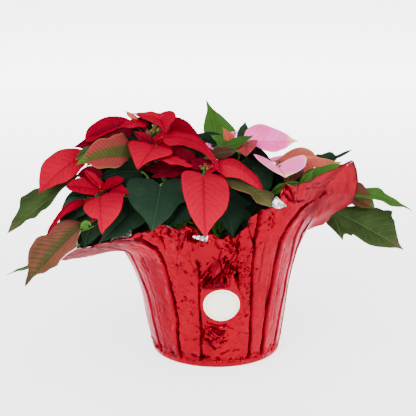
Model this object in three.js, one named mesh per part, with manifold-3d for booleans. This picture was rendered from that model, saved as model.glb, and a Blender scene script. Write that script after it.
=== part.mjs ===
// Potted poinsettia: two bushy plants, one with red bracts and one with pink bracts, share a nursery
// pot that stands in a folded foil cover with a wide flared rim. Millimetres, +Z up; the origin is the
// centre of the foil's flat base, and the sticker on the foil faces -Y.
import * as THREE from "three";
import { mergeVertices } from "three/addons/utils/BufferGeometryUtils.js";
import Module from "manifold-3d";

const wasm = await Module();
wasm.setup();

// ---------------------------------------------------------------- driving dimensions (mm)
const GAP = 0.35; // clearance between neighbouring pieces
const FOIL_THICKNESS = 1.0;
const FOIL_BASE_R = 61.3;
const FOIL_SEGMENTS = 48; // one fold line at each
const FOIL_FLARE_ROWS = 6;
const PLEAT_DEPTH = 1.1; // of the folds, at the rim
// cover radius at the right, back, left and front, at three heights, and where its flare starts
const FOIL_WALL = [
  { z: 33, r: [67, 68, 69.5, 68] },
  { z: 60, r: [69.8, 72, 73.2, 72] },
  { z: 84, r: [71.8, 76.5, 80, 76] },
];
const FLARE_R = [79, 81, 88, 82];
const FLARE_Z = [106, 100, 97, 108];
// edge of the cover, anticlockwise seen from above, starting at the front
const FOIL_RIM = [
  [-1.8, -92, 133.9], [16.8, -88, 142], [31, -84, 156.5], [47.3, -76, 162.7], [65.6, -66, 175.1],
  [94.1, -48, 181.2], [126.7, -26, 190.7], [133.3, -10, 166.1], [129.9, 3, 144.4], [116.6, 12, 135.2],
  [107.2, 21, 120.8], [93, 35, 105.7], [82, 66, 112], [58, 92, 122], [20, 112, 134],
  [-30, 112, 138], [-78, 88, 132], [-118, 58, 120], [-148, 14, 102], [-145.6, -26, 97.8],
  [-121, -56, 116.2], [-87.1, -76, 130.4], [-62.2, -86, 139.6], [-45.9, -91, 145.5], [-28.3, -93, 145.1],
  [-16.8, -93, 136.9],
];
const POT_FLOOR_Z = 1.35;
const POT_BASE_R = 53.5;
const POT_TOP_R = 72.8;
const POT_WALL = 1.5;
const POT_LIP_Z = 106;
const POT_TOP_Z = 113;
const POT_LIP_R = 75.3;
const POT_SEGMENTS = 32;
const SOIL_EDGE_Z = 103.5;
const SOIL_CROWN_Z = 106;
const LABEL_D = 34.5;
const LABEL_T = 0.4;
const LABEL_X = 4.4;
const LABEL_Z = 65.5;
const LEAF_HALF_THICKNESS = 0.45;
const PETIOLE_R = 0.95;
const WIDEST = 0.3; // share of the midrib at which a blade's half widths are given

// ---------------------------------------------------------------- small vector helpers
const add = (a, b, k = 1) => [a[0] + b[0] * k, a[1] + b[1] * k, a[2] + b[2] * k];
const sub = (a, b) => add(a, b, -1);
const mul = (a, k) => [a[0] * k, a[1] * k, a[2] * k];
const dot = (a, b) => a[0] * b[0] + a[1] * b[1] + a[2] * b[2];
const cross = (a, b) => [a[1] * b[2] - a[2] * b[1], a[2] * b[0] - a[0] * b[2], a[0] * b[1] - a[1] * b[0]];
const len = (a) => Math.hypot(a[0], a[1], a[2]);
const unit = (a) => mul(a, 1 / (len(a) + 1e-12));
// v turned by the smallest rotation that takes unit vector a to unit vector b
function carry(a, b, v) {
  const c = cross(a, b);
  const w = cross(c, v);
  return add(add(v, w), cross(c, w), 1 / (1 + dot(a, b) + 1e-9));
}

// ---------------------------------------------------------------- curves
// A smooth curve through its points: a quadratic one for three points, Catmull-Rom for more.
function sampleCurve(pts, n) {
  const out = [];
  const m = pts.length - 1;
  for (let k = 0; k < n; k++) {
    if (m === 2) {
      const s = k / (n - 1);
      const ctl = sub(mul(pts[1], 2), mul(add(pts[0], pts[2]), 0.5));
      out.push(add(add(mul(pts[0], (1 - s) ** 2), ctl, 2 * s * (1 - s)), pts[2], s * s));
      continue;
    }
    const q = (m * k) / (n - 1);
    const i = Math.min(Math.floor(q), m - 1);
    const f = q - i;
    const p1 = pts[i], p2 = pts[i + 1];
    const p0 = i > 0 ? pts[i - 1] : sub(mul(p1, 2), p2);
    const p3 = i + 2 <= m ? pts[i + 2] : sub(mul(p2, 2), p1);
    out.push([0, 1, 2].map((c) => 0.5 * (2 * p1[c] + (-p0[c] + p2[c]) * f + (2 * p0[c] - 5 * p1[c] + 4 * p2[c] - p3[c]) * f * f + (-p0[c] + 3 * p1[c] - 3 * p2[c] + p3[c]) * f ** 3)));
  }
  return out;
}

// A curve addressed by its share of arc length; it runs on straight past its ends.
class Spine {
  constructor(pts, n = 65) {
    this.p = sampleCurve(pts, n);
    this.s = [0];
    for (let i = 1; i < n; i++) this.s.push(this.s[i - 1] + len(sub(this.p[i], this.p[i - 1])));
    this.length = this.s[n - 1];
    this.t = this.p.map((_, i) => unit(sub(this.p[Math.min(i + 1, n - 1)], this.p[Math.max(i - 1, 0)])));
  }
  at(x) {
    const c = Math.min(Math.max(x, 0), 1);
    const s = c * this.length;
    let i = 0;
    while (i < this.s.length - 2 && this.s[i + 1] < s) i++;
    const f = (s - this.s[i]) / (this.s[i + 1] - this.s[i]);
    const t = unit(add(mul(this.t[i], 1 - f), this.t[i + 1], f));
    const p = add(mul(this.p[i], 1 - f), this.p[i + 1], f);
    return { p: add(p, t, (x - c) * this.length), t };
  }
}

// ---------------------------------------------------------------- closed solids
function geometryOf(verts, faces) {
  const g = new THREE.BufferGeometry();
  g.setAttribute("position", new THREE.BufferAttribute(new Float32Array(verts.flat()), 3));
  g.setIndex(faces.flat());
  return g;
}

// Geometry to a solid, turned face out if it came inside out.
function solid(geometry) {
  const g = geometry.clone();
  g.deleteAttribute("normal");
  g.deleteAttribute("uv");
  const m = mergeVertices(g, 1e-4);
  const make = (triVerts) =>
    new wasm.Manifold(new wasm.Mesh({ numProp: 3, vertProperties: new Float32Array(m.attributes.position.array), triVerts: new Uint32Array(triVerts) }));
  const made = make(m.index.array);
  if (made.volume() > 0) return made;
  const turned = Array.from(m.index.array);
  for (let i = 0; i < turned.length; i += 3) [turned[i + 1], turned[i + 2]] = [turned[i + 2], turned[i + 1]];
  return make(turned);
}

function geometryOfSolid(s) {
  const mesh = s.getMesh();
  const g = new THREE.BufferGeometry();
  const n = mesh.numProp;
  const pos = new Float32Array((mesh.vertProperties.length / n) * 3);
  for (let i = 0; i < pos.length / 3; i++) for (let c = 0; c < 3; c++) pos[i * 3 + c] = mesh.vertProperties[i * n + c];
  g.setAttribute("position", new THREE.BufferAttribute(pos, 3));
  g.setIndex(Array.from(mesh.triVerts));
  return g;
}

// Rings of equal length skinned into a closed body; each end is one point or a fan over the last ring.
// The second half of a ring takes the mirrored diagonals, so the two faces of a thin blade stay parallel.
function skin(rings, startPoint, endPoint) {
  const verts = [], faces = [], m = rings[0].length;
  for (const r of rings) verts.push(...r);
  for (let i = 0; i + 1 < rings.length; i++)
    for (let j = 0; j < m; j++) {
      const a = i * m + j, b = i * m + ((j + 1) % m);
      if (j < m / 2) faces.push([a, b, b + m], [a, b + m, a + m]);
      else faces.push([a, b, a + m], [b, b + m, a + m]);
    }
  const last = (rings.length - 1) * m;
  const start = startPoint ?? mul(rings[0].reduce((s, p) => add(s, p), [0, 0, 0]), 1 / m);
  const end = endPoint ?? mul(rings[rings.length - 1].reduce((s, p) => add(s, p), [0, 0, 0]), 1 / m);
  verts.push(start, end);
  for (let j = 0; j < m; j++) {
    faces.push([verts.length - 2, (j + 1) % m, j]);
    faces.push([verts.length - 1, last + j, last + ((j + 1) % m)]);
  }
  return geometryOf(verts, faces);
}

// A round shoot along a path, thinning from r0 to r1; grow makes the same shoot larger all over.
function shoot(path, r0, r1, grow = 0, rows = 7, sides = 7) {
  const pts = sampleCurve(path, rows);
  const rings = [];
  let u = null, before = null;
  pts.forEach((p, i) => {
    const t = unit(sub(pts[Math.min(i + 1, rows - 1)], pts[Math.max(i - 1, 0)]));
    u = u ? unit(carry(before, t, u)) : unit(cross(t, [0, 1, 0.3]));
    before = t;
    const w = cross(t, u);
    const r = r0 + ((r1 - r0) * i) / (rows - 1) + grow;
    const c = i === 0 ? add(p, t, -grow) : i === rows - 1 ? add(p, t, grow) : p;
    rings.push([...Array(sides).keys()].map((k) => add(add(c, u, r * Math.cos((2 * Math.PI * k) / sides)), w, r * Math.sin((2 * Math.PI * k) / sides))));
  });
  return solid(skin(rings));
}

// A round body about an axis, from a profile of [distance along it, radius].
function turned(origin, axis, profile, sides) {
  const t = unit(axis);
  const u = unit(cross(t, Math.abs(t[2]) > 0.9 ? [1, 0, 0] : [0, 0, 1]));
  const w = cross(t, u);
  const rings = profile.slice(1, -1).map(([x, r]) =>
    [...Array(sides).keys()].map((k) => add(add(add(origin, t, x), u, r * Math.cos((2 * Math.PI * k) / sides)), w, r * Math.sin((2 * Math.PI * k) / sides))),
  );
  return solid(skin(rings, add(origin, t, profile[0][0]), add(origin, t, profile[profile.length - 1][0])));
}

// ---------------------------------------------------------------- stems
// r.. belong to the red plant and p.. to the pink one; r0 and p0 are the woody bases in the soil.
const SHOOTS = {
  r0: { path: [[-26,-6,84], [-28,-6,112], [-29,-6,128]], r0: 4.2, r1: 3.8 },
  r1: { path: [[-29,-6,126], [-38,-4,150], [-54.1,0,176.6], [-60.1,0,202.6]], r0: 3.4, r1: 2.4 },
  r2: { path: [[-29,-6,126], [-55,-20,143], [-84,-38,152], [-108.8,-48,161.6]], r0: 3.2, r1: 2.2 },
  r3: { path: [[-29,-6,126], [-22,-22,148], [-14,-40,166], [-10.7,-52,182.1]], r0: 3.2, r1: 2.2 },
  r6: { path: [[-29,-6,126], [-32,16,148], [-38,42,168], [-42,62,188]], r0: 3.2, r1: 2.2 },
  p0: { path: [[32,8,84], [33,8,110], [33,9,124]], r0: 4, r1: 3.6 },
  p4: { path: [[33,9,122], [28,14,148], [20,18,172], [16.2,20,196]], r0: 3.2, r1: 2.2 },
  p5: { path: [[33,9,122], [44,14,140], [55,18,156], [63.4,26,171]], r0: 3.2, r1: 2.2 },
  p7: { path: [[33,9,122], [40,30,142], [52,54,156], [64,74,160]], r0: 3.2, r1: 2.2 },
};
// the swollen node on each shoot's end, under its whorl of bracts
const NODE_R = { r1: 4.6, r2: 4.2, r3: 4.2, r6: 4.2, p4: 4.2, p5: 4.2, p7: 4.2 };
const tip = (name) => SHOOTS[name].path[SHOOTS[name].path.length - 1];
const ball = (c, r, sides) => turned(c, [0, 0, 1], [[-r, 0], [-0.72 * r, 0.7 * r], [0, r], [0.72 * r, 0.7 * r], [r, 0]], sides);

function plantStem(plant, grow) {
  let whole = null;
  for (const [name, s] of Object.entries(SHOOTS)) {
    if (name[0] !== plant) continue;
    const one = shoot(s.path, s.r0, s.r1, grow);
    whole = whole ? whole.add(one) : one;
    if (NODE_R[name]) whole = whole.add(ball(add(tip(name), [0, 0, -1]), NODE_R[name] + grow, 10));
  }
  return whole;
}

// distance from a point to a plant's stem, negative inside
function toStem(plant, q) {
  let least = Infinity;
  for (const [name, s] of Object.entries(SHOOTS)) {
    if (name[0] !== plant) continue;
    const pts = sampleCurve(s.path, 13);
    for (let i = 0; i < 12; i++) {
      const d = sub(pts[i + 1], pts[i]), f = Math.min(1, Math.max(0, dot(sub(q, pts[i]), d) / dot(d, d)));
      least = Math.min(least, len(sub(q, add(pts[i], d, f))) - (s.r0 + ((s.r1 - s.r0) * (i + f)) / 12));
    }
    if (NODE_R[name]) least = Math.min(least, len(sub(q, add(tip(name), [0, 0, -1]))) - NODE_R[name]);
  }
  return least;
}

// ---------------------------------------------------------------- flower clusters
// Each cyathium is a short stalk with a small cup; [x, y, z] is its direction, then its length.
const CUP = (l) => [[0, 0], [0.2, 0.9], [l - 3.4, 0.8], [l - 1.2, 2.1], [l + 1.4, 1.8], [l + 2.4, 0]];
const CLUSTERS = {
  red_cyathia_01: { at: add(tip("r1"), [0, 0, 4.4]), cups: [[-0.5, -0.9, 1, 12], [0.1, -0.9, 1.1, 14], [0.6, -0.5, 1.1, 14], [0.9, 0.1, 1, 11], [0.15, -0.35, 1, 17]] },
  red_cyathia_02: { at: add(tip("r3"), [0, 0, 3.9]), cups: [[-0.7, -0.3, 1, 6.5], [0, 0.5, 1, 7], [0.6, -0.3, 1, 6], [-0.1, -0.5, 0.9, 5.5]] },
  pink_cyathia_01: { at: add(tip("p4"), [0, 0, 3.9]), cups: [[-0.5, -0.4, 1, 6], [0.1, 0.5, 1, 7], [0.5, -0.3, 1, 6]] },
};
function cluster({ at, cups }) {
  let whole = turned(at, [0, 0, 1], [[-0.2, 0], [-0.1, 1.9], [1.4, 2.4], [2.6, 1.6], [3.2, 0]], 8);
  for (const [x, y, z, l] of cups) whole = whole.add(turned(add(at, [0, 0, 0.9]), [x, y, z], CUP(l), 5));
  return whole;
}

// ---------------------------------------------------------------- leaves and bracts
// Outline rows from base to tip: [edge's share of the length, half width share, its place on the midrib].
const OUTLINE = {
  bract: [[0, 0.05, 0], [-0.02, 0.34, 0.01], [0.02, 0.62, 0.03], [0.1, 0.85, 0.07], [0.22, 0.98, 0.13], [0.35, 1, 0.22], [0.48, 0.93, 0.33], [0.61, 0.78, 0.45], [0.73, 0.56, 0.58], [0.84, 0.32, 0.71], [0.92, 0.14, 0.84], [0.97, 0.05, 0.93], [1, 0, 1]],
  heart: [[0, 0.05, 0], [-0.03, 0.26, 0.005], [-0.03, 0.5, 0.015], [-0.03, 0.74, 0.03], [0.03, 0.92, 0.06], [0.15, 1, 0.11], [0.29, 0.98, 0.18], [0.44, 0.86, 0.29], [0.59, 0.67, 0.42], [0.73, 0.44, 0.56], [0.85, 0.22, 0.71], [0.94, 0.07, 0.87], [1, 0, 1]],
  leaf: [[0, 0.05, 0], [-0.03, 0.33, 0.01], [-0.02, 0.6, 0.02], [0.06, 0.84, 0.05], [0.17, 0.99, 0.11], [0.29, 1, 0.19], [0.41, 0.9, 0.29], [0.53, 0.8, 0.4], [0.65, 0.64, 0.52], [0.77, 0.42, 0.65], [0.87, 0.2, 0.78], [0.94, 0.07, 0.89], [1, 0, 1]],
  lobed: [[0, 0.05, 0], [-0.02, 0.3, 0.01], [0.02, 0.58, 0.03], [0.1, 0.8, 0.07], [0.22, 0.9, 0.13], [0.33, 0.86, 0.21], [0.43, 0.96, 0.31], [0.54, 1, 0.42], [0.65, 0.72, 0.53], [0.77, 0.44, 0.65], [0.87, 0.2, 0.78], [0.94, 0.07, 0.89], [1, 0, 1]],
  lance: [[0, 0.08, 0], [0.02, 0.25, 0.01], [0.07, 0.5, 0.03], [0.16, 0.74, 0.08], [0.27, 0.92, 0.15], [0.39, 1, 0.24], [0.51, 0.96, 0.35], [0.63, 0.8, 0.47], [0.75, 0.57, 0.6], [0.85, 0.33, 0.73], [0.93, 0.14, 0.85], [0.97, 0.05, 0.93], [1, 0, 1]],
};
// name, colour, outline, midrib base, middle and tip, half width vectors to the two sides, shoot and the
// share of it where the petiole starts, bulge between midrib and edge
const LEAVES = [
  ["red_bract_01", "red", "bract", [-77.7,8.9,218.5], [-103.1,4.9,214.4], [-131,-3.1,198.6], [-10.4,-17.6,-10.1], [-14.4,30.4,3.7], "r1", 0.97, 0.12],
  ["red_bract_02", "red", "heart", [-56.7,10.6,225], [-49.2,-7.4,228.9], [-46.6,-29.4,218.5], [12.2,-2.5,1.9], [-23.3,-8.5,2], "r1", 0.99, 0.12],
  ["red_bract_03", "red", "bract", [-50.9,8,215.8], [-31,14,212.8], [-12.8,12,201.4], [9.4,25.5,5.4], [10.1,-16.5,-9.6], "r1", 0.98, 0.12],
  ["red_bract_04", "red", "bract", [-51.1,-16.8,212.6], [-30.2,-22.8,214.6], [-11.5,-30.8,206.6], [5.8,25.8,-0.9], [0.9,-14.2,-7.9], "r1", 0.94, 0.12],
  ["red_bract_05", "red", "heart", [-57.6,-14,202.5], [-62.4,-32,199.4], [-71.9,-46,187.3], [17.7,1.7,-0], [-20.3,1.7,2.8], "r1", 0.93, 0.12],
  ["red_bract_06", "red", "bract", [-68,8,221.6], [-77.8,-2,223.2], [-91,-14,219.6], [-4.2,-17.1,-3.3], [-3,8.9,0.8], "r1", 0.9, 0.12],
  ["red_bract_07", "red", "bract", [-52.9,-19.9,195.2], [-36.5,-37.9,193.1], [-18.9,-47.9,188.7], [7.4,8.6,-0.7], [9.1,-21.4,-4], "r1", 0.88, 0.12],
  ["red_bract_08", "reddark", "bract", [-46.1,4,197.2], [-30.6,-10,196], [-18.3,-20,182.8], [13.6,10.5,-4.1], [-0.9,-21.5,-6.4], "r1", 0.84, 0.12],
  ["red_bract_10", "red", "bract", [-121.7,-4,191], [-142.5,-22,183.2], [-163.9,-34,163], [6.8,-19.9,-10.8], [-20.4,8.1,6.2], "r1", 0.62, 0.12],
  ["red_bract_11", "red", "bract", [-109.9,-54,167.7], [-121.3,-64,174.6], [-134.4,-74,176], [-3,-22.1,-0], [-3.6,9.9,7.4], "r2", 0.97, 0.12],
  ["red_bract_12", "red", "lance", [-106.6,-50,168.6], [-111.8,-50,178], [-120.2,-46,187.3], [-6.8,-5.6,6.1], [2,6.4,4.4], "r2", 0.98, 0.12],
  ["red_bract_13", "red", "bract", [-102.6,-54,167.7], [-94.1,-56,175.6], [-81.1,-58,182.5], [-0.6,11.4,8], [8.6,-14.6,-0.1], "r2", 0.99, 0.12],
  ["red_bract_14", "red", "bract", [-99.8,-56,163.5], [-89.8,-66,169.6], [-77.7,-72,171.9], [5,6,8.3], [5.8,-18,-1.7], "r2", 0.9, 0.12],
  ["red_bract_15", "red", "heart", [-104.3,-74.6,167.1], [-101.8,-94.6,159.2], [-100.8,-100.6,138.8], [20.3,-3.3,1.2], [-14.9,0.7,-3.5], "r2", 0.94, 0.12],
  ["red_bract_16", "red", "bract", [-114.7,-61,161.9], [-132.8,-77,160.2], [-151.6,-83,134.1], [2.9,-18,-5.1], [-13,10,-6.6], "r2", 0.87, 0.12],
  ["red_bract_18", "red", "heart", [-11.6,-66,185.2], [-11.5,-90,165.3], [-9.8,-97,137.1], [22.3,-2.7,-0.5], [-18.3,-2.7,3.1], "r3", 0.95, 0.12],
  ["red_bract_19", "red", "bract", [-4.6,-61.8,193.5], [18.6,-71.8,194.6], [40.5,-69.8,173], [5.2,17.7,2.9], [2.7,-18.3,-9.7], "r3", 0.97, 0.12],
  ["mixed_leaf_01", "mixed", "leaf", [-77.4,-14,196.8], [-100.4,-30,198.1], [-128.5,-36,192.7], [-5,-19.1,-11.5], [-0.9,16.9,16.4], "r1", 0.7, 0.12],
  ["mixed_leaf_02", "mixed", "lobed", [-115.2,-78,144.8], [-138.8,-94,128], [-172.9,-84,87.7], [11.2,-11.2,-9.8], [-23.6,14.8,3.1], "r2", 0.7, 0.12],
  ["mixed_leaf_03", "mixed", "lance", [9.2,-58,182.5], [28.6,-72,176.5], [48.9,-80,161], [14.1,7.4,-0.6], [4.5,-12.6,-8.8], "r3", 0.8, 0.12],
  ["green_leaf_01", "green", "lobed", [-133,-2,170.2], [-162.6,-20,150], [-197.2,-26,121.9], [2,-19,-8.5], [-22.4,15,-1.1], "r2", 0.6, 0.12],
  ["green_leaf_03", "green", "leaf", [-118.6,-42.1,159.2], [-128.2,-56.1,155.1], [-144.3,-62.1,137.9], [5,-15.2,-8.8], [-15.7,8.8,-0.7], "r2", 0.66, 0.12],
  ["green_leaf_04", "green", "leaf", [-106,-42.5,151.5], [-113.4,-62.5,139.8], [-120.2,-70.5,118.8], [13.1,-9.2,-9.4], [-17.7,-5.2,-4.9], "r2", 0.5, 0.12],
  ["green_leaf_05", "green", "leaf", [-68.3,-52,156.9], [-86.8,-76,145.2], [-105.7,-84,127.5], [9.5,-19.6,-9.3], [-20.4,0.4,2.2], "r2", 0.3, 0.12],
  ["green_leaf_06", "green", "heart", [-50.7,-54,172.3], [-52.4,-80,159.1], [-57.7,-94,141.8], [22.4,2.5,-1.3], [-28.5,-1.5,3.3], "r3", 0.45, 0.12],
  ["green_leaf_08", "green", "leaf", [1.2,-47.2,169.7], [9.9,-73.2,153.7], [14.2,-85.2,131.2], [24.6,-3,-12.5], [-12.3,-11,-5], "r3", 0.6, 0.12],
  ["green_leaf_09", "greenlight", "leaf", [5.7,34,198.3], [-2.1,46,215.1], [-9.6,54,235.3], [-12.8,0.2,5.6], [15.8,4.2,4.9], "p4", 0.8, 0.12],
  ["pink_bract_02", "pink", "bract", [12.2,23.7,192.4], [1.6,13.7,197.2], [-12.6,7.7,200.3], [-9.4,-15.5,-0.8], [-9.4,6.5,5.6], "p4", 0.95, 0.12],
  ["green_leaf_12", "greenlight", "lance", [12.1,3.9,197.2], [22.3,-2.1,204.1], [34.5,-2.1,209.9], [1.9,8.2,4.7], [3.4,-9.8,-2.4], "p4", 0.8, 0.12],
  ["mixed_leaf_04", "brown", "bract", [20.2,-17.7,198.5], [6.7,-31.7,200.3], [-8.2,-39.7,200], [-8.4,-19.7,-4.2], [-4.3,6.3,4], "p4", 0.74, 0.12],
  ["pink_bract_03", "salmon", "bract", [25.4,5,200.9], [27.9,-7,199.3], [28.7,-13,191.9], [10.7,0.6,0.2], [-8.4,-5.4,-2.5], "p4", 0.99, 0.12],
  ["pink_bract_04", "pink", "bract", [29.6,16,201.7], [53.6,16,202.7], [78.2,10,202.8], [2.2,15.3,14.1], [4.8,-14.7,-8.7], "p4", 0.98, 0.12],
  ["pink_bract_05", "pink", "heart", [57.8,16,182.1], [59.3,-6,182.7], [64.7,-26,174.5], [24.7,3.3,5.5], [-14.9,-4.7,6.1], "p5", 0.98, 0.12],
  ["pink_bract_06", "salmon", "bract", [68.2,26,177], [87.5,36,182], [108.2,34,172.3], [4.8,20.8,7.9], [8,-17.2,-13.4], "p5", 0.97, 0.12],
  ["mixed_leaf_05", "brown", "leaf", [73.2,14,178.5], [70,-4,173.5], [65.9,-12,162.7], [12.2,-0.2,-4.1], [-14.3,-10.2,-2.9], "p5", 0.8, 0.12],
  ["green_leaf_14", "green", "lobed", [93.1,42,173.7], [113.5,48,176.5], [134.6,44,185.4], [5,13.1,5.5], [4.5,-12.9,-2.4], "p5", 0.7, 0.12],
  ["green_leaf_15", "green", "leaf", [27.4,6,184.1], [38.5,-8,173.4], [48.5,-20,155.8], [24.4,7.3,-6.2], [-8,-18.7,-8.2], "p4", 0.5, 0.12],
  ["green_leaf_17", "greenlight", "leaf", [80.6,6,159.5], [101.1,2,171.3], [130.3,8,181.7], [3.5,7.9,10.3], [3.8,-12.1,-2.9], "p5", 0.55, 0.12],
  ["green_leaf_18", "greenlight", "lance", [120.2,30,150], [155.8,30,148], [191.9,18,131.7], [1.8,8.6,2.5], [1,-13.4,-5.5], "p7", 0.6, 0.12],
  ["green_leaf_19", "green", "lobed", [111.8,36.7,128.9], [143.4,18.7,119.3], [181.6,2.7,97.5], [6.9,16.7,8.5], [-5.3,-23.3,-11.4], "p5", 0.35, 0.12],
  ["green_leaf_20", "greenlight", "leaf", [113.6,56,130.5], [119.1,48,118.9], [126.8,40,97.1], [15,-3.4,-3.3], [-7.6,0.6,-7.4], "p7", 0.3, 0.12],
  ["red_bract_22", "red", "bract", [-42.6,78,195], [-43.3,100,197], [-44.3,128,174], [-20.9,-1.9,-5.1], [21,-0.4,-5.1], "r6", 0.98, 0.15],
  ["red_bract_23", "red", "heart", [-56.7,70.5,188], [-76.6,82,189], [-100.9,96,160], [-9.4,-20,-5.2], [12.6,18.2,-5.2], "r6", 0.93, 0.15],
  ["red_bract_24", "red", "bract", [-28.7,70.9,188], [-10.5,83.2,189], [9.4,96.7,164], [-12.2,15.9,-4.8], [10.1,-17.3,-4.8], "r6", 0.9, 0.15],
  ["red_bract_25", "red", "bract", [-58.3,54.4,176], [-76.4,45.9,176], [-98.2,35.8,152], [9.4,-16.6,-4.5], [-6.6,17.9,-4.5], "r6", 0.8, 0.15],
  ["pink_bract_07", "pink", "bract", [70,88.8,166], [78.2,109.2,167], [88,133.3,140], [-19.1,6.1,-4.8], [18,-8.9,-4.8], "p7", 0.97, 0.15],
  ["pink_bract_08", "pink", "heart", [53.1,87,159], [39.6,103.1,160], [22.9,123,134], [-14.3,-14.1,-4.7], [16.3,11.6,-4.7], "p7", 0.92, 0.15],
  ["pink_bract_09", "pink", "bract", [79.8,76.2,156], [97.7,78.7,155], [119.5,81.8,128], [-4.6,17.5,-4], [0.4,-18.1,-4], "p7", 0.87, 0.15],
  ["green_leaf_21", "green", "lobed", [-51.3,73.2,154], [-69.1,106.7,152], [-85.1,136.8,120], [-23.3,-13.7,-6.6], [24.4,11.6,-6.6], "r6", 0.55, 0.15],
  ["green_leaf_22", "green", "leaf", [51.2,84,146], [50,118,142], [48.9,151.9,110], [-25.9,-2.7,-6.2], [26,-0.9,-6.2], "p7", 0.5, 0.15],
  ["green_leaf_23", "green", "lobed", [-70.1,50.9,142], [-107.7,64.6,138], [-141.5,76.9,108], [-7.7,-24.9,-6.4], [10.1,24,-6.4], "r6", 0.35, 0.15],
];

function outlineRows(name, n) {
  const rows = OUTLINE[name], m = rows.length - 1, out = [];
  for (let k = 0; k < n; k++) {
    const q = (m * k) / (n - 1), i = Math.min(Math.floor(q), m - 1), f = q - i;
    const p0 = rows[Math.max(i - 1, 0)], p1 = rows[i], p2 = rows[i + 1], p3 = rows[Math.min(i + 2, m)];
    out.push([0, 1, 2].map((c) => 0.5 * (2 * p1[c] + (-p0[c] + p2[c]) * f + (2 * p0[c] - 5 * p1[c] + 4 * p2[c] - p3[c]) * f * f + (-p0[c] + 3 * p1[c] - 3 * p2[c] + p3[c]) * f ** 3)));
  }
  out[0] = rows[0];
  out[n - 1] = [1, 0, 1];
  return out;
}

const ACROSS = [-1, -0.5, 0, 0.5, 1]; // section points from the right edge to the left one
function leafSolid([, , outline, base, middle, end, left, right, shootName, share, bulge]) {
  const spine = new Spine([base, middle, end]);
  const rowsWanted = spine.length > 52 ? 8 : spine.length > 30 ? 7 : 6;
  const rows = outlineRows(outline, rowsWanted);
  const tw = spine.at(WIDEST).t;
  const el = sub(left, mul(tw, dot(left, tw))), er = sub(right, mul(tw, dot(right, tw)));
  const wl = len(el), wr = len(er);
  const rings = [];
  const ring = (top, bottom) => rings.push([top[0], top[1], top[2], top[3], top[4], bottom[3], bottom[2], bottom[1]]);
  // petiole: from the shoot's surface to the blade's base
  const start = new Spine(SHOOTS[shootName].path).at(share).p;
  const b = spine.at(0);
  const control = add(b.p, b.t, -0.3 * len(sub(b.p, start)));
  const lat = unit(sub(mul(el, 1 / wl), mul(er, 1 / wr)));
  const petioleRing = (s) => {
    const p = add(add(mul(start, (1 - s) ** 2), control, 2 * s * (1 - s)), b.p, s * s);
    const t = unit(add(mul(sub(control, start), 2 * (1 - s)), sub(b.p, control), 2 * s));
    const l = carry(tw, t, lat), n = unit(cross(t, l));
    const half = ACROSS.map((v) => Math.sqrt(Math.max(0, 1 - v * v)) * PETIOLE_R);
    return [ACROSS.map((v, i) => add(add(p, l, v * PETIOLE_R), n, half[i])), ACROSS.map((v, i) => add(add(p, l, v * PETIOLE_R), n, -half[i]))];
  };
  let s0 = 0.9;
  while (s0 > 0 && petioleRing(s0).flat().every((p) => toStem(shootName[0], p) > GAP)) s0 -= 0.01;
  s0 += 0.01;
  for (let k = 0; k < 2; k++) ring(...petioleRing(s0 + ((1 - s0) * k) / 2));
  // blade
  for (let i = 0; i < rows.length - 1; i++) {
    const [edge, halfWidth, mid] = rows[i];
    const pts = [], nrm = [];
    for (const v of ACROSS) {
      const a = Math.abs(v);
      const { p, t } = spine.at(mid + (edge - mid) * a ** 1.25);
      const d = v >= 0 ? carry(tw, t, mul(el, 1 / wl)) : carry(tw, t, mul(er, 1 / wr));
      const w = v >= 0 ? wl : wr;
      const n = unit(v >= 0 ? cross(t, d) : cross(d, t));
      pts.push(add(add(p, d, w * Math.max(halfWidth, 0) * a), n, bulge * w * halfWidth * 2 * a * (1 - a)));
      nrm.push(n);
    }
    nrm[2] = unit(add(nrm[1], nrm[3]));
    const k = i === 0 ? [0, 0.8, 0.9, 0.8, 0].map((x) => x * PETIOLE_R) : [0, 1, 1, 1, 0].map((x) => x * LEAF_HALF_THICKNESS);
    ring(pts.map((p, j) => add(p, nrm[j], k[j])), pts.map((p, j) => add(p, nrm[j], -k[j])));
  }
  return solid(skin(rings, null, spine.at(1).p));
}

// ---------------------------------------------------------------- foil cover
const around = (th, [right, back, left, front]) => {
  const c = Math.cos(th), s = Math.sin(th);
  return (c > 0 ? right : left) * c * c + (s > 0 ? back : front) * s * s;
};
const rimPolar = FOIL_RIM.map(([x, y, z]) => ({ a: Math.atan2(y, x), r: Math.hypot(x, y), z }));
for (let i = 1; i < rimPolar.length; i++) while (rimPolar[i].a < rimPolar[i - 1].a) rimPolar[i].a += 2 * Math.PI;
function rimAt(th) {
  const first = rimPolar[0].a;
  let a = th;
  while (a < first) a += 2 * Math.PI;
  while (a >= first + 2 * Math.PI) a -= 2 * Math.PI;
  const closed = [...rimPolar, { ...rimPolar[0], a: first + 2 * Math.PI }];
  let i = 0;
  while (i < closed.length - 2 && closed[i + 1].a < a) i++;
  const f = (a - closed[i].a) / (closed[i + 1].a - closed[i].a);
  return { r: closed[i].r + (closed[i + 1].r - closed[i].r) * f, z: closed[i].z + (closed[i + 1].z - closed[i].z) * f };
}
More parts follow.
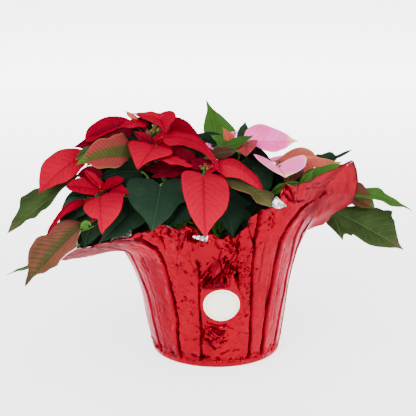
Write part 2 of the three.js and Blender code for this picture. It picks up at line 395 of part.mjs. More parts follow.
// [radius, height] rows of the cover's outside at angle th, from the base's edge to the rim
function foilProfile(th) {
  const rows = [[FOIL_BASE_R - 2.8, 0], [FOIL_BASE_R, 1.5]];
  for (const w of FOIL_WALL) rows.push([around(th, w.r), w.z]);
  const r0 = around(th, FLARE_R), z0 = around(th, FLARE_Z), rim = rimAt(th);
  const h = rim.z - z0, w = rim.r - r0, hp = Math.max(h, 5);
  const c1 = [r0 + 0.16 * hp + 3, z0 + 0.42 * hp];
  const c2 = [rim.r - 0.55 * w, rim.z - 0.22 * h + (w > 45 ? 1 : 0)];
  for (let i = 0; i <= FOIL_FLARE_ROWS; i++) {
    const k = i / FOIL_FLARE_ROWS, a = (1 - k) ** 3, b = 3 * k * (1 - k) ** 2, c = 3 * k * k * (1 - k), d = k ** 3;
    rows.push([a * r0 + b * c1[0] + c * c2[0] + d * rim.r, a * z0 + b * c1[1] + c * c2[1] + d * rim.z]);
  }
  return rows;
}
const wallRadius = (th, z) => {
  const rows = foilProfile(th);
  let i = 1;
  while (i < 4 && rows[i + 1][1] < z) i++;
  return rows[i][0] + ((rows[i + 1][0] - rows[i][0]) * (z - rows[i][1])) / (rows[i + 1][1] - rows[i][1]);
};
function foilCover() {
  const labelAngle = Math.asin(LABEL_X / 72) - Math.PI / 2;
  const grid = [];
  for (let k = 0; k < FOIL_SEGMENTS; k++) {
    const th = -Math.PI / 2 + (2 * Math.PI * k) / FOIL_SEGMENTS;
    const off = Math.abs(Math.atan2(Math.sin(th - labelAngle), Math.cos(th - labelAngle)));
    const fold = (k % 2 ? 1 : -1) * (0.65 + 0.35 * Math.sin(2.3 * k)) * PLEAT_DEPTH;
    grid.push(foilProfile(th).map(([r, z], i) => {
      const flat = off < 0.34 && z < 90 ? 0 : 1;
      const rr = r + fold * flat * Math.min(1, Math.max(0, (z - 5) / 95)) * (i > 5 ? 1 : 0.8);
      return [rr * Math.cos(th), rr * Math.sin(th), z];
    }));
  }
  const n = FOIL_SEGMENTS, rows = grid[0].length;
  const inner = grid.map((col, k) => col.map((p, i) => {
    if (i === 0) return add(p, [0, 0, 1], FOIL_THICKNESS);
    const along = sub(grid[(k + 1) % n][i], grid[(k + n - 1) % n][i]);
    const up = sub(col[Math.min(i + 1, rows - 1)], col[i - 1]);
    return add(p, unit(cross(along, up)), -FOIL_THICKNESS);
  }));
  const rings = [];
  for (let i = 0; i < rows; i++) rings.push(grid.map((c) => c[i]));
  for (let i = rows - 1; i >= 0; i--) rings.push(inner.map((c) => c[i]));
  return solid(skin(rings, [0, 0, 0], [0, 0, FOIL_THICKNESS]));
}

// ---------------------------------------------------------------- round sticker, bent round the cover's front
function sticker() {
  const R = LABEL_D / 2, rings = 3, sides = 24, th0 = Math.asin(LABEL_X / 72) - Math.PI / 2;
  const place = (u, v, out) => {
    const z = LABEL_Z + v, th = th0 + u / 72, r = wallRadius(th, z) + out;
    return [r * Math.cos(th), r * Math.sin(th), z];
  };
  const loop = (rho, out) => [...Array(sides).keys()].map((k) => place(rho * Math.cos((2 * Math.PI * k) / sides), rho * Math.sin((2 * Math.PI * k) / sides), out));
  const near = GAP, far = GAP + LABEL_T, list = [];
  for (let i = 1; i <= rings; i++) list.push(loop((R * i) / rings, near));
  for (let i = rings; i >= 1; i--) list.push(loop((R * i) / rings, far));
  return solid(skin(list, place(0, 0, near), place(0, 0, far)));
}

// ---------------------------------------------------------------- pot and soil
const potOuter = (z) => POT_BASE_R + ((z - POT_FLOOR_Z) * (POT_TOP_R - POT_BASE_R)) / (POT_LIP_Z - POT_FLOOR_Z);
const lathe = (profile) => {
  const g = new THREE.LatheGeometry(profile.map(([r, z]) => new THREE.Vector2(r, z)), POT_SEGMENTS);
  g.rotateX(Math.PI / 2);
  return solid(g);
};
const pot = () => {
  const inside = POT_FLOOR_Z + POT_WALL + 0.3;
  return lathe([
    [0, POT_FLOOR_Z], [POT_BASE_R, POT_FLOOR_Z], [potOuter(POT_LIP_Z), POT_LIP_Z], [POT_LIP_R - 0.6, POT_LIP_Z], [POT_LIP_R, POT_LIP_Z + 1],
    [POT_LIP_R, POT_TOP_Z - 1], [POT_LIP_R - 1, POT_TOP_Z], [potOuter(POT_TOP_Z) - POT_WALL - 0.5, POT_TOP_Z], [potOuter(inside) - POT_WALL, inside], [0, inside],
  ]);
};
const soil = (holes) => {
  const low = POT_FLOOR_Z + POT_WALL + 0.3 + GAP, edge = (z) => potOuter(z) - POT_WALL - GAP - 0.15;
  let s = lathe([[0, low], [edge(low), low], [edge(SOIL_EDGE_Z) - 0.6, SOIL_EDGE_Z], [54, SOIL_EDGE_Z + 1.4], [28, SOIL_CROWN_Z], [0, SOIL_CROWN_Z]]);
  for (const h of holes) s = s.subtract(h);
  return s;
};

// ---------------------------------------------------------------- the object
const COLOURS = {
  red: [0xc8102e, 0.55], reddark: [0x7d0f22, 0.6], mixed: [0x8a6a45, 0.6], green: [0x1f4a2c, 0.5], greenlight: [0x5c8f3a, 0.5],
  pink: [0xe9a3bd, 0.6], salmon: [0xd9776b, 0.6], brown: [0x8a4f38, 0.6], stem: [0x6f8a4a, 0.6], cup: [0x9aa83c, 0.5],
};
const root = new THREE.Group();
function put(name, body, [color, roughness, metalness = 0]) {
  const mesh = new THREE.Mesh(geometryOfSolid(body), new THREE.MeshStandardMaterial({ color, roughness, metalness }));
  mesh.name = name;
  root.add(mesh);
}
const stems = { r: plantStem("r", 0), p: plantStem("p", 0) };
const room = { r: plantStem("r", GAP), p: plantStem("p", GAP) };
put("foil_cover", foilCover(), [0xb5202c, 0.35, 0.85]);
put("sticker", sticker(), [0xf2efe8, 0.6]);
put("nursery_pot", pot(), [0x2b4a35, 0.6]);
put("soil", soil([room.r, room.p]), [0x3a2a1e, 0.95]);
put("red_plant_stem", stems.r, COLOURS.stem);
put("pink_plant_stem", stems.p, COLOURS.stem);
for (const [name, c] of Object.entries(CLUSTERS)) put(name, cluster(c), COLOURS.cup);
for (const leaf of LEAVES) put(leaf[0], leafSolid(leaf), COLOURS[leaf[1]]);

export default root;
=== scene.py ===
"""Potted poinsettia: two bushy plants, red and pink, in a nursery pot that stands in a folded foil cover.

Lengths in the tables below are millimetres in the frame's own axes; MM turns them into metres.
"""
import math

import bpy
import numpy as np
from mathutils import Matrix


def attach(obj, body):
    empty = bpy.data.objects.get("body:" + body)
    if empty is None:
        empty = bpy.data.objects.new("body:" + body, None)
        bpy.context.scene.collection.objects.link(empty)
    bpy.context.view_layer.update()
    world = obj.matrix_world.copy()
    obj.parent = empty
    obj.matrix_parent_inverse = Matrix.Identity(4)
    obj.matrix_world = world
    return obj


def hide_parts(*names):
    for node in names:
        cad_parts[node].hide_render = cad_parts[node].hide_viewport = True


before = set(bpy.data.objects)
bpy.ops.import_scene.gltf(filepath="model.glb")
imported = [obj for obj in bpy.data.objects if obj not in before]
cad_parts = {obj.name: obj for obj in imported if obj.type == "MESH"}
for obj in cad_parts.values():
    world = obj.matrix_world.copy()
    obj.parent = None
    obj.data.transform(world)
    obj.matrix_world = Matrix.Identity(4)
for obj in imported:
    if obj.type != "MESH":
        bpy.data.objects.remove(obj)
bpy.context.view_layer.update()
MM = 0.001

# ------------------------------------------------------------------ camera
camera = bpy.data.objects.new("camera", bpy.data.cameras.new("camera"))
camera.location = (-0.008, -1.046, 0.400)
camera.rotation_euler = (math.radians(76.0), 0.0, 0.0)
camera.data.sensor_width = 36.0
camera.data.lens = 36.0 * 1120.0 / 416.0
camera.data.clip_start = 0.05
bpy.context.scene.collection.objects.link(camera)
bpy.context.scene.camera = camera


# ------------------------------------------------------------------ small maths
def unit(v):
    v = np.asarray(v, float)
    return v / (np.linalg.norm(v, axis=-1, keepdims=True) + 1e-12)


def smooth(x, a, b):
    t = np.clip((x - a) / (b - a), 0.0, 1.0)
    return t * t * (3 - 2 * t)


def tri(x):
    """Triangle wave of period 1, from -1 to 1."""
    return 4.0 * np.abs(x - np.floor(x + 0.5)) - 1.0


def carry(a, b, v):
    """v turned by the smallest rotation that takes unit a to unit b."""
    c = np.cross(a, b)
    d = np.sum(a * b, -1)[..., None]
    return v + np.cross(c, v) + np.cross(c, np.cross(c, v)) / (1 + d + 1e-9)


def sample_curve(pts, n):
    pts = np.asarray(pts, float)
    m = len(pts) - 1
    if m == 2:
        b, c, t = pts
        ctl = 2 * c - 0.5 * (b + t)
        s = np.linspace(0, 1, n)[:, None]
        return (1 - s) ** 2 * b + 2 * s * (1 - s) * ctl + s * s * t
    out = np.zeros((n, pts.shape[1]))
    for k, q in enumerate(np.linspace(0, m, n)):
        i = min(int(q), m - 1)
        f = q - i
        p1, p2 = pts[i], pts[i + 1]
        p0 = pts[i - 1] if i > 0 else 2 * p1 - p2
        p3 = pts[i + 2] if i + 2 <= m else 2 * p2 - p1
        out[k] = 0.5 * (2 * p1 + (-p0 + p2) * f + (2 * p0 - 5 * p1 + 4 * p2 - p3) * f * f + (-p0 + 3 * p1 - 3 * p2 + p3) * f**3)
    return out


class Spine:
    """A curve addressed by its share of arc length."""

    def __init__(self, pts, n=65):
        self.P = sample_curve(pts, n)
        d = np.linalg.norm(np.diff(self.P, axis=0), axis=1)
        self.S = np.concatenate([[0], np.cumsum(d)])
        self.len = self.S[-1]
        self.T = unit(np.gradient(self.P, axis=0))

    def at(self, x):
        x = np.asarray(x, float)
        xs = np.clip(x, 0, 1) * self.len
        P = np.stack([np.interp(xs, self.S, self.P[:, k]) for k in range(3)], -1)
        T = unit(np.stack([np.interp(xs, self.S, self.T[:, k]) for k in range(3)], -1))
        return P + (x - np.clip(x, 0, 1))[..., None] * self.len * T, T


# ------------------------------------------------------------------ meshes
class Body:
    """Collects closed bodies into one mesh; lengths in mm."""

    def __init__(self):
        self.v, self.f, self.m, self.a, self.n = [], [], [], {}, 0

    def add(self, verts, faces, mat=0, **attrs):
        verts = np.asarray(verts, float).reshape(-1, 3)
        for f in faces:
            f = np.asarray(f, np.int64)
            if len(f):
                self.f.append(f + self.n)
                self.m.append(np.full(len(f), mat))
        self.v.append(verts)
        for k, val in attrs.items():
            self.a.setdefault(k, []).append((self.n, np.asarray(val, float)))
        self.n += len(verts)

    def build(self, name, materials, replaces=(), sharp=None):
        v = np.concatenate(self.v) * MM
        me = bpy.data.meshes.new(name)
        loops = np.concatenate([f.reshape(-1) for f in self.f]).astype(np.int32)
        sizes = np.concatenate([np.full(len(f), f.shape[1]) for f in self.f])
        starts = np.concatenate([[0], np.cumsum(sizes)[:-1]]).astype(np.int32)
        me.vertices.add(len(v))
        me.vertices.foreach_set("co", v.astype(np.float32).ravel())
        me.loops.add(len(loops))
        me.loops.foreach_set("vertex_index", loops)
        me.polygons.add(len(sizes))
        me.polygons.foreach_set("loop_start", starts)
        me.update(calc_edges=True)
        me.polygons.foreach_set("use_smooth", np.ones(len(sizes), bool))
        me.polygons.foreach_set("material_index", np.concatenate(self.m).astype(np.int32))
        for m in materials:
            me.materials.append(m)
        for k, parts in self.a.items():
            dim = parts[0][1].shape[1] if parts[0][1].ndim == 2 else 1
            full = np.zeros((len(v), dim), np.float32)
            for start, val in parts:
                full[start : start + len(val)] = val.reshape(len(val), dim)
            at = me.attributes.new(k, "FLOAT" if dim == 1 else "FLOAT_VECTOR", "POINT")
            at.data.foreach_set("value" if dim == 1 else "vector", full.ravel())
        me.validate()
        if sharp is not None:
            me.set_sharp_from_angle(angle=math.radians(sharp))
        ob = bpy.data.objects.new(name, me)
        bpy.context.scene.collection.objects.link(ob)
        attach(ob, "root")
        if replaces:
            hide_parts(*([replaces] if isinstance(replaces, str) else replaces))
        return ob


def grid_faces(n, m, wrap=False, flip=False):
    """Quads of an n by m grid of points, row by row; wrap joins the last column to the first."""
    i, j = np.meshgrid(np.arange(n - 1), np.arange(m if wrap else m - 1), indexing="ij")
    j2 = (j + 1) % m
    q = np.stack([i * m + j, (i + 1) * m + j, (i + 1) * m + j2, i * m + j2], -1).reshape(-1, 4)
    return q[:, ::-1] if flip else q


def tube(body, path, radii, sides=12, mat=0, ends=True, up=(0, 0, 1), squash=None, **attrs):
    """A closed round tube along a path of points, with a radius at each."""
    path = np.asarray(path, float)
    n = len(path)
    radii = np.broadcast_to(np.asarray(radii, float), (n,))
    T = unit(np.gradient(path, axis=0))
    u = unit(np.cross(T[0], up if abs(np.dot(T[0], unit(up))) < 0.95 else (1, 0.2, 0)))
    rings = []
    ph = np.linspace(0, 2 * np.pi, sides, endpoint=False)
    before = T[0]
    for k in range(n):
        u = unit(carry(before, T[k], u))
        before = T[k]
        w = np.cross(T[k], u)
        fl = 1.0 if squash is None else squash[k]
        rings.append(path[k] + radii[k] * (np.cos(ph)[:, None] * u + fl * np.sin(ph)[:, None] * w))
    V = np.concatenate(rings + [path[:1] - T[:1] * radii[0] * 0.25, path[-1:] + T[-1:] * radii[-1] * 0.25])
    j = np.arange(sides)
    j2 = (j + 1) % sides
    last = (n - 1) * sides
    c = n * sides
    side = grid_faces(n, sides, wrap=True, flip=True)
    caps = np.concatenate([np.stack([np.full(sides, c), j2, j], -1), np.stack([np.full(sides, c + 1), last + j, last + j2], -1)])
    att = {k: (np.tile(np.asarray(v, float), (len(V), 1)) if np.ndim(v) == 1 else np.full(len(V), float(v))) for k, v in attrs.items()}
    body.add(V, [side, caps], mat, **att)
    return V


def revolve(body, at, axis, profile, sides=16, mat=0, wob=0.0, seed=0, **attrs):
    """A closed turned body: profile of [distance along the axis, radius], on the axis at both ends."""
    at = np.asarray(at, float)
    t = unit(axis)
    u = unit(np.cross(t, (1, 0, 0) if abs(t[2]) > 0.9 else (0, 0, 1)))
    w = np.cross(t, u)
    rng = np.random.default_rng(seed)
    ph = np.linspace(0, 2 * np.pi, sides, endpoint=False)
    prof = np.asarray(profile, float)
    mid = prof[1:-1]
    k1 = 1 + wob * (np.sin(2 * ph + rng.uniform(0, 6)) * 0.6 + np.sin(3 * ph + rng.uniform(0, 6)) * 0.4)
    V = [at + x * t + r * k1[:, None] * (np.cos(ph)[:, None] * u + np.sin(ph)[:, None] * w) for x, r in mid]
    V = np.concatenate(V + [[at + prof[0, 0] * t], [at + prof[-1, 0] * t]])
    n = len(mid)
    j = np.arange(sides)
    j2 = (j + 1) % sides
    last = (n - 1) * sides
    c = n * sides
    caps = np.concatenate([np.stack([np.full(sides, c), j2, j], -1), np.stack([np.full(sides, c + 1), last + j, last + j2], -1)])
    att = {k: (np.tile(np.asarray(v, float), (len(V), 1)) if np.ndim(v) == 1 else np.full(len(V), float(v))) for k, v in attrs.items()}
    body.add(V, [grid_faces(n, sides, wrap=True, flip=True), caps], mat, **att)


# ------------------------------------------------------------------ materials
class Mat:
    """A material's node tree, built by short calls; a socket given as a value is linked."""

    def __init__(self, name):
        self.mat = bpy.data.materials.new(name)
        self.mat.use_nodes = True
        self.nt = self.mat.node_tree
        self.nt.nodes.clear()
        self.x = 0

    def node(self, kind, ins=None, **props):
        n = self.nt.nodes.new(kind)
        n.location = (self.x, 0)
        self.x += 40
        for k, v in props.items():
            setattr(n, k, v)
        for k, v in (ins or {}).items():
            s = n.inputs[k]
            if isinstance(v, bpy.types.NodeSocket):
                self.nt.links.new(v, s)
            else:
                s.default_value = v
        return n

    def math(self, op, a, b=0.0, c=None, clamp=False):
        n = self.node("ShaderNodeMath", {0: a, 1: b, **({2: c} if c is not None else {})}, operation=op, use_clamp=clamp)
        return n.outputs[0]

    def range(self, v, a, b, c=0.0, d=1.0, smooth=True):
        n = self.node("ShaderNodeMapRange", {"Value": v, "From Min": a, "From Max": b, "To Min": c, "To Max": d}, interpolation_type="SMOOTHSTEP" if smooth else "LINEAR")
        return n.outputs["Result"]

    def mix(self, f, a, b, how="MIX"):
        n = self.node("ShaderNodeMix", {0: f, 6: a, 7: b}, data_type="RGBA", blend_type=how)
        return n.outputs[2]

    def mixf(self, f, a, b):
        n = self.node("ShaderNodeMix", {0: f, 2: a, 3: b}, data_type="FLOAT")
        return n.outputs[0]

    def scale(self, colour, k):
        if not isinstance(colour, bpy.types.NodeSocket):
            colour = colour[:3]
        n = self.node("ShaderNodeVectorMath", {0: colour, 3: k}, operation="SCALE")
        return n.outputs[0]

    def attr(self, name):
        return self.node("ShaderNodeAttribute", attribute_name=name)

    def xyz(self, v):
        return self.node("ShaderNodeSeparateXYZ", {0: v}).outputs

    def coords(self):
        return self.node("ShaderNodeTexCoord").outputs["Object"]

    def noise(self, co, scale, detail=3.0, rough=0.5, distort=0.0):
        return self.node("ShaderNodeTexNoise", {"Vector": co, "Scale": scale, "Detail": detail, "Roughness": rough, "Distortion": distort}).outputs[0]

    def voronoi(self, co, scale, feature="DISTANCE_TO_EDGE"):
        return self.node("ShaderNodeTexVoronoi", {"Vector": co, "Scale": scale}, feature=feature).outputs["Distance"]

    def bump(self, height, strength, distance, normal=None):
        ins = {"Height": height, "Strength": strength, "Distance": distance}
        if normal is not None:
            ins["Normal"] = normal
        return self.node("ShaderNodeBump", ins).outputs[0]

    def finish(self, **ins):
        p = self.node("ShaderNodeBsdfPrincipled", {k.replace("_", " "): v for k, v in ins.items()})
        self.node("ShaderNodeOutputMaterial", {"Surface": p.outputs[0]})
        return self.mat


def leaf_material(name, main, vein, under, light=None, blush=None, tip=None, edge=None, rough=0.5, width=0.10, veins=0.75, blotch=0.35, sheen=0.12, bump=0.5, mid=None, spec=0.35, lop=0.0):
    """main, vein and under are colours; blush lies between midrib and edge, tip at the leaf's point."""
    m = Mat(name)
    u, a, side = m.xyz(m.attr("leaf_a").outputs["Vector"])[:3]
    phase, dist, tone_and_shade = m.xyz(m.attr("leaf_b").outputs["Vector"])[:3]
    co = m.coords()
    big = m.noise(co, 38.0, 3.0, 0.55)
    fine = m.noise(co, 420.0, 3.0, 0.6)
    col = m.mix(m.range(big, 0.35, 0.68), main, light)
    if blush is not None:
        reach = m.range(m.math("SUBTRACT", a, m.range(side, 1.2, 1.3, 0.0, -lop)), 0.06 + lop, 0.42 + lop)
        f = m.math("MULTIPLY", reach, m.range(u, 0.95, 0.66))
        f = m.math("MULTIPLY", f, m.range(big, 0.30, 0.52, 0.45, 1.0))
        col = m.mix(f, col, blush)
    if tip is not None:
        col = m.mix(m.range(u, 0.74, 0.95), col, tip)
    if edge is not None:
        col = m.mix(m.range(a, 0.90, 1.0, 0.0, 0.7), col, edge)
    near = m.math("PINGPONG", phase, 0.5)
    v = m.range(near, 0.0, width, 1.0, 0.0)
    v = m.math("MULTIPLY", v, m.range(a, 0.72, 0.98, 1.0, 0.0))
    net = m.range(m.voronoi(co, 520.0), 0.0, 0.07, 0.28, 0.0)
    rib = m.range(dist, 0.15, 0.75, 1.0, 0.0)
    lines = m.math("MAXIMUM", v, net)
    col = m.mix(m.math("MULTIPLY", lines, veins), col, vein)
    col = m.mix(m.math("MULTIPLY", rib, 0.85), col, mid or vein)
    col = m.mix(m.range(fine, 0.3, 0.7, 0.0, blotch * 0.4), col, m.scale(col, 0.72))
    col = m.mix(m.range(side, 0.4, 0.6, 0.85, 0.0), col, m.mix(m.math("MULTIPLY", v, 0.7), under, m.scale(under, 1.25)))
    # tone_and_shade scales the colour: a random tone per leaf, or a given one, which darkens leaves in the depth as
    # painted shade
    col = m.scale(col, tone_and_shade)
    h = m.math("ADD", m.math("MULTIPLY", v, -0.9), m.math("MULTIPLY", net, -0.8))
    h = m.math("ADD", h, m.math("MULTIPLY", fine, 0.35))
    nrm = m.bump(h, bump, 0.0005)
    ro = m.range(fine, 0.25, 0.75, rough - 0.06, rough + 0.08)
    return m.finish(Base_Color=col, Roughness=ro, Normal=nrm, Specular_IOR_Level=spec, Sheen_Weight=sheen, Sheen_Roughness=0.5)


def plain_organic(name, dark, light, rough=0.6, scale=60.0, bump=0.4, spec=0.3, stretch=(1, 1, 1)):
    m = Mat(name)
    co = m.node("ShaderNodeMapping", {"Vector": m.coords(), "Scale": stretch}).outputs[0]
    n1 = m.noise(co, scale, 4.0, 0.6)
    n2 = m.noise(co, scale * 9, 3.0, 0.6)
    f = m.math("ADD", m.math("MULTIPLY", n1, 0.65), m.math("MULTIPLY", n2, 0.35))
    col = m.mix(m.range(f, 0.35, 0.65), dark, light)
    return m.finish(Base_Color=col, Roughness=m.range(n2, 0.2, 0.8, rough - 0.08, rough + 0.08), Normal=m.bump(f, bump, 0.0006), Specular_IOR_Level=spec)


MATS = {
    "red": leaf_material("red_bract", (0.305, 0, 0.0167, 1.0), (0.1851, 0.0026, 0.0118, 1.0), (0.2151, 0.0123, 0.0236, 1.0), light=(0.3457, 0, 0.0175, 1.0), mid=(0.2068, 0.0019, 0.0134, 1.0), rough=0.55, sheen=0.0, spec=0.0, veins=0.32),
    # painted shade: a darkened copy of the red bract colours, for bracts that lie in shade
    "reddark": leaf_material("dark_red_bract", (0.1115, 0.003, 0.009, 1.0), (0.0553, 0.0016, 0.0049, 1.0), (0.1174, 0.0055, 0.0149, 1.0), light=(0.1504, 0.0034, 0.0133, 1.0), rough=0.5, sheen=0.0, spec=0.0, veins=0.6),
    "mixed": leaf_material("two_tone_leaf", (0.0473, 0.0488, 0.0147, 1.0), (0.0361, 0.0369, 0.0116, 1.0), (0.1138, 0.0724, 0.0429, 1.0), light=(0.0711, 0.0596, 0.0182, 1.0), blush=(0.2733, 0.021, 0.0337, 1.0), lop=0.22, tip=(0.0543, 0.1382, 0.0172, 1.0), edge=(0.1069, 0.1533, 0.0237, 1.0), mid=(0.0543, 0.0764, 0.0191, 1.0), veins=0.72, width=0.34, rough=0.5, sheen=0.0, spec=0.0),
    "mottle": leaf_material("mottled_leaf", (0.0245, 0.0335, 0.0113, 1.0), (0.045, 0.0822, 0.0254, 1.0), (0.1138, 0.0724, 0.0429, 1.0), light=(0.072, 0.0457, 0.018, 1.0), blush=(0.0482, 0.0383, 0.0155, 1.0), tip=(0.1019, 0.0832, 0.0342, 1.0), edge=(0.2679, 0.0998, 0.0515, 1.0), mid=(0.0448, 0.0856, 0.0228, 1.0), veins=0.6, width=0.25, rough=0.5, sheen=0.0, spec=0.0),
    "russet": leaf_material("olive_russet_leaf", (0.0414, 0.0402, 0.0143, 1.0), (0.0264, 0.0301, 0.0112, 1.0), (0.1138, 0.0724, 0.0429, 1.0), light=(0.0641, 0.0499, 0.0203, 1.0), blush=(0.1486, 0.0424, 0.0297, 1.0), tip=(0.0576, 0.0356, 0.0188, 1.0), mid=(0.0472, 0.0529, 0.0188, 1.0), veins=0.6, width=0.26, rough=0.5, sheen=0.0, spec=0.0),
    "green": leaf_material("dark_green_leaf", (0.0106, 0.025, 0.0151, 1.0), (0.0188, 0.0442, 0.0224, 1.0), (0.0457, 0.0752, 0.0311, 1.0), light=(0.0143, 0.035, 0.0174, 1.0), mid=(0.0298, 0.0595, 0.0281, 1.0), veins=0.40, rough=0.48, width=0.07, sheen=0.0, spec=0.02),
    "olive": leaf_material("olive_green_leaf", (0.0239, 0.043, 0.0134, 1.0), (0.0685, 0.101, 0.0357, 1.0), (0.0588, 0.0874, 0.0311, 1.0), light=(0.0416, 0.0681, 0.0203, 1.0), mid=(0.0991, 0.1353, 0.0452, 1.0), veins=0.6, rough=0.5, width=0.07, sheen=0.0, spec=0.0, tip=(0.0711, 0.0587, 0.0283, 1.0)),
    "greenlight": leaf_material("light_green_leaf", (0.0343, 0.0931, 0.0153, 1.0), (0.0578, 0.1322, 0.0257, 1.0), (0.0765, 0.1521, 0.037, 1.0), light=(0.0488, 0.1226, 0.02, 1.0), mid=(0.0811, 0.179, 0.0328, 1.0), veins=0.45, rough=0.48, width=0.07, sheen=0.0, spec=0.0),
    "pink": leaf_material("pink_bract", (0.95, 0.0746, 0.3763, 1.0), (0.937, 0.0288, 0.1902, 1.0), (0.95, 0.191, 0.4015, 1.0), light=(0.95, 0.1794, 0.5614, 1.0), edge=(0.95, 0.5475, 0.7515, 1.0), mid=(0.8207, 0.046, 0.2273, 1.0), tip=(0.95, 0.7377, 0.2809, 1.0), veins=0.7, rough=0.55, sheen=0.0, spec=0.1),
    "salmon": leaf_material("salmon_bract", (0.4256, 0.08, 0.0489, 1.0), (0.6646, 0.172, 0.0665, 1.0), (0.4697, 0.0884, 0.0564, 1.0), light=(0.5681, 0.1204, 0.0635, 1.0), blush=(0.4329, 0.0627, 0.0475, 1.0), mid=(0.371, 0.2292, 0.0421, 1.0), tip=(0.2709, 0.0822, 0.0359, 1.0), veins=0.45, rough=0.55, sheen=0.0, spec=0.1),
    "rose": leaf_material("rose_bract", (0.2251, 0.0217, 0.0301, 1.0), (0.1494, 0.0131, 0.0192, 1.0), (0.2644, 0.0458, 0.0439, 1.0), light=(0.3254, 0.0306, 0.0444, 1.0), blush=(0.3, 0.0275, 0.0395, 1.0), mid=(0.1575, 0.0246, 0.0205, 1.0), tip=(0.2197, 0.0392, 0.0298, 1.0), veins=0.7, rough=0.55, sheen=0.0, spec=0.05),
    "brown": leaf_material("bronze_leaf", (0.0526, 0.0401, 0.0156, 1.0), (0.1214, 0.0568, 0.0327, 1.0), (0.1031, 0.0547, 0.0326, 1.0), light=(0.0717, 0.052, 0.0203, 1.0), blush=(0.0856, 0.0264, 0.017, 1.0), mid=(0.0806, 0.0973, 0.0309, 1.0), tip=(0.0502, 0.0731, 0.0216, 1.0), veins=0.5, rough=0.52, sheen=0.0, spec=0.02),
    "stalk_red": plain_organic("red_stalk", (0.1374, 0.0062, 0.0126, 1.0), (0.232, 0.0229, 0.0193, 1.0), 0.5, 90.0, 0.2, spec=0.05),
    "stalk_green": plain_organic("green_stalk", (0.0569, 0.1107, 0.025, 1.0), (0.1626, 0.2313, 0.038, 1.0), 0.5, 90.0, 0.2, spec=0.05),
    "stalk_pink": plain_organic("pink_stalk", (0.4326, 0.0997, 0.0819, 1.0), (0.622, 0.2839, 0.0653, 1.0), 0.5, 90.0, 0.2, spec=0.05),
    "stem": plain_organic("stem", (0.0368, 0.0556, 0.0167, 1.0), (0.0809, 0.0934, 0.0309, 1.0), 0.6, 70.0, 0.6, stretch=(1, 1, 0.35), spec=0.2),
    "bark": plain_organic("bark", (0.0525, 0.0395, 0.0213, 1.0), (0.1058, 0.0794, 0.0393, 1.0), 0.8, 90.0, 1.0, stretch=(1, 1, 0.3), spec=0.15),
    "cup": plain_organic("cyathium_green", (0.0267, 0.0494, 0.0136, 1.0), (0.063, 0.0987, 0.0251, 1.0), 0.45, 260.0, 0.2),
    "cup_red": plain_organic("cyathium_red", (0.1581, 0.0048, 0.0109, 1.0), (0.3509, 0.005, 0.0148, 1.0), 0.45, 260.0, 0.2),
    "gland": plain_organic("gland_yellow", (0.1598, 0.1237, 0.0187, 1.0), (0.3762, 0.2909, 0.0109, 1.0), 0.35, 300.0, 0.1),
    "soil": plain_organic("potting_soil", (0.0114, 0.0074, 0.0052, 1.0), (0.0409, 0.0258, 0.0152, 1.0), 0.95, 220.0, 1.0, spec=0.1),
    "perlite": plain_organic("perlite", (0.4183, 0.3645, 0.2581, 1.0), (0.95, 0.95, 0.6909, 1.0), 0.9, 400.0, 0.6),
    "pot": plain_organic("pot_plastic", (0.011, 0.0114, 0.012, 1.0), (0.0198, 0.0204, 0.0212, 1.0), 0.45, 120.0, 0.1),
}
STALK = dict(red="stalk_red", reddark="stalk_red", mixed="stalk_red", green="stalk_green", greenlight="stalk_green", pink="stalk_pink", salmon="stalk_pink", brown="stalk_green", russet="stalk_red", mottle="stalk_red", olive="stalk_green", rose="stalk_pink")


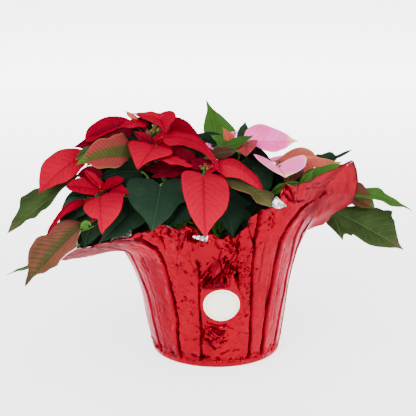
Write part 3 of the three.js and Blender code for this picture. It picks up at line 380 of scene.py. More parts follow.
def foil_material():
    m = Mat("red_foil")
    cav = m.attr("cavity").outputs["Fac"]
    fold = m.attr("crumple").outputs["Fac"]
    co = m.coords()
    big = m.noise(co, 22.0, 3.0, 0.5)
    mid_ = m.noise(co, 130.0, 4.0, 0.62, 0.6)
    fine = m.noise(co, 900.0, 2.0, 0.5)
    col = m.mix(m.range(big, 0.3, 0.7), (0.1996, 0.001, 0.0084, 1.0), (0.2514, 0, 0.0091, 1.0))
    col = m.mix(m.range(mid_, 0.35, 0.7, 0.0, 0.25), col, (0.0932, 0.0026, 0.0064, 1.0))
    # painted shade: creases, valleys and the other marked places are darkened to near-black maroon, standing in for
    # shade and dark reflections
    col = m.mix(m.range(cav, 0.05, 0.90, 0.0, 0.9, smooth=False), col, (0.0173, 0.001, 0.0024, 1.0))
    satin = m.attr("satin").outputs["Fac"]
    # painted shade: where satin is above 1.4, on the left flap, the colour is darkened
    col = m.mix(m.range(satin, 1.4, 1.9, 0.0, 0.8, smooth=False), col, (0.1213, 0.0013, 0.0056, 1.0))
    ro = m.math("ADD", m.range(mid_, 0.3, 0.7, 0.20, 0.30), m.math("ADD", m.math("MULTIPLY", cav, 0.1), m.math("MULTIPLY", m.math("MINIMUM", satin, 1.9), 0.22)))
    metal = m.math("SUBTRACT", m.range(satin, 0.0, 1.0, 1.0, 0.85, smooth=False), m.range(satin, 1.0, 2.0, 0.0, 0.65, smooth=False))
    # small flat facets of crumpled foil: each cell of the surface leans its own way
    bent = m.node("ShaderNodeTexNoise", {"Vector": co, "Scale": 60.0, "Detail": 2.0}).outputs["Color"]
    bent = m.node("ShaderNodeVectorMath", {0: bent, 1: (0.012, 0.012, 0.012)}, operation="MULTIPLY").outputs[0]
    at = m.node("ShaderNodeVectorMath", {0: co, 1: bent}, operation="ADD").outputs[0]
    nrm = m.node("ShaderNodeNewGeometry").outputs["Normal"]
    for scale, lean in ((150.0, 0.62), (360.0, 0.42), (800.0, 0.22)):
        cell = m.node("ShaderNodeTexVoronoi", {"Vector": at, "Scale": scale}, feature="F1").outputs["Color"]
        cell = m.node("ShaderNodeVectorMath", {0: cell, 1: (0.5, 0.5, 0.5)}, operation="SUBTRACT").outputs[0]
        cell = m.node("ShaderNodeVectorMath", {0: cell, "Scale": m.math("MULTIPLY", fold, lean)}, operation="SCALE").outputs[0]
        nrm = m.node("ShaderNodeVectorMath", {0: nrm, 1: cell}, operation="ADD").outputs[0]
    nrm = m.node("ShaderNodeVectorMath", {0: nrm}, operation="NORMALIZE").outputs[0]
    h = m.math("ADD", m.math("MULTIPLY", mid_, 0.8), m.math("MULTIPLY", fine, 0.12))
    h = m.math("MULTIPLY", h, m.range(m.xyz(co)[0], -0.072, -0.046, 0.3, 1.0))
    return m.finish(Base_Color=col, Metallic=metal, Roughness=ro, Normal=m.bump(h, 0.35, 0.0008, nrm), Specular_IOR_Level=0.5, Specular_Tint=(0.95, 0.62, 0.68, 1.0))


def silver_material(name, dull_and_shade, dark):
    m = Mat(name)
    co = m.coords()
    mid_ = m.noise(co, 150.0, 4.0, 0.62, 0.5)
    col = m.mix(m.range(mid_, 0.3, 0.7), dull_and_shade, (0.95, 0.95, 0.95, 1.0))
    if dark is not None:
        cell = m.xyz(m.node("ShaderNodeTexVoronoi", {"Vector": co, "Scale": 420.0}, feature="F1").outputs["Color"])[0]
        # painted dark reflections in the crinkles: dark cells
        col = m.mix(m.range(cell, 0.25, 0.6, 0.75, 0.0), col, dark)
    return m.finish(Base_Color=col, Metallic=0.85, Roughness=m.range(mid_, 0.3, 0.7, 0.24, 0.38), Normal=m.bump(mid_, 0.45, 0.0009))


def label_material():
    m = Mat("paper_label")
    co = m.coords()
    fine = m.noise(co, 1400.0, 3.0, 0.6)
    soft = m.noise(co, 70.0, 2.0, 0.5)
    ring = m.attr("ring").outputs["Fac"]
    col = m.mix(m.range(soft, 0.3, 0.7), (0.95, 0.95, 0.5632, 1.0), (0.95, 0.95, 0.95, 1.0))
    col = m.mix(m.math("MULTIPLY", ring, 0.55), col, (0.7607, 0.5142, 0.056, 1.0))
    return m.finish(Base_Color=col, Roughness=0.55, Normal=m.bump(fine, 0.12, 0.0002), Specular_IOR_Level=0.4)


MATS["foil"] = foil_material()
MATS["silver"] = silver_material("silver_foil_lining", (0.4203, 0.413, 0.4656, 1.0), None)
# painted shade and reflection: the folded-over corners get the silver with a much darker colour and dark cells
MATS["silver_fold"] = silver_material("silver_foil_fold", (0.1375, 0.1257, 0.1316, 1.0), (0.0953, 0.0812, 0.0848, 1.0))
MATS["label"] = label_material()


# ------------------------------------------------------------------ leaves and bracts
# Outline rows from base to tip: [edge's share of the length, half width share, its place on the midrib].
OUTLINE = {
    "bract": [[0, 0.05, 0], [-0.02, 0.34, 0.01], [0.02, 0.62, 0.03], [0.1, 0.85, 0.07], [0.22, 0.98, 0.13], [0.35, 1, 0.22], [0.48, 0.93, 0.33], [0.61, 0.78, 0.45], [0.73, 0.56, 0.58], [0.84, 0.32, 0.71], [0.92, 0.14, 0.84], [0.97, 0.05, 0.93], [1, 0.01, 1]],
    "heart": [[0, 0.05, 0], [-0.06, 0.26, 0.005], [-0.09, 0.5, 0.015], [-0.06, 0.74, 0.03], [0.03, 0.92, 0.06], [0.15, 1, 0.11], [0.29, 0.98, 0.18], [0.44, 0.86, 0.29], [0.59, 0.67, 0.42], [0.73, 0.44, 0.56], [0.85, 0.22, 0.71], [0.94, 0.07, 0.87], [1, 0.01, 1]],
    "leaf": [[0, 0.05, 0], [-0.03, 0.33, 0.01], [-0.02, 0.6, 0.02], [0.06, 0.84, 0.05], [0.17, 0.99, 0.11], [0.29, 1, 0.19], [0.41, 0.9, 0.29], [0.53, 0.8, 0.4], [0.65, 0.64, 0.52], [0.77, 0.42, 0.65], [0.87, 0.2, 0.78], [0.94, 0.07, 0.89], [1, 0.01, 1]],
    "lobed": [[0, 0.05, 0], [-0.02, 0.3, 0.01], [0.02, 0.58, 0.03], [0.1, 0.8, 0.07], [0.22, 0.9, 0.13], [0.33, 0.86, 0.21], [0.43, 0.96, 0.31], [0.54, 1, 0.42], [0.65, 0.72, 0.53], [0.77, 0.44, 0.65], [0.87, 0.2, 0.78], [0.94, 0.07, 0.89], [1, 0.01, 1]],
    "lance": [[0, 0.08, 0], [0.02, 0.25, 0.01], [0.07, 0.5, 0.03], [0.16, 0.74, 0.08], [0.27, 0.92, 0.15], [0.39, 1, 0.24], [0.51, 0.96, 0.35], [0.63, 0.8, 0.47], [0.75, 0.57, 0.6], [0.85, 0.33, 0.73], [0.93, 0.14, 0.85], [0.97, 0.05, 0.93], [1, 0.01, 1]],
}
WIDEST = 0.3  # share of the midrib at which a blade's half widths are given

# r.. belong to the red plant and p.. to the pink one; r0 and p0 are the woody bases in the soil.
SHOOTS = {
    "r0": ([[-26, -6, 84], [-28, -6, 112], [-29, -6, 128]], 4.2, 3.8),
    "r1": ([[-29, -6, 126], [-38, -4, 150], [-54.1, 0, 176.6], [-60.1, 0, 202.6]], 3.4, 2.4),
    "r2": ([[-29, -6, 126], [-55, -20, 143], [-84, -38, 152], [-108.8, -48, 161.6]], 3.2, 2.2),
    "r3": ([[-29, -6, 126], [-22, -22, 148], [-14, -40, 166], [-10.7, -52, 182.1]], 3.2, 2.2),
    "r6": ([[-29, -6, 126], [-32, 16, 148], [-38, 42, 168], [-42, 62, 188]], 3.2, 2.2),
    "p0": ([[32, 8, 84], [33, 8, 110], [33, 9, 124]], 4.0, 3.6),
    "p4": ([[33, 9, 122], [28, 14, 148], [20, 18, 172], [16.2, 20, 196]], 3.2, 2.2),
    "p5": ([[33, 9, 122], [44, 14, 140], [55, 18, 156], [63.4, 26, 171]], 3.2, 2.2),
    "p7": ([[33, 9, 122], [40, 30, 142], [52, 54, 156], [64, 74, 160]], 3.2, 2.2),
}
NODE_R = dict(r1=4.6, r2=4.2, r3=4.2, r6=4.2, p4=4.2, p5=4.2, p7=4.2)
TIP = {k: np.array(v[0][-1], float) for k, v in SHOOTS.items()}

# name, colour, outline, midrib points, half width vectors to the left and right, shoot and the share of
# it where the petiole starts, bulge, whether a CAD node of that name stands behind it
LEAVES = [
    ["red_bract_01", "red", "bract", [[-77.7, 8.9, 218.5], [-103.1, 4.9, 214.4], [-131, -3.1, 198.6]], [-10.4, -17.6, -10.1], [-14.4, 30.4, 3.7], "r1", 0.97, 0.12, True],
    ["red_bract_02", "red", "heart", [[-56.7, 10.6, 225], [-49.2, -7.4, 228.9], [-46.6, -29.4, 218.5]], [12.2, -2.5, 1.9], [-23.3, -8.5, 2], "r1", 0.99, 0.12, True],
    ["red_bract_03", "red", "bract", [[-50.9, 8, 215.8], [-31, 14, 212.8], [-12.8, 12, 201.4]], [9.4, 25.5, 5.4], [10.1, -16.5, -9.6], "r1", 0.98, 0.12, True],
    ["red_bract_04", "red", "bract", [[-51.1, -16.8, 212.6], [-30.2, -22.8, 214.6], [-11.5, -30.8, 206.6], [2.4, -42.8, 187.3]], [5.8, 25.8, -0.9], [0.9, -14.2, -7.9], "r1", 0.94, 0.12, True],
    ["red_bract_05", "red", "heart", [[-57.6, -14, 202.5], [-62.4, -32, 199.4], [-71.9, -46, 187.3]], [17.7, 1.7, -0], [-20.3, 1.7, 2.8], "r1", 0.93, 0.12, True],
    ["red_bract_06", "red", "bract", [[-68, 8, 221.6], [-77.8, -2, 223.2], [-91, -14, 219.6]], [-4.2, -17.1, -3.3], [-3, 8.9, 0.8], "r1", 0.9, 0.12, True],
    ["red_bract_07", "red", "bract", [[-52.9, -19.9, 195.2], [-36.5, -37.9, 193.1], [-18.9, -47.9, 188.7]], [7.4, 8.6, -0.7], [9.1, -21.4, -4], "r1", 0.88, 0.12, True],
    ["red_bract_08", "reddark", "bract", [[-46.1, 4, 197.2], [-30.6, -10, 196], [-18.3, -20, 182.8]], [13.6, 10.5, -4.1], [-0.9, -21.5, -6.4], "r1", 0.84, 0.12, True],
    ["red_bract_09", "reddark", "bract", [[-36.2, -14, 183.4], [-46.8, -34, 181], [-61, -46, 179.9]], [-3.1, -26.7, -5.5], [-6.8, 1.3, 1.6], "r1", 0.74, 0.12, False],
    ["red_bract_10", "red", "bract", [[-121.7, -4, 191], [-142.5, -22, 183.2], [-163.9, -34, 163]], [6.8, -19.9, -10.8], [-20.4, 8.1, 6.2], "r1", 0.62, 0.12, True],
    ["red_bract_11", "red", "bract", [[-109.9, -54, 167.7], [-121.3, -64, 174.6], [-134.4, -74, 176]], [-3, -22.1, -0], [-3.6, 9.9, 7.4], "r2", 0.97, 0.12, True],
    ["red_bract_12", "red", "lance", [[-106.6, -50, 168.6], [-111.8, -50, 178], [-120.2, -46, 187.3]], [-6.8, -5.6, 6.1], [2, 6.4, 4.4], "r2", 0.98, 0.12, True],
    ["red_bract_13", "red", "bract", [[-102.6, -54, 167.7], [-94.1, -56, 175.6], [-81.1, -58, 182.5]], [-0.6, 11.4, 8], [8.6, -14.6, -0.1], "r2", 0.99, 0.12, True],
    ["red_bract_14", "red", "bract", [[-99.8, -56, 163.5], [-89.8, -66, 169.6], [-77.7, -72, 171.9]], [5, 6, 8.3], [5.8, -18, -1.7], "r2", 0.9, 0.12, True],
    ["red_bract_15", "red", "heart", [[-104.3, -74.6, 167.1], [-101.8, -94.6, 159.2], [-100.8, -100.6, 138.8]], [20.3, -3.3, 1.2], [-14.9, 0.7, -3.5], "r2", 0.94, 0.12, True],
    ["red_bract_16", "red", "bract", [[-114.7, -61, 161.9], [-132.8, -77, 160.2], [-151.6, -83, 134.1]], [2.9, -18, -5.1], [-13, 10, -6.6], "r2", 0.87, 0.12, True],
    ["red_bract_17", "reddark", "bract", [[-108.4, -40, 170.1], [-118.5, -30, 177.3], [-131, -26, 175.5]], [-9, -5.8, -2.9], [-5.4, 16.2, 7.5], "r2", 0.9, 0.12, False],
    ["red_bract_18", "red", "heart", [[-11.6, -66, 185.2], [-11.5, -90, 165.3], [-9.8, -97, 137.1]], [22.3, -2.7, -0.5], [-18.3, -2.7, 3.1], "r3", 0.95, 0.12, True],
    ["red_bract_19", "red", "bract", [[-4.6, -61.8, 193.5], [18.6, -71.8, 194.6], [40.5, -69.8, 173]], [5.2, 17.7, 2.9], [2.7, -18.3, -9.7], "r3", 0.97, 0.12, True],
    ["red_bract_20", "red", "lance", [[-9.8, -56, 186.7], [-5.3, -58, 189.9], [1, -58, 195.4]], [-0.5, 5.7, 2.5], [3.9, -6.3, -0.5], "r3", 0.99, 0.12, False],
    ["red_bract_21", "reddark", "bract", [[-11.6, -48, 188.7], [-16.2, -40, 192.6], [-23.7, -34, 195.1]], [-8.6, -4.9, -2.5], [3.2, 13.1, 4.1], "r3", 0.98, 0.12, False],
    ["mixed_leaf_01", "mixed", "leaf", [[-77.4, -14, 196.8], [-100.4, -30, 198.1], [-128.5, -36, 192.7]], [-5, -19.1, -11.5], [-0.9, 16.9, 16.4], "r1", 0.7, 0.12, True],
    ["mixed_leaf_02", "mixed", "lobed", [[-115.2, -78, 144.8], [-138.8, -94, 128], [-172.9, -84, 87.7]], [11.2, -11.2, -9.8], [-23.6, 14.8, 3.1], "r2", 0.7, 0.12, True],
    ["mixed_leaf_03", "mixed", "lance", [[9.2, -58, 182.5], [28.6, -72, 176.5], [48.9, -80, 161]], [14.1, 7.4, -0.6], [4.5, -12.6, -8.8], "r3", 0.8, 0.12, True],
    ["green_leaf_01", "green", "lobed", [[-133, -2, 170.2], [-162.6, -20, 150], [-197.2, -26, 121.9]], [2, -19, -8.5], [-22.4, 15, -1.1], "r2", 0.6, 0.12, True],
    ["green_leaf_02", "green", "leaf", [[-73, 6, 196.8], [-82.2, 4, 206.8], [-95.3, 4, 218.4]], [-8.1, -10.4, 3.1], [3.8, 11.6, 4.8], "r1", 0.8, 0.12, False],
    ["green_leaf_03", "green", "leaf", [[-118.6, -42.1, 159.2], [-128.2, -56.1, 155.1], [-144.3, -62.1, 137.9]], [5, -15.2, -8.8], [-15.7, 8.8, -0.7], "r2", 0.66, 0.12, True],
    ["green_leaf_04", "green", "leaf", [[-106, -42.5, 151.5], [-113.4, -62.5, 139.8], [-120.2, -70.5, 118.8]], [13.1, -9.2, -9.4], [-17.7, -5.2, -4.9], "r2", 0.5, 0.12, True],
    ["green_leaf_05", "green", "leaf", [[-68.3, -52, 156.9], [-86.8, -76, 145.2], [-105.7, -84, 127.5]], [9.5, -19.6, -9.3], [-20.4, 0.4, 2.2], "r2", 0.3, 0.12, True],
    ["green_leaf_06", "green", "heart", [[-50.7, -54, 172.3], [-52.4, -80, 159.1], [-57.7, -94, 141.8]], [22.4, 2.5, -1.3], [-28.5, -1.5, 3.3], "r3", 0.45, 0.12, True],
    ["green_leaf_07", "green", "leaf", [[-24.4, -56, 162.5], [-35, -70, 153], [-49.2, -78, 139.3]], [4.7, -18.7, -11.6], [-11.1, 7.3, 4], "r3", 0.3, 0.12, False],
    ["green_leaf_08", "green", "leaf", [[1.2, -47.2, 169.7], [9.9, -73.2, 153.7], [14.2, -85.2, 131.2]], [24.6, -3, -12.5], [-12.3, -11, -5], "r3", 0.6, 0.12, True],
    ["green_leaf_09", "greenlight", "leaf", [[5.7, 34, 198.3], [-2.1, 46, 215.1], [-9.6, 54, 235.3]], [-12.8, 0.2, 5.6], [15.8, 4.2, 4.9], "p4", 0.8, 0.12, True],
    ["green_leaf_10", "green", "leaf", [[7.4, 16, 198.8], [-5.1, 22, 203.5], [-19.6, 24, 203.2]], [-5.4, -12, -4.8], [-6.3, 14, 7.1], "p4", 0.7, 0.12, False],
    ["green_leaf_11", "greenlight", "lance", [[11.2, 10, 197], [2.5, 4, 203.9], [-5.2, 0, 210.5]], [-4, -10.5, -1.1], [-1, 3.5, 6.9], "p4", 0.86, 0.12, False],
    ["pink_bract_01", "salmon", "lance", [[13.1, 12, 200.5], [10.2, 12, 206.3], [6.3, 10, 215.4]], [-3.6, -2.2, 0.8], [6.1, -0.2, 0.4], "p4", 0.99, 0.12, False],
    ["pink_bract_02", "pink", "bract", [[12.2, 23.7, 192.4], [1.6, 13.7, 197.2], [-12.6, 7.7, 200.3]], [-9.4, -15.5, -0.8], [-9.4, 6.5, 5.6], "p4", 0.95, 0.12, True],
    ["green_leaf_12", "greenlight", "lance", [[12.1, 3.9, 197.2], [22.3, -2.1, 204.1], [34.5, -2.1, 209.9]], [1.9, 8.2, 4.7], [3.4, -9.8, -2.4], "p4", 0.8, 0.12, True],
    ["mixed_leaf_04", "brown", "bract", [[20.2, -17.7, 198.5], [6.7, -31.7, 200.3], [-8.2, -39.7, 200]], [-8.4, -19.7, -4.2], [-4.3, 6.3, 4], "p4", 0.74, 0.12, True],
    ["pink_bract_03", "salmon", "bract", [[25.4, 5, 200.9], [27.9, -7, 199.3], [28.7, -13, 191.9]], [10.7, 0.6, 0.2], [-8.4, -5.4, -2.5], "p4", 0.99, 0.12, True],
    ["pink_bract_04", "pink", "bract", [[29.6, 16, 201.7], [53.6, 16, 202.7], [78.2, 10, 202.8]], [2.2, 15.3, 14.1], [4.8, -14.7, -8.7], "p4", 0.98, 0.12, True],
    ["green_leaf_13", "green", "lance", [[23.2, 28, 198.5], [25.2, 34, 207.3], [28.7, 38, 217]], [-3.9, 2.1, 2.6], [9.8, 2.1, 3.6], "p4", 0.9, 0.12, False],
    ["pink_bract_05", "pink", "heart", [[57.8, 16, 182.1], [59.3, -6, 182.7], [64.7, -26, 174.5]], [24.7, 3.3, 5.5], [-14.9, -4.7, 6.1], "p5", 0.98, 0.12, True],
    ["pink_bract_06", "salmon", "bract", [[68.2, 26, 177], [87.5, 36, 182], [108.2, 34, 172.3]], [4.8, 20.8, 7.9], [8, -17.2, -13.4], "p5", 0.97, 0.12, True],
    ["mixed_leaf_05", "brown", "leaf", [[73.2, 14, 178.5], [70, -4, 173.5], [65.9, -12, 162.7]], [12.2, -0.2, -4.1], [-14.3, -10.2, -2.9], "p5", 0.8, 0.12, True],
    ["green_leaf_14", "green", "lobed", [[93.1, 42, 173.7], [113.5, 48, 176.5], [134.6, 44, 185.4]], [5, 13.1, 5.5], [4.5, -12.9, -2.4], "p5", 0.7, 0.12, True],
    ["green_leaf_15", "green", "leaf", [[27.4, 6, 184.1], [38.5, -8, 173.4], [48.5, -20, 155.8]], [24.4, 7.3, -6.2], [-8, -18.7, -8.2], "p4", 0.5, 0.12, True],
    ["green_leaf_16", "green", "lobed", [[26.0, 22.0, 181.8], [36.7, 20.0, 180.7], [48.2, 18.0, 180.7]], [2.2, 5.3, 8.1], [1.8, -10.7, -7.6], "p4", 0.45, 0.12, False],
    ["green_leaf_17", "greenlight", "leaf", [[80.6, 6, 159.5], [101.1, 2, 171.3], [130.3, 8, 181.7]], [3.5, 7.9, 10.3], [3.8, -12.1, -2.9], "p5", 0.55, 0.12, True],
    ["green_leaf_18", "greenlight", "lance", [[120.2, 30, 150], [155.8, 30, 148], [191.9, 18, 131.7]], [1.8, 8.6, 2.5], [1, -13.4, -5.5], "p7", 0.6, 0.12, True],
    ["green_leaf_19", "green", "lobed", [[111.8, 36.7, 128.9], [143.4, 18.7, 119.3], [181.6, 2.7, 97.5]], [6.9, 16.7, 8.5], [-5.3, -23.3, -11.4], "p5", 0.35, 0.12, True],
    ["green_leaf_20", "greenlight", "leaf", [[113.6, 56, 130.5], [119.1, 48, 118.9], [126.8, 40, 97.1]], [15, -3.4, -3.3], [-7.6, 0.6, -7.4], "p7", 0.3, 0.12, True],
    ["mixed_leaf_06", "brown", "bract", [[126.3, 30, 143.9], [139.7, 26, 140.8], [156.4, 24, 134.2]], [7.5, 9, 2.4], [3.2, -11, -6.9], "p7", 0.5, 0.12, False],
    ["red_bract_22", "red", "bract", [[-42.6, 78, 195], [-43.3, 100, 197], [-44.3, 128, 174]], [-20.9, -1.9, -5.1], [21, -0.4, -5.1], "r6", 0.98, 0.15, True],
    ["red_bract_23", "red", "heart", [[-56.7, 70.5, 188], [-76.6, 82, 189], [-100.9, 96, 160]], [-9.4, -20, -5.2], [12.6, 18.2, -5.2], "r6", 0.93, 0.15, True],
    ["red_bract_24", "red", "bract", [[-28.7, 70.9, 188], [-10.5, 83.2, 189], [9.4, 96.7, 164]], [-12.2, 15.9, -4.8], [10.1, -17.3, -4.8], "r6", 0.9, 0.15, True],
    ["red_bract_25", "red", "bract", [[-58.3, 54.4, 176], [-76.4, 45.9, 176], [-98.2, 35.8, 152]], [9.4, -16.6, -4.5], [-6.6, 17.9, -4.5], "r6", 0.8, 0.15, True],
    ["pink_bract_07", "pink", "bract", [[70, 88.8, 166], [78.2, 109.2, 167], [88, 133.3, 140]], [-19.1, 6.1, -4.8], [18, -8.9, -4.8], "p7", 0.97, 0.15, True],
    ["pink_bract_08", "pink", "heart", [[53.1, 87, 159], [39.6, 103.1, 160], [22.9, 123, 134]], [-14.3, -14.1, -4.7], [16.3, 11.6, -4.7], "p7", 0.92, 0.15, True],
    ["pink_bract_09", "pink", "bract", [[79.8, 76.2, 156], [97.7, 78.7, 155], [119.5, 81.8, 128]], [-4.6, 17.5, -4], [0.4, -18.1, -4], "p7", 0.87, 0.15, True],
    ["green_leaf_21", "green", "lobed", [[-51.3, 73.2, 154], [-69.1, 106.7, 152], [-85.1, 136.8, 120]], [-23.3, -13.7, -6.6], [24.4, 11.6, -6.6], "r6", 0.55, 0.15, True],
    ["green_leaf_22", "green", "leaf", [[51.2, 84, 146], [50, 118, 142], [48.9, 151.9, 110]], [-25.9, -2.7, -6.2], [26, -0.9, -6.2], "p7", 0.5, 0.15, True],
    ["green_leaf_23", "green", "lobed", [[-70.1, 50.9, 142], [-107.7, 64.6, 138], [-141.5, 76.9, 108]], [-7.7, -24.9, -6.4], [10.1, 24, -6.4], "r6", 0.35, 0.15, True],
]
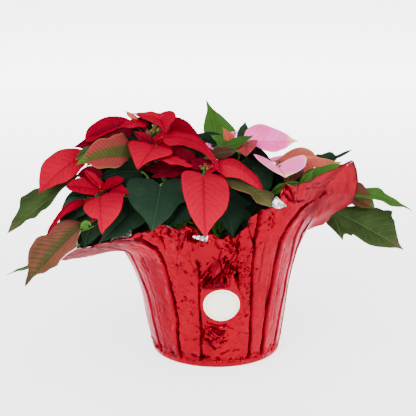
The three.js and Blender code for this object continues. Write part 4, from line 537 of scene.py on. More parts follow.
# The blades seen best have edges of their own: midrib points, half width vectors, left edge, right edge.
EDGES = {
    "red_bract_18": ([[-12.0, -66.0, 184.3], [-11.5, -90.0, 164.4], [-10.2, -97.0, 136.2]], [22.3, -0.6, 1.3], [-18.3, -3.0, 2.9], [[0.0, 0.05], [-0.04, 0.05], [-0.07, 0.22], [-0.05, 0.47], [-0.0, 0.71], [0.1, 0.9], [0.22, 0.99], [0.34, 1.02], [0.46, 0.99], [0.58, 0.9], [0.68, 0.71], [0.76, 0.46], [0.85, 0.26], [0.91, 0.13], [0.96, 0.09], [1.0, 0.01]], [[0.0, 0.05], [-0.06, 0.11], [-0.1, 0.31], [-0.1, 0.61], [-0.08, 0.91], [-0.0, 1.07], [0.08, 1.09], [0.2, 1.07], [0.31, 1.02], [0.42, 0.95], [0.53, 0.84], [0.64, 0.71], [0.75, 0.53], [0.85, 0.31], [0.93, 0.13], [1.0, 0.01]]),
    "green_leaf_06": ([[-51.1, -54.0, 173.7], [-53.3, -80.0, 161.0], [-57.3, -94.0, 141.3]], [22.1, -0.5, -2.8], [-28.3, 0.3, 4.2], [[0.0, 0.05], [-0.11, 0.11], [-0.24, 0.3], [-0.32, 0.49], [-0.32, 0.74], [-0.3, 0.98], [-0.07, 1.16], [0.19, 1.22], [0.37, 1.13], [0.4, 0.89], [0.5, 0.79], [0.62, 0.69], [0.72, 0.57], [0.82, 0.37], [0.91, 0.17], [1.0, 0.01]], [[0.0, 0.05], [-0.09, 0.12], [-0.17, 0.29], [-0.17, 0.49], [-0.14, 0.71], [-0.12, 0.87], [-0.07, 1.01], [0.07, 1.06], [0.25, 1.05], [0.43, 0.97], [0.57, 0.84], [0.67, 0.66], [0.74, 0.48], [0.82, 0.3], [0.92, 0.14], [1.0, 0.01]]),
    "red_bract_15": ([[-104.6, -74.6, 166.5], [-102.2, -94.6, 159.2], [-100.8, -100.6, 140.4]], [19.8, 1.2, 3.0], [-14.8, -0.3, -3.9], [[0.0, 0.05], [-0.12, 0.05], [-0.3, 0.19], [-0.32, 0.39], [-0.32, 0.67], [-0.22, 0.9], [0.02, 1.05], [0.24, 1.05], [0.42, 0.99], [0.54, 0.9], [0.65, 0.73], [0.74, 0.54], [0.84, 0.3], [0.89, 0.14], [0.95, 0.07], [1.0, 0.01]], [[0.0, 0.05], [-0.19, 0.22], [-0.22, 0.54], [-0.09, 0.79], [0.14, 0.99], [0.36, 0.98], [0.52, 0.8], [0.62, 0.59], [0.65, 0.35], [0.64, 0.17], [0.71, 0.2], [0.8, 0.17], [0.9, 0.11], [1.0, 0.01]]),
    "red_bract_05": ([[-57.7, -14.0, 202.1], [-64.3, -32.0, 197.6], [-71.9, -46.0, 186.4]], [15.1, -5.2, -2.0], [-18.7, 5.9, 4.0], [[0.0, 0.05], [-0.16, 0.04], [-0.32, 0.1], [-0.32, 0.18], [-0.31, 0.6], [-0.02, 1.0], [0.23, 1.34], [0.38, 1.18], [0.49, 0.94], [0.59, 0.61], [0.69, 0.36], [0.81, 0.18], [0.91, 0.08], [1.0, 0.01]], [[0.0, 0.05], [0.02, 0.18], [0.0, 0.39], [-0.08, 0.71], [-0.08, 1.01], [0.05, 1.19], [0.25, 1.18], [0.44, 0.97], [0.6, 0.75], [0.75, 0.51], [0.87, 0.3], [0.95, 0.15], [1.0, 0.01]]),
    "red_bract_10": ([[-123.2, -4.0, 189.2], [-142.5, -22.0, 183.2], [-164.9, -34.0, 161.4]], [14.6, -13.3, -7.4], [-14.8, 12.9, 8.7], [[0.0, 0.05], [0.08, 0.26], [0.18, 0.49], [0.29, 0.62], [0.4, 0.73], [0.51, 0.76], [0.61, 0.68], [0.72, 0.44], [0.82, 0.27], [0.91, 0.1], [0.96, 0.03], [1.0, 0.01]], [[0.0, 0.05], [-0.05, 0.33], [-0.09, 0.67], [-0.02, 0.82], [0.08, 0.89], [0.2, 0.96], [0.33, 1.01], [0.45, 1.0], [0.56, 0.98], [0.66, 0.87], [0.76, 0.66], [0.85, 0.44], [0.93, 0.18], [1.0, 0.01]]),
    "mixed_leaf_01": ([[-79.4, -14.0, 192.5], [-102.3, -30.0, 196.2], [-129.2, -36.0, 188.7]], [6.2, -11.8, -12.8], [-6.6, 13.2, 17.1], [[0.0, 0.05], [0.12, 0.31], [0.25, 0.55], [0.34, 0.74], [0.42, 0.81], [0.52, 0.7], [0.61, 0.67], [0.68, 0.65], [0.73, 0.55], [0.75, 0.43], [0.78, 0.29], [0.85, 0.12], [0.9, 0.02], [0.95, 0.02], [1.0, 0.01]], [[0.0, 0.05], [-0.03, 0.24], [-0.03, 0.49], [-0.02, 0.73], [0.0, 0.92], [0.03, 1.07], [0.06, 1.18], [0.12, 1.07], [0.21, 1.0], [0.29, 0.92], [0.34, 0.82], [0.39, 0.79], [0.45, 0.86], [0.54, 0.83], [0.62, 0.71], [0.71, 0.54], [0.77, 0.41], [0.84, 0.28], [0.92, 0.18], [1.0, 0.01]]),
    "mixed_leaf_02": ([[-119.8, -78.0, 143.0], [-137.8, -94.0, 129.9], [-172.6, -84.0, 87.3]], [11.8, -11.1, -9.2], [-15.4, 16.8, 11.3], [[0.0, 0.05], [0.08, 0.12], [0.13, 0.07], [0.16, 0.16], [0.2, 0.37], [0.23, 0.58], [0.27, 0.74], [0.31, 0.68], [0.35, 0.61], [0.4, 0.6], [0.45, 0.57], [0.48, 0.6], [0.52, 0.66], [0.58, 0.52], [0.64, 0.44], [0.68, 0.41], [0.73, 0.26], [0.78, 0.1], [0.84, 0.02], [0.89, 0.02], [0.94, 0.02], [0.97, 0.02], [1.0, 0.01]], [[0.0, 0.05], [-0.06, 0.21], [-0.04, 0.42], [0.02, 0.61], [0.15, 0.73], [0.27, 0.79], [0.36, 0.76], [0.41, 0.72], [0.47, 0.87], [0.54, 0.99], [0.6, 0.96], [0.67, 0.92], [0.72, 0.91], [0.78, 0.75], [0.82, 0.57], [0.84, 0.41], [0.88, 0.29], [0.93, 0.2], [0.98, 0.12], [1.0, 0.01]]),
    "red_bract_19": ([[-3.9, -61.8, 193.2], [18.6, -71.8, 194.6], [41.5, -69.8, 171.9]], [4.9, 13.6, 0.9], [-2.2, -2.6, -11.2], [[0.0, 0.05], [-0.32, 1.7], [-0.32, 1.7], [-0.32, 1.7], [-0.18, 1.7], [0.33, 1.09], [0.5, 0.85], [0.63, 0.77], [0.78, 0.91], [0.89, 0.74], [0.96, 0.37], [1.0, 0.01]], [[0.0, 0.05], [0.05, 0.36], [0.12, 0.68], [0.27, 1.03], [0.42, 0.92], [0.57, 0.69], [0.71, 0.55], [0.84, 0.36], [0.93, 0.2], [1.0, 0.01]]),
    "pink_bract_05": ([[58.8, 16.0, 176.6], [61.3, -6.0, 176.9], [64.3, -26.0, 174.8]], [24.4, 2.8, 8.9], [-17.8, -2.0, 10.8], [[0.0, 0.05], [-0.28, 0.23], [-0.32, 0.53], [-0.32, 0.81], [-0.28, 1.0], [0.04, 1.11], [0.41, 1.06], [0.77, 0.85], [0.92, 0.6], [0.96, 0.35], [0.95, 0.16], [1.0, 0.01]], [[0.0, 0.05], [-0.32, 0.02], [-0.32, 0.1], [-0.32, 0.51], [-0.32, 0.88], [0.45, 1.49], [0.69, 1.4], [0.86, 1.22], [0.99, 1.02], [1.04, 0.72], [1.02, 0.38], [0.98, 0.14], [1.0, 0.01]]),
    "pink_bract_06": ([[59.9, 26.0, 174.8], [87.5, 36.0, 182.0], [116.9, 34.0, 177.7]], [-5.2, 12.8, 4.6], [7.9, -13.3, -15.5], [[0.0, 0.05], [0.08, 0.51], [0.19, 0.73], [0.32, 1.05], [0.42, 1.21], [0.51, 1.3], [0.58, 1.13], [0.64, 0.69], [0.68, 0.12], [0.74, 0.02], [0.83, 0.02], [0.91, 0.02], [1.0, 0.01]], [[0.0, 0.05], [-0.0, 0.32], [0.07, 0.7], [0.22, 0.98], [0.4, 1.07], [0.55, 0.76], [0.66, 0.55], [0.77, 0.48], [0.9, 0.34], [1.0, 0.01]]),
    "pink_bract_04": ([[26.6, 16.0, 203.7], [51.7, 16.0, 201.2], [78.2, 10.0, 202.8]], [1.5, 15.3, 14.1], [-1.1, -14.5, -8.3], [[0.0, 0.05], [-0.0, 0.24], [0.03, 0.49], [0.1, 0.75], [0.21, 0.94], [0.32, 1.0], [0.43, 0.92], [0.56, 0.74], [0.67, 0.62], [0.79, 0.41], [0.87, 0.2], [0.94, 0.08], [1.0, 0.01]], [[0.0, 0.05], [0.05, 0.23], [0.12, 0.36], [0.19, 0.47], [0.28, 0.61], [0.4, 0.82], [0.52, 0.95], [0.66, 0.87], [0.79, 0.61], [0.87, 0.3], [0.93, 0.1], [1.0, 0.01]]),
    "green_leaf_09": ([[-0.2, 34.0, 200.8], [-2.1, 46.0, 215.1], [-9.9, 54.0, 236.0]], [-11.8, -3.6, 0.3], [16.4, 2.0, 1.8], [[0.0, 0.05], [-0.01, 0.51], [0.07, 0.94], [0.23, 1.03], [0.43, 0.89], [0.59, 0.65], [0.72, 0.32], [0.86, 0.16], [1.0, 0.01]], [[0.0, 0.05], [0.03, 0.47], [0.08, 0.95], [0.16, 1.24], [0.3, 1.0], [0.43, 0.75], [0.56, 0.54], [0.68, 0.27], [0.83, 0.1], [1.0, 0.01]]),
    "green_leaf_01": ([[-132.0, -2.0, 172.1], [-159.7, -20.0, 152.0], [-197.4, -26.0, 121.1]], [9.8, -14.9, -2.6], [-14.1, 19.4, 5.2], [[0.0, 0.05], [0.09, 0.1], [0.17, 0.08], [0.26, 0.09], [0.32, 0.08], [0.37, 0.12], [0.4, 0.35], [0.44, 0.57], [0.51, 0.62], [0.56, 0.5], [0.61, 0.61], [0.65, 0.61], [0.7, 0.34], [0.74, 0.24], [0.79, 0.31], [0.84, 0.28], [0.91, 0.16], [0.96, 0.09], [1.0, 0.01]], [[0.0, 0.05], [0.02, 0.28], [0.12, 0.36], [0.22, 0.48], [0.3, 0.59], [0.38, 0.78], [0.41, 0.87], [0.47, 1.06], [0.53, 1.1], [0.6, 1.14], [0.67, 1.25], [0.71, 1.1], [0.74, 0.8], [0.78, 0.65], [0.83, 0.53], [0.89, 0.45], [0.93, 0.28], [0.97, 0.12], [1.0, 0.01]]),
    "red_bract_16": ([[-119.8, -61.0, 162.1], [-132.8, -77.0, 160.2], [-151.8, -83.0, 134.2]], [2.1, 1.4, -6.1], [-6.5, 11.2, -6.9], [[0.0, 0.05], [0.01, 0.67], [0.24, 1.15], [0.44, 0.89], [0.55, 0.5], [0.65, 0.42], [0.76, 0.28], [0.89, 0.12], [1.0, 0.01]], [[0.0, 0.05], [0.15, 0.02], [0.28, 0.02], [0.4, 0.77], [0.01, 1.7], [-0.09, 1.7], [1.03, 1.7], [1.06, 1.7], [1.0, 0.01]]),
    "red_bract_11": ([[-106.6, -54.0, 169.2], [-121.3, -64.0, 174.6], [-134.5, -74.0, 176.9]], [8.3, -14.3, -4.1], [-3.9, 9.7, 7.5], [[0.0, 0.05], [0.21, 0.62], [0.43, 0.97], [0.66, 0.86], [0.86, 0.68], [1.01, 0.44], [1.0, 0.01]], [[0.0, 0.05], [0.07, 0.59], [0.2, 0.9], [0.33, 1.0], [0.51, 0.88], [0.71, 0.64], [0.85, 0.38], [1.0, 0.01]]),
    "red_bract_12": ([[-103.8, -50.0, 168.1], [-111.8, -50.0, 178.0], [-121.0, -46.0, 185.9]], [-1.1, -5.9, -0.7], [3.5, 6.3, 2.6], [[0.0, 0.05], [0.23, 0.87], [0.44, 1.12], [0.62, 1.17], [0.81, 0.76], [1.0, 0.01]], [[0.0, 0.05], [0.04, 0.64], [0.19, 0.87], [0.48, 0.85], [0.75, 0.79], [0.94, 0.49], [1.0, 0.01]]),
    "red_bract_13": ([[-103.9, -54.0, 169.2], [-94.1, -56.0, 175.6], [-83.9, -58.0, 180.9]], [-2.1, 11.7, 7.0], [0.6, -13.0, -5.2], [[0.0, 0.05], [0.08, 0.48], [0.25, 0.72], [0.49, 0.66], [0.76, 0.48], [1.0, 0.01]], [[0.0, 0.05], [0.23, 0.26], [0.43, 0.3], [0.71, 0.37], [0.9, 0.33], [1.0, 0.01]]),
    "red_bract_01": ([[-81.8, 8.9, 222.4], [-103.1, 4.9, 214.4], [-123.7, -3.1, 203.9]], [4.7, -14.4, -4.2], [-8.9, 31.6, 5.8], [[0.0, 0.05], [0.11, 0.3], [0.25, 0.39], [0.41, 0.37], [0.56, 0.33], [0.73, 0.33], [0.9, 0.32], [1.0, 0.01]], [[0.0, 0.05], [0.07, 0.26], [0.14, 0.53], [0.23, 0.74], [0.34, 0.91], [0.46, 1.0], [0.58, 0.95], [0.69, 0.85], [0.8, 0.66], [0.91, 0.36], [1.0, 0.01]]),
    "red_bract_02": ([[-56.6, 10.6, 225.9], [-51.1, -7.4, 223.2], [-47.1, -29.4, 217.7]], [10.8, 2.5, 2.8], [-23.7, -7.0, 2.3], [[0.0, 0.05], [-0.25, 0.84], [-0.15, 1.38], [0.06, 1.49], [0.35, 1.31], [0.51, 0.93], [0.64, 0.59], [0.8, 0.29], [1.0, 0.01]], [[0.0, 0.05], [-0.32, 0.02], [-0.32, 0.36], [-0.32, 0.76], [0.02, 0.75], [0.24, 0.64], [0.36, 0.44], [0.53, 0.3], [0.69, 0.16], [0.85, 0.08], [1.0, 0.01]]),
    "red_bract_03": ([[-54.2, 8.0, 219.7], [-31.0, 14.0, 212.8], [-16.1, 12.0, 205.7]], [-3.3, 22.1, 9.1], [2.8, -18.5, -7.5], [[0.0, 0.05], [0.17, 0.51], [0.35, 0.84], [0.51, 0.91], [0.62, 0.8], [0.72, 0.61], [0.83, 0.32], [1.0, 0.01]], [[0.0, 0.05], [0.05, 0.53], [0.23, 0.64], [0.43, 0.66], [0.67, 0.61], [0.91, 0.44], [1.0, 0.01]]),
    "red_bract_04": ([[-50.0, -16.0, 211.5], [-31.1, -24.0, 212.5], [-11.6, -50.0, 208.5], [2.6, -80.0, 192.8]], [4.3, 3.6, 2.1], [-2.9, -2.2, -5.7], [[0.0, 0.05], [-0.01, 1.41], [0.07, 1.7], [0.13, 1.65], [0.2, 1.08], [0.28, 1.24], [0.39, 1.06], [0.5, 0.75], [0.62, 0.52], [0.73, 0.43], [0.82, 0.44], [0.91, 0.35], [1.0, 0.01]], [[0.0, 0.05], [0.02, 0.94], [0.09, 1.46], [0.18, 1.25], [0.29, 1.06], [0.4, 1.05], [0.51, 0.96], [0.62, 0.74], [0.73, 0.47], [0.84, 0.27], [0.94, 0.17], [1.0, 0.01]]),
    "green_leaf_18": ([[112.4, 30.0, 147.7], [155.9, 30.0, 145.7], [191.9, 18.0, 132.0]], [0.3, 8.6, 2.6], [-0.6, -13.4, -5.4], [[0.0, 0.05], [0.1, 0.57], [0.2, 0.86], [0.29, 1.08], [0.38, 0.97], [0.47, 1.16], [0.55, 1.7], [0.59, 1.58], [0.63, 1.0], [0.7, 0.58], [0.78, 0.41], [0.84, 0.11], [0.9, 0.13], [1.0, 0.01]], [[0.0, 0.05], [0.1, 0.52], [0.22, 0.64], [0.35, 0.66], [0.45, 0.65], [0.55, 0.57], [0.63, 0.57], [0.69, 0.69], [0.75, 0.79], [0.82, 0.55], [0.86, 0.37], [0.9, 0.13], [0.95, 0.1], [1.0, 0.01]]),
    "mixed_leaf_06": ([[125.6, 30.0, 150.2], [139.7, 26.0, 140.8], [156.4, 24.0, 132.9]], [8.5, 2.5, 12.3], [-4.2, -8.5, -3.1], [[0.0, 0.05], [0.04, 0.52], [0.15, 0.98], [0.33, 1.07], [0.51, 0.93], [0.72, 0.69], [0.88, 0.41], [1.0, 0.01]], [[0.0, 0.05], [0.18, 0.89], [0.33, 1.14], [0.5, 1.01], [0.66, 0.81], [0.81, 0.44], [1.0, 0.01]]),
    "green_leaf_19": ([[112.6, 36.7, 129.0], [143.5, 18.7, 117.3], [182.7, 2.7, 96.4]], [11.5, 12.3, 11.7], [-9.2, -11.4, -7.2], [[0.0, 0.05], [0.01, 0.27], [0.1, 0.47], [0.15, 0.4], [0.2, 0.62], [0.27, 0.85], [0.35, 1.03], [0.43, 1.19], [0.5, 1.29], [0.55, 1.29], [0.59, 1.46], [0.65, 1.56], [0.66, 1.33], [0.68, 1.2], [0.73, 1.11], [0.77, 0.88], [0.81, 0.68], [0.86, 0.43], [0.91, 0.19], [0.94, 0.11], [1.0, 0.01]], [[0.0, 0.05], [0.06, 0.35], [0.15, 0.56], [0.25, 0.81], [0.34, 1.02], [0.41, 1.13], [0.42, 0.96], [0.47, 0.99], [0.53, 1.04], [0.6, 1.11], [0.67, 1.05], [0.73, 0.87], [0.8, 0.63], [0.86, 0.45], [0.91, 0.19], [0.95, 0.08], [1.0, 0.01]]),
    "green_leaf_20": ([[116.6, 56.0, 121.6], [119.1, 48.0, 118.9], [127.6, 40.0, 95.6]], [11.8, 1.1, 4.3], [-8.7, 2.1, -4.9], [[0.0, 0.05], [0.22, 0.43], [0.42, 0.9], [0.68, 1.14], [0.85, 1.05], [0.98, 0.78], [0.88, 0.54], [0.83, 0.34], [0.88, 0.18], [1.0, 0.01]], [[0.0, 0.05], [-0.03, 0.64], [-0.25, 0.82], [0.43, 1.01], [0.55, 0.73], [0.69, 0.49], [0.82, 0.27], [0.92, 0.13], [1.0, 0.01]]),
    "green_leaf_14": ([[98.5, 42.0, 178.5], [113.5, 48.0, 176.5], [134.8, 44.0, 187.7]], [-1.0, 2.5, 6.9], [1.8, -8.1, -0.3], [[0.0, 0.05], [-0.05, 0.39], [0.02, 0.84], [0.18, 0.89], [0.32, 1.08], [0.45, 1.15], [0.55, 0.82], [0.56, 0.32], [0.66, 0.31], [0.79, 0.31], [0.9, 0.22], [1.0, 0.01]], [[0.0, 0.05], [0.12, 0.17], [-0.01, 1.03], [-0.01, 1.7], [0.33, 1.53], [0.5, 1.08], [0.56, 0.56], [0.67, 0.12], [0.8, 0.02], [0.92, 0.16], [1.0, 0.01]]),
    "mixed_leaf_03": ([[4.2, -58.0, 183.6], [28.6, -72.0, 176.5], [47.8, -80.0, 159.4]], [7.0, 11.4, 1.7], [-5.7, -6.9, -5.6], [[0.0, 0.05], [0.09, 0.21], [0.18, 0.38], [0.28, 0.48], [0.4, 0.45], [0.51, 0.38], [0.59, 0.11], [0.65, 0.38], [0.72, 0.75], [0.81, 1.26], [0.89, 1.2], [0.94, 0.68], [1.0, 0.01]], [[0.0, 0.05], [0.14, 0.59], [0.28, 0.92], [0.41, 0.89], [0.52, 0.66], [0.62, 0.53], [0.71, 0.68], [0.79, 0.73], [0.87, 0.51], [0.94, 0.19], [1.0, 0.01]]),
    "green_leaf_12": ([[1.0, 3.9, 198.6], [22.3, -2.1, 204.1], [34.3, -2.1, 210.5]], [1.3, 8.4, 4.6], [-1.6, -8.3, -3.6], [[0.0, 0.05], [0.14, 0.21], [0.29, 0.61], [0.43, 0.91], [0.62, 0.91], [0.82, 0.63], [1.0, 0.01]], [[0.0, 0.05], [0.18, 0.59], [0.36, 1.13], [0.49, 1.41], [0.59, 0.97], [0.71, 0.51], [0.84, 0.3], [1.0, 0.01]]),
    "mixed_leaf_04": ([[18.7, -17.7, 198.6], [6.7, -31.7, 200.3], [-12.1, -39.7, 195.6]], [5.4, -5.6, -5.1], [-5.2, 5.4, 4.1], [[0.0, 0.05], [0.36, 0.67], [0.55, 0.8], [0.73, 0.67], [0.88, 0.38], [1.0, 0.01]], [[0.0, 0.05], [0.07, 0.8], [0.41, 0.97], [0.65, 0.86], [0.85, 0.48], [1.0, 0.01]]),
    "pink_bract_03": ([[29.0, 5.0, 203.3], [27.9, -7.0, 199.3], [27.7, -13.0, 192.3]], [10.6, -0.9, -0.3], [-7.8, 0.9, -0.5], [[0.0, 0.05], [-0.26, 0.42], [-0.19, 0.99], [0.43, 0.87], [0.73, 0.57], [0.89, 0.31], [1.0, 0.01]], [[0.0, 0.05], [0.1, 0.6], [0.38, 1.04], [0.64, 1.48], [0.79, 0.98], [0.87, 0.5], [1.0, 0.01]]),
    "pink_bract_01": ([[11.2, 12.0, 200.5], [10.2, 12.0, 206.3], [6.1, 10.0, 216.1]], [-3.0, -2.0, -1.1], [5.7, -0.3, 1.7], [[0.0, 0.05], [0.13, 1.02], [0.46, 1.17], [0.71, 0.46], [1.0, 0.01]], [[0.0, 0.05], [0.09, 0.86], [0.26, 1.2], [0.51, 0.89], [0.71, 0.43], [1.0, 0.01]]),
}
# points of the outline that stand out or fall in: (place along the edge, share of the half width, reach)
LOBES = {
    "green_leaf_03": ([(0.3, 0.15, 0.08)], [(0.45, 0.15, 0.08)]),
    "green_leaf_08": ([(0.34, 0.24, 0.07), (0.52, 0.18, 0.06), (0.66, 0.12, 0.05)], [(0.4, 0.2, 0.07)]),
    "green_leaf_21": ([(0.3, 0.2, 0.08), (0.5, 0.16, 0.07)], [(0.38, 0.22, 0.08)]),
    "green_leaf_22": ([(0.34, 0.2, 0.08)], [(0.28, 0.18, 0.08), (0.5, 0.18, 0.07)]),
    "green_leaf_23": ([(0.3, 0.24, 0.08)], [(0.4, 0.24, 0.08)]),
    "red_bract_23": ([(0.4, 0.14, 0.07)], []),
}
PETIOLE = dict(red=0.95, reddark=0.95, mixed=1.05, russet=1.05, mottle=1.05, green=1.1, olive=1.1, greenlight=1.05, pink=0.95, salmon=0.9, rose=0.9, brown=1.0)


def outline_rows(name, n):
    rows = np.array(OUTLINE[name], float)
    out = sample_curve(rows, n)
    out[:, 1] = np.maximum(out[:, 1], 0.01)
    out[0], out[-1] = rows[0], (1, 0.01, 1)
    return out


def traced_edge(rows, n, size, width):
    """An irregular edge, given as [share of the length, half width share] rows, spaced evenly along itself."""
    p = np.array(rows, float)
    s = np.r_[0, np.cumsum(np.hypot(np.diff(p[:, 0]) * size, np.diff(p[:, 1]) * width))]
    q = np.linspace(0, s[-1], n)
    e, h = np.interp(q, s, p[:, 0]), np.interp(q, s, p[:, 1])
    for v in (e, h):
        v[1:-1] = 0.16 * v[:-2] + 0.68 * v[1:-1] + 0.16 * v[2:]
    return e, np.maximum(h, 0.01)


def leaf(body, name, colour, outline, pts, EL, ER, shoot, share, bulge=0.12, seed=1, lobes=None, fine=1.0, ripple=0.8, tone_and_shade=None, petiole=True, thick=0.22, pucker=None, start=None, edges=None, dense=1.0):
    """One thin leaf with sunken veins, puckered between them, and its petiole down to the shoot."""
    rng = np.random.default_rng(seed)
    sp = Spine(pts)
    size = sp.len
    nq = int(np.clip(size * 0.72 * fine, 18, 50))
    nt = int(np.clip(size * 0.26 * fine, 7, 15))
    rows = outline_rows(outline, nq)
    Pw, Tw = (x.reshape(3) for x in sp.at(WIDEST))
    EL, ER = np.array(EL, float), np.array(ER, float)
    EL, ER = EL - (EL @ Tw) * Tw, ER - (ER @ Tw) * Tw
    WL, WR = np.linalg.norm(EL), np.linalg.norm(ER)
    g = np.linspace(-1, 1, 2 * nt + 1)
    t = np.sign(g) * np.abs(g) ** 1.25
    A = np.abs(t)
    E, H, U = rows[:, 0], rows[:, 1], rows[:, 2]
    hl, hr, el, er = H.copy(), H.copy(), E, E
    if edges:
        (el, hl), (er, hr) = traced_edge(edges[0], nq, size, WL), traced_edge(edges[1], nq, size, WR)
    elif lobes:
        for h, side in ((hl, lobes[0]), (hr, lobes[1])):
            for at, amp, w in side:
                h += amp * np.maximum(0, 1 - np.abs(E - at) / w) * np.minimum(1, H / 0.3)
    left = (t >= 0)[None, :]
    E2 = np.where(left, el[:, None], er[:, None])
    h = np.where(left, hl[:, None], hr[:, None]) * A[None, :]
    x = U[:, None] + (E2 - U[:, None]) * A[None, :] ** 1.25
    M, T = sp.at(x)
    a0 = np.broadcast_to(Tw, T.shape)
    dl, dr = carry(a0, T, np.broadcast_to(EL / WL, T.shape)), carry(a0, T, np.broadcast_to(ER / WR, T.shape))
    L3 = left[..., None]
    D = np.where(L3, dl, dr)
    W = np.where(left, WL, WR)
    N = unit(np.where(L3, np.cross(T, dl), np.cross(dr, T)))
    blend = smooth(A, 0.0, 0.28)[None, :, None]
    c = nt
    N = unit(N * blend + unit(N[:, c - 1 : c] + N[:, c + 1 : c + 2]) * (1 - blend))
    dist = W * h
    # veins: lateral ones leave the midrib and lean forward, in alternate pairs
    count = np.clip(size / 6.2, 4.5, 10.5) * dense
    u0 = U[:, None] - 0.10 * A[None, :]
    phase = count * np.sign(u0) * np.abs(u0) ** 0.88 + np.where(left, 0.0, 0.45) + rng.uniform(0, 1)
    pk = (0.34 if colour in ("red", "reddark", "mixed") else 0.30) if pucker is None else pucker
    pk *= min(1.0, size / 45)
    fade = (1 - np.exp(-((dist / 2.6) ** 2))) * (1 - smooth(A, 0.80, 1.0)[None, :]) * smooth(np.minimum(U, 1 - U), 0.0, 0.12)[:, None]
    z = bulge * W * np.where(left, hl[:, None], hr[:, None]) * 2 * A * (1 - A)
    z += pk * fade * (np.abs(np.sin(np.pi * phase)) ** 0.8 - 0.35)
    z -= 0.5 * np.exp(-((dist / 1.1) ** 2)) * smooth(1 - U, 0.02, 0.25)[:, None]
    p1, p2, k1, k2 = rng.uniform(0, 6.28), rng.uniform(0, 6.28), rng.uniform(2.2, 3.6), rng.uniform(2.2, 3.6)
    z += ripple * (A**3)[None, :] * np.where(left, np.sin(k1 * 6.28 * E[:, None] + p1), np.sin(k2 * 6.28 * E[:, None] + p2)) * np.minimum(1, H / 0.35)[:, None]
    mid = M + D * dist[..., None] + N * z[..., None]
    n, m = mid.shape[:2]
    dr_, dc_ = np.gradient(mid, axis=0), np.gradient(mid, axis=1)
    NN = unit(np.cross(dr_, dc_) + 1e-9 * N)
    NN = np.where(np.sum(NN * N, -1)[..., None] < 0.2, N, NN)
    rib = 0.75 * np.exp(-((dist / 0.85) ** 2)) * (1 - 0.8 * U[:, None]) * smooth(1 - U, 0.0, 0.1)[:, None]
    near = np.abs(phase - np.round(phase))
    sub = 0.16 * np.exp(-((near / 0.09) ** 2)) * fade
    th = thick * np.where(A == 1, 0.55, 1.0)[None, :]
    top = mid + NN * th[..., None]
    bot = mid - NN * (th + rib + sub)[..., None]
    tone_and_shade = rng.uniform(0.90, 1.08) if tone_and_shade is None else tone_and_shade
    ua = np.stack([np.broadcast_to(U[:, None], (n, m)), np.broadcast_to(A[None, :], (n, m))], -1).reshape(-1, 2)
    half = np.broadcast_to(np.where(left, 1.5, 1.0), (n, m)).reshape(-1)
    la = np.concatenate([np.c_[ua, half], np.c_[ua, np.zeros(n * m)]])
    lb1 = np.stack([phase, dist, np.full((n, m), tone_and_shade)], -1).reshape(-1, 3)
    V = np.concatenate([top.reshape(-1, 3), bot.reshape(-1, 3)])
    o = n * m
    i = np.arange(n - 1)
    lo, hi = i * m, i * m + m - 1
    rimL = np.stack([hi, hi + m, hi + m + o, hi + o], -1)
    rimR = np.stack([lo, lo + o, lo + m + o, lo + m], -1)
    j = np.arange(m - 1)
    base = np.stack([j, j + 1, j + 1 + o, j + o], -1)
    e = (n - 1) * m
    end = np.stack([e + j, e + j + o, e + j + 1 + o, e + j + 1], -1)
    body.add(V, [grid_faces(n, m), grid_faces(n, m, flip=True) + o, rimL, rimR, base, end], 0, leaf_a=la, leaf_b=np.concatenate([lb1, lb1]))
    if petiole:
        b, Tb = (q.reshape(3) for q in sp.at(0.0))
        st = Spine(SHOOTS[shoot][0]).at(share)[0].reshape(3) if start is None else np.array(start, float)
        ctl = b - Tb * 0.3 * np.linalg.norm(b - st)
        s = np.linspace(0, 1, int(np.clip(np.linalg.norm(b - st) / 3, 7, 18)))[:, None]
        path = (1 - s) ** 2 * st + 2 * s * (1 - s) * ctl + s * s * (b + Tb * 0.6)
        r = PETIOLE[colour] * (1 + 0.7 * np.exp(-((s[:, 0] / 0.10) ** 2))) * (1 - 0.12 * s[:, 0]) * min(1.0, 0.35 + size / 60)
        tube(body, path, r, 10, 1)
    return mid


def make_leaf(name, colour, outline, pts, EL, ER, shoot, share, bulge, cad, **kw):
    body = Body()
    kw = {**TWEAK.get(name, {}), **kw}
    look = kw.pop("look", colour)
    if name in EDGES:
        pts, EL, ER, edge_l, edge_r = EDGES[name]
        kw = {"edges": (edge_l, edge_r), "ripple": 0.3, **kw}
    leaf(body, name, look, outline, pts, EL, ER, shoot, share, bulge, seed=sum(map(ord, name)) * 7 + 3, lobes=LOBES.get(name), **kw)
    return body.build("fine_" + name, [MATS[look], MATS[STALK[look]]], replaces=name if cad else (), sharp=48)
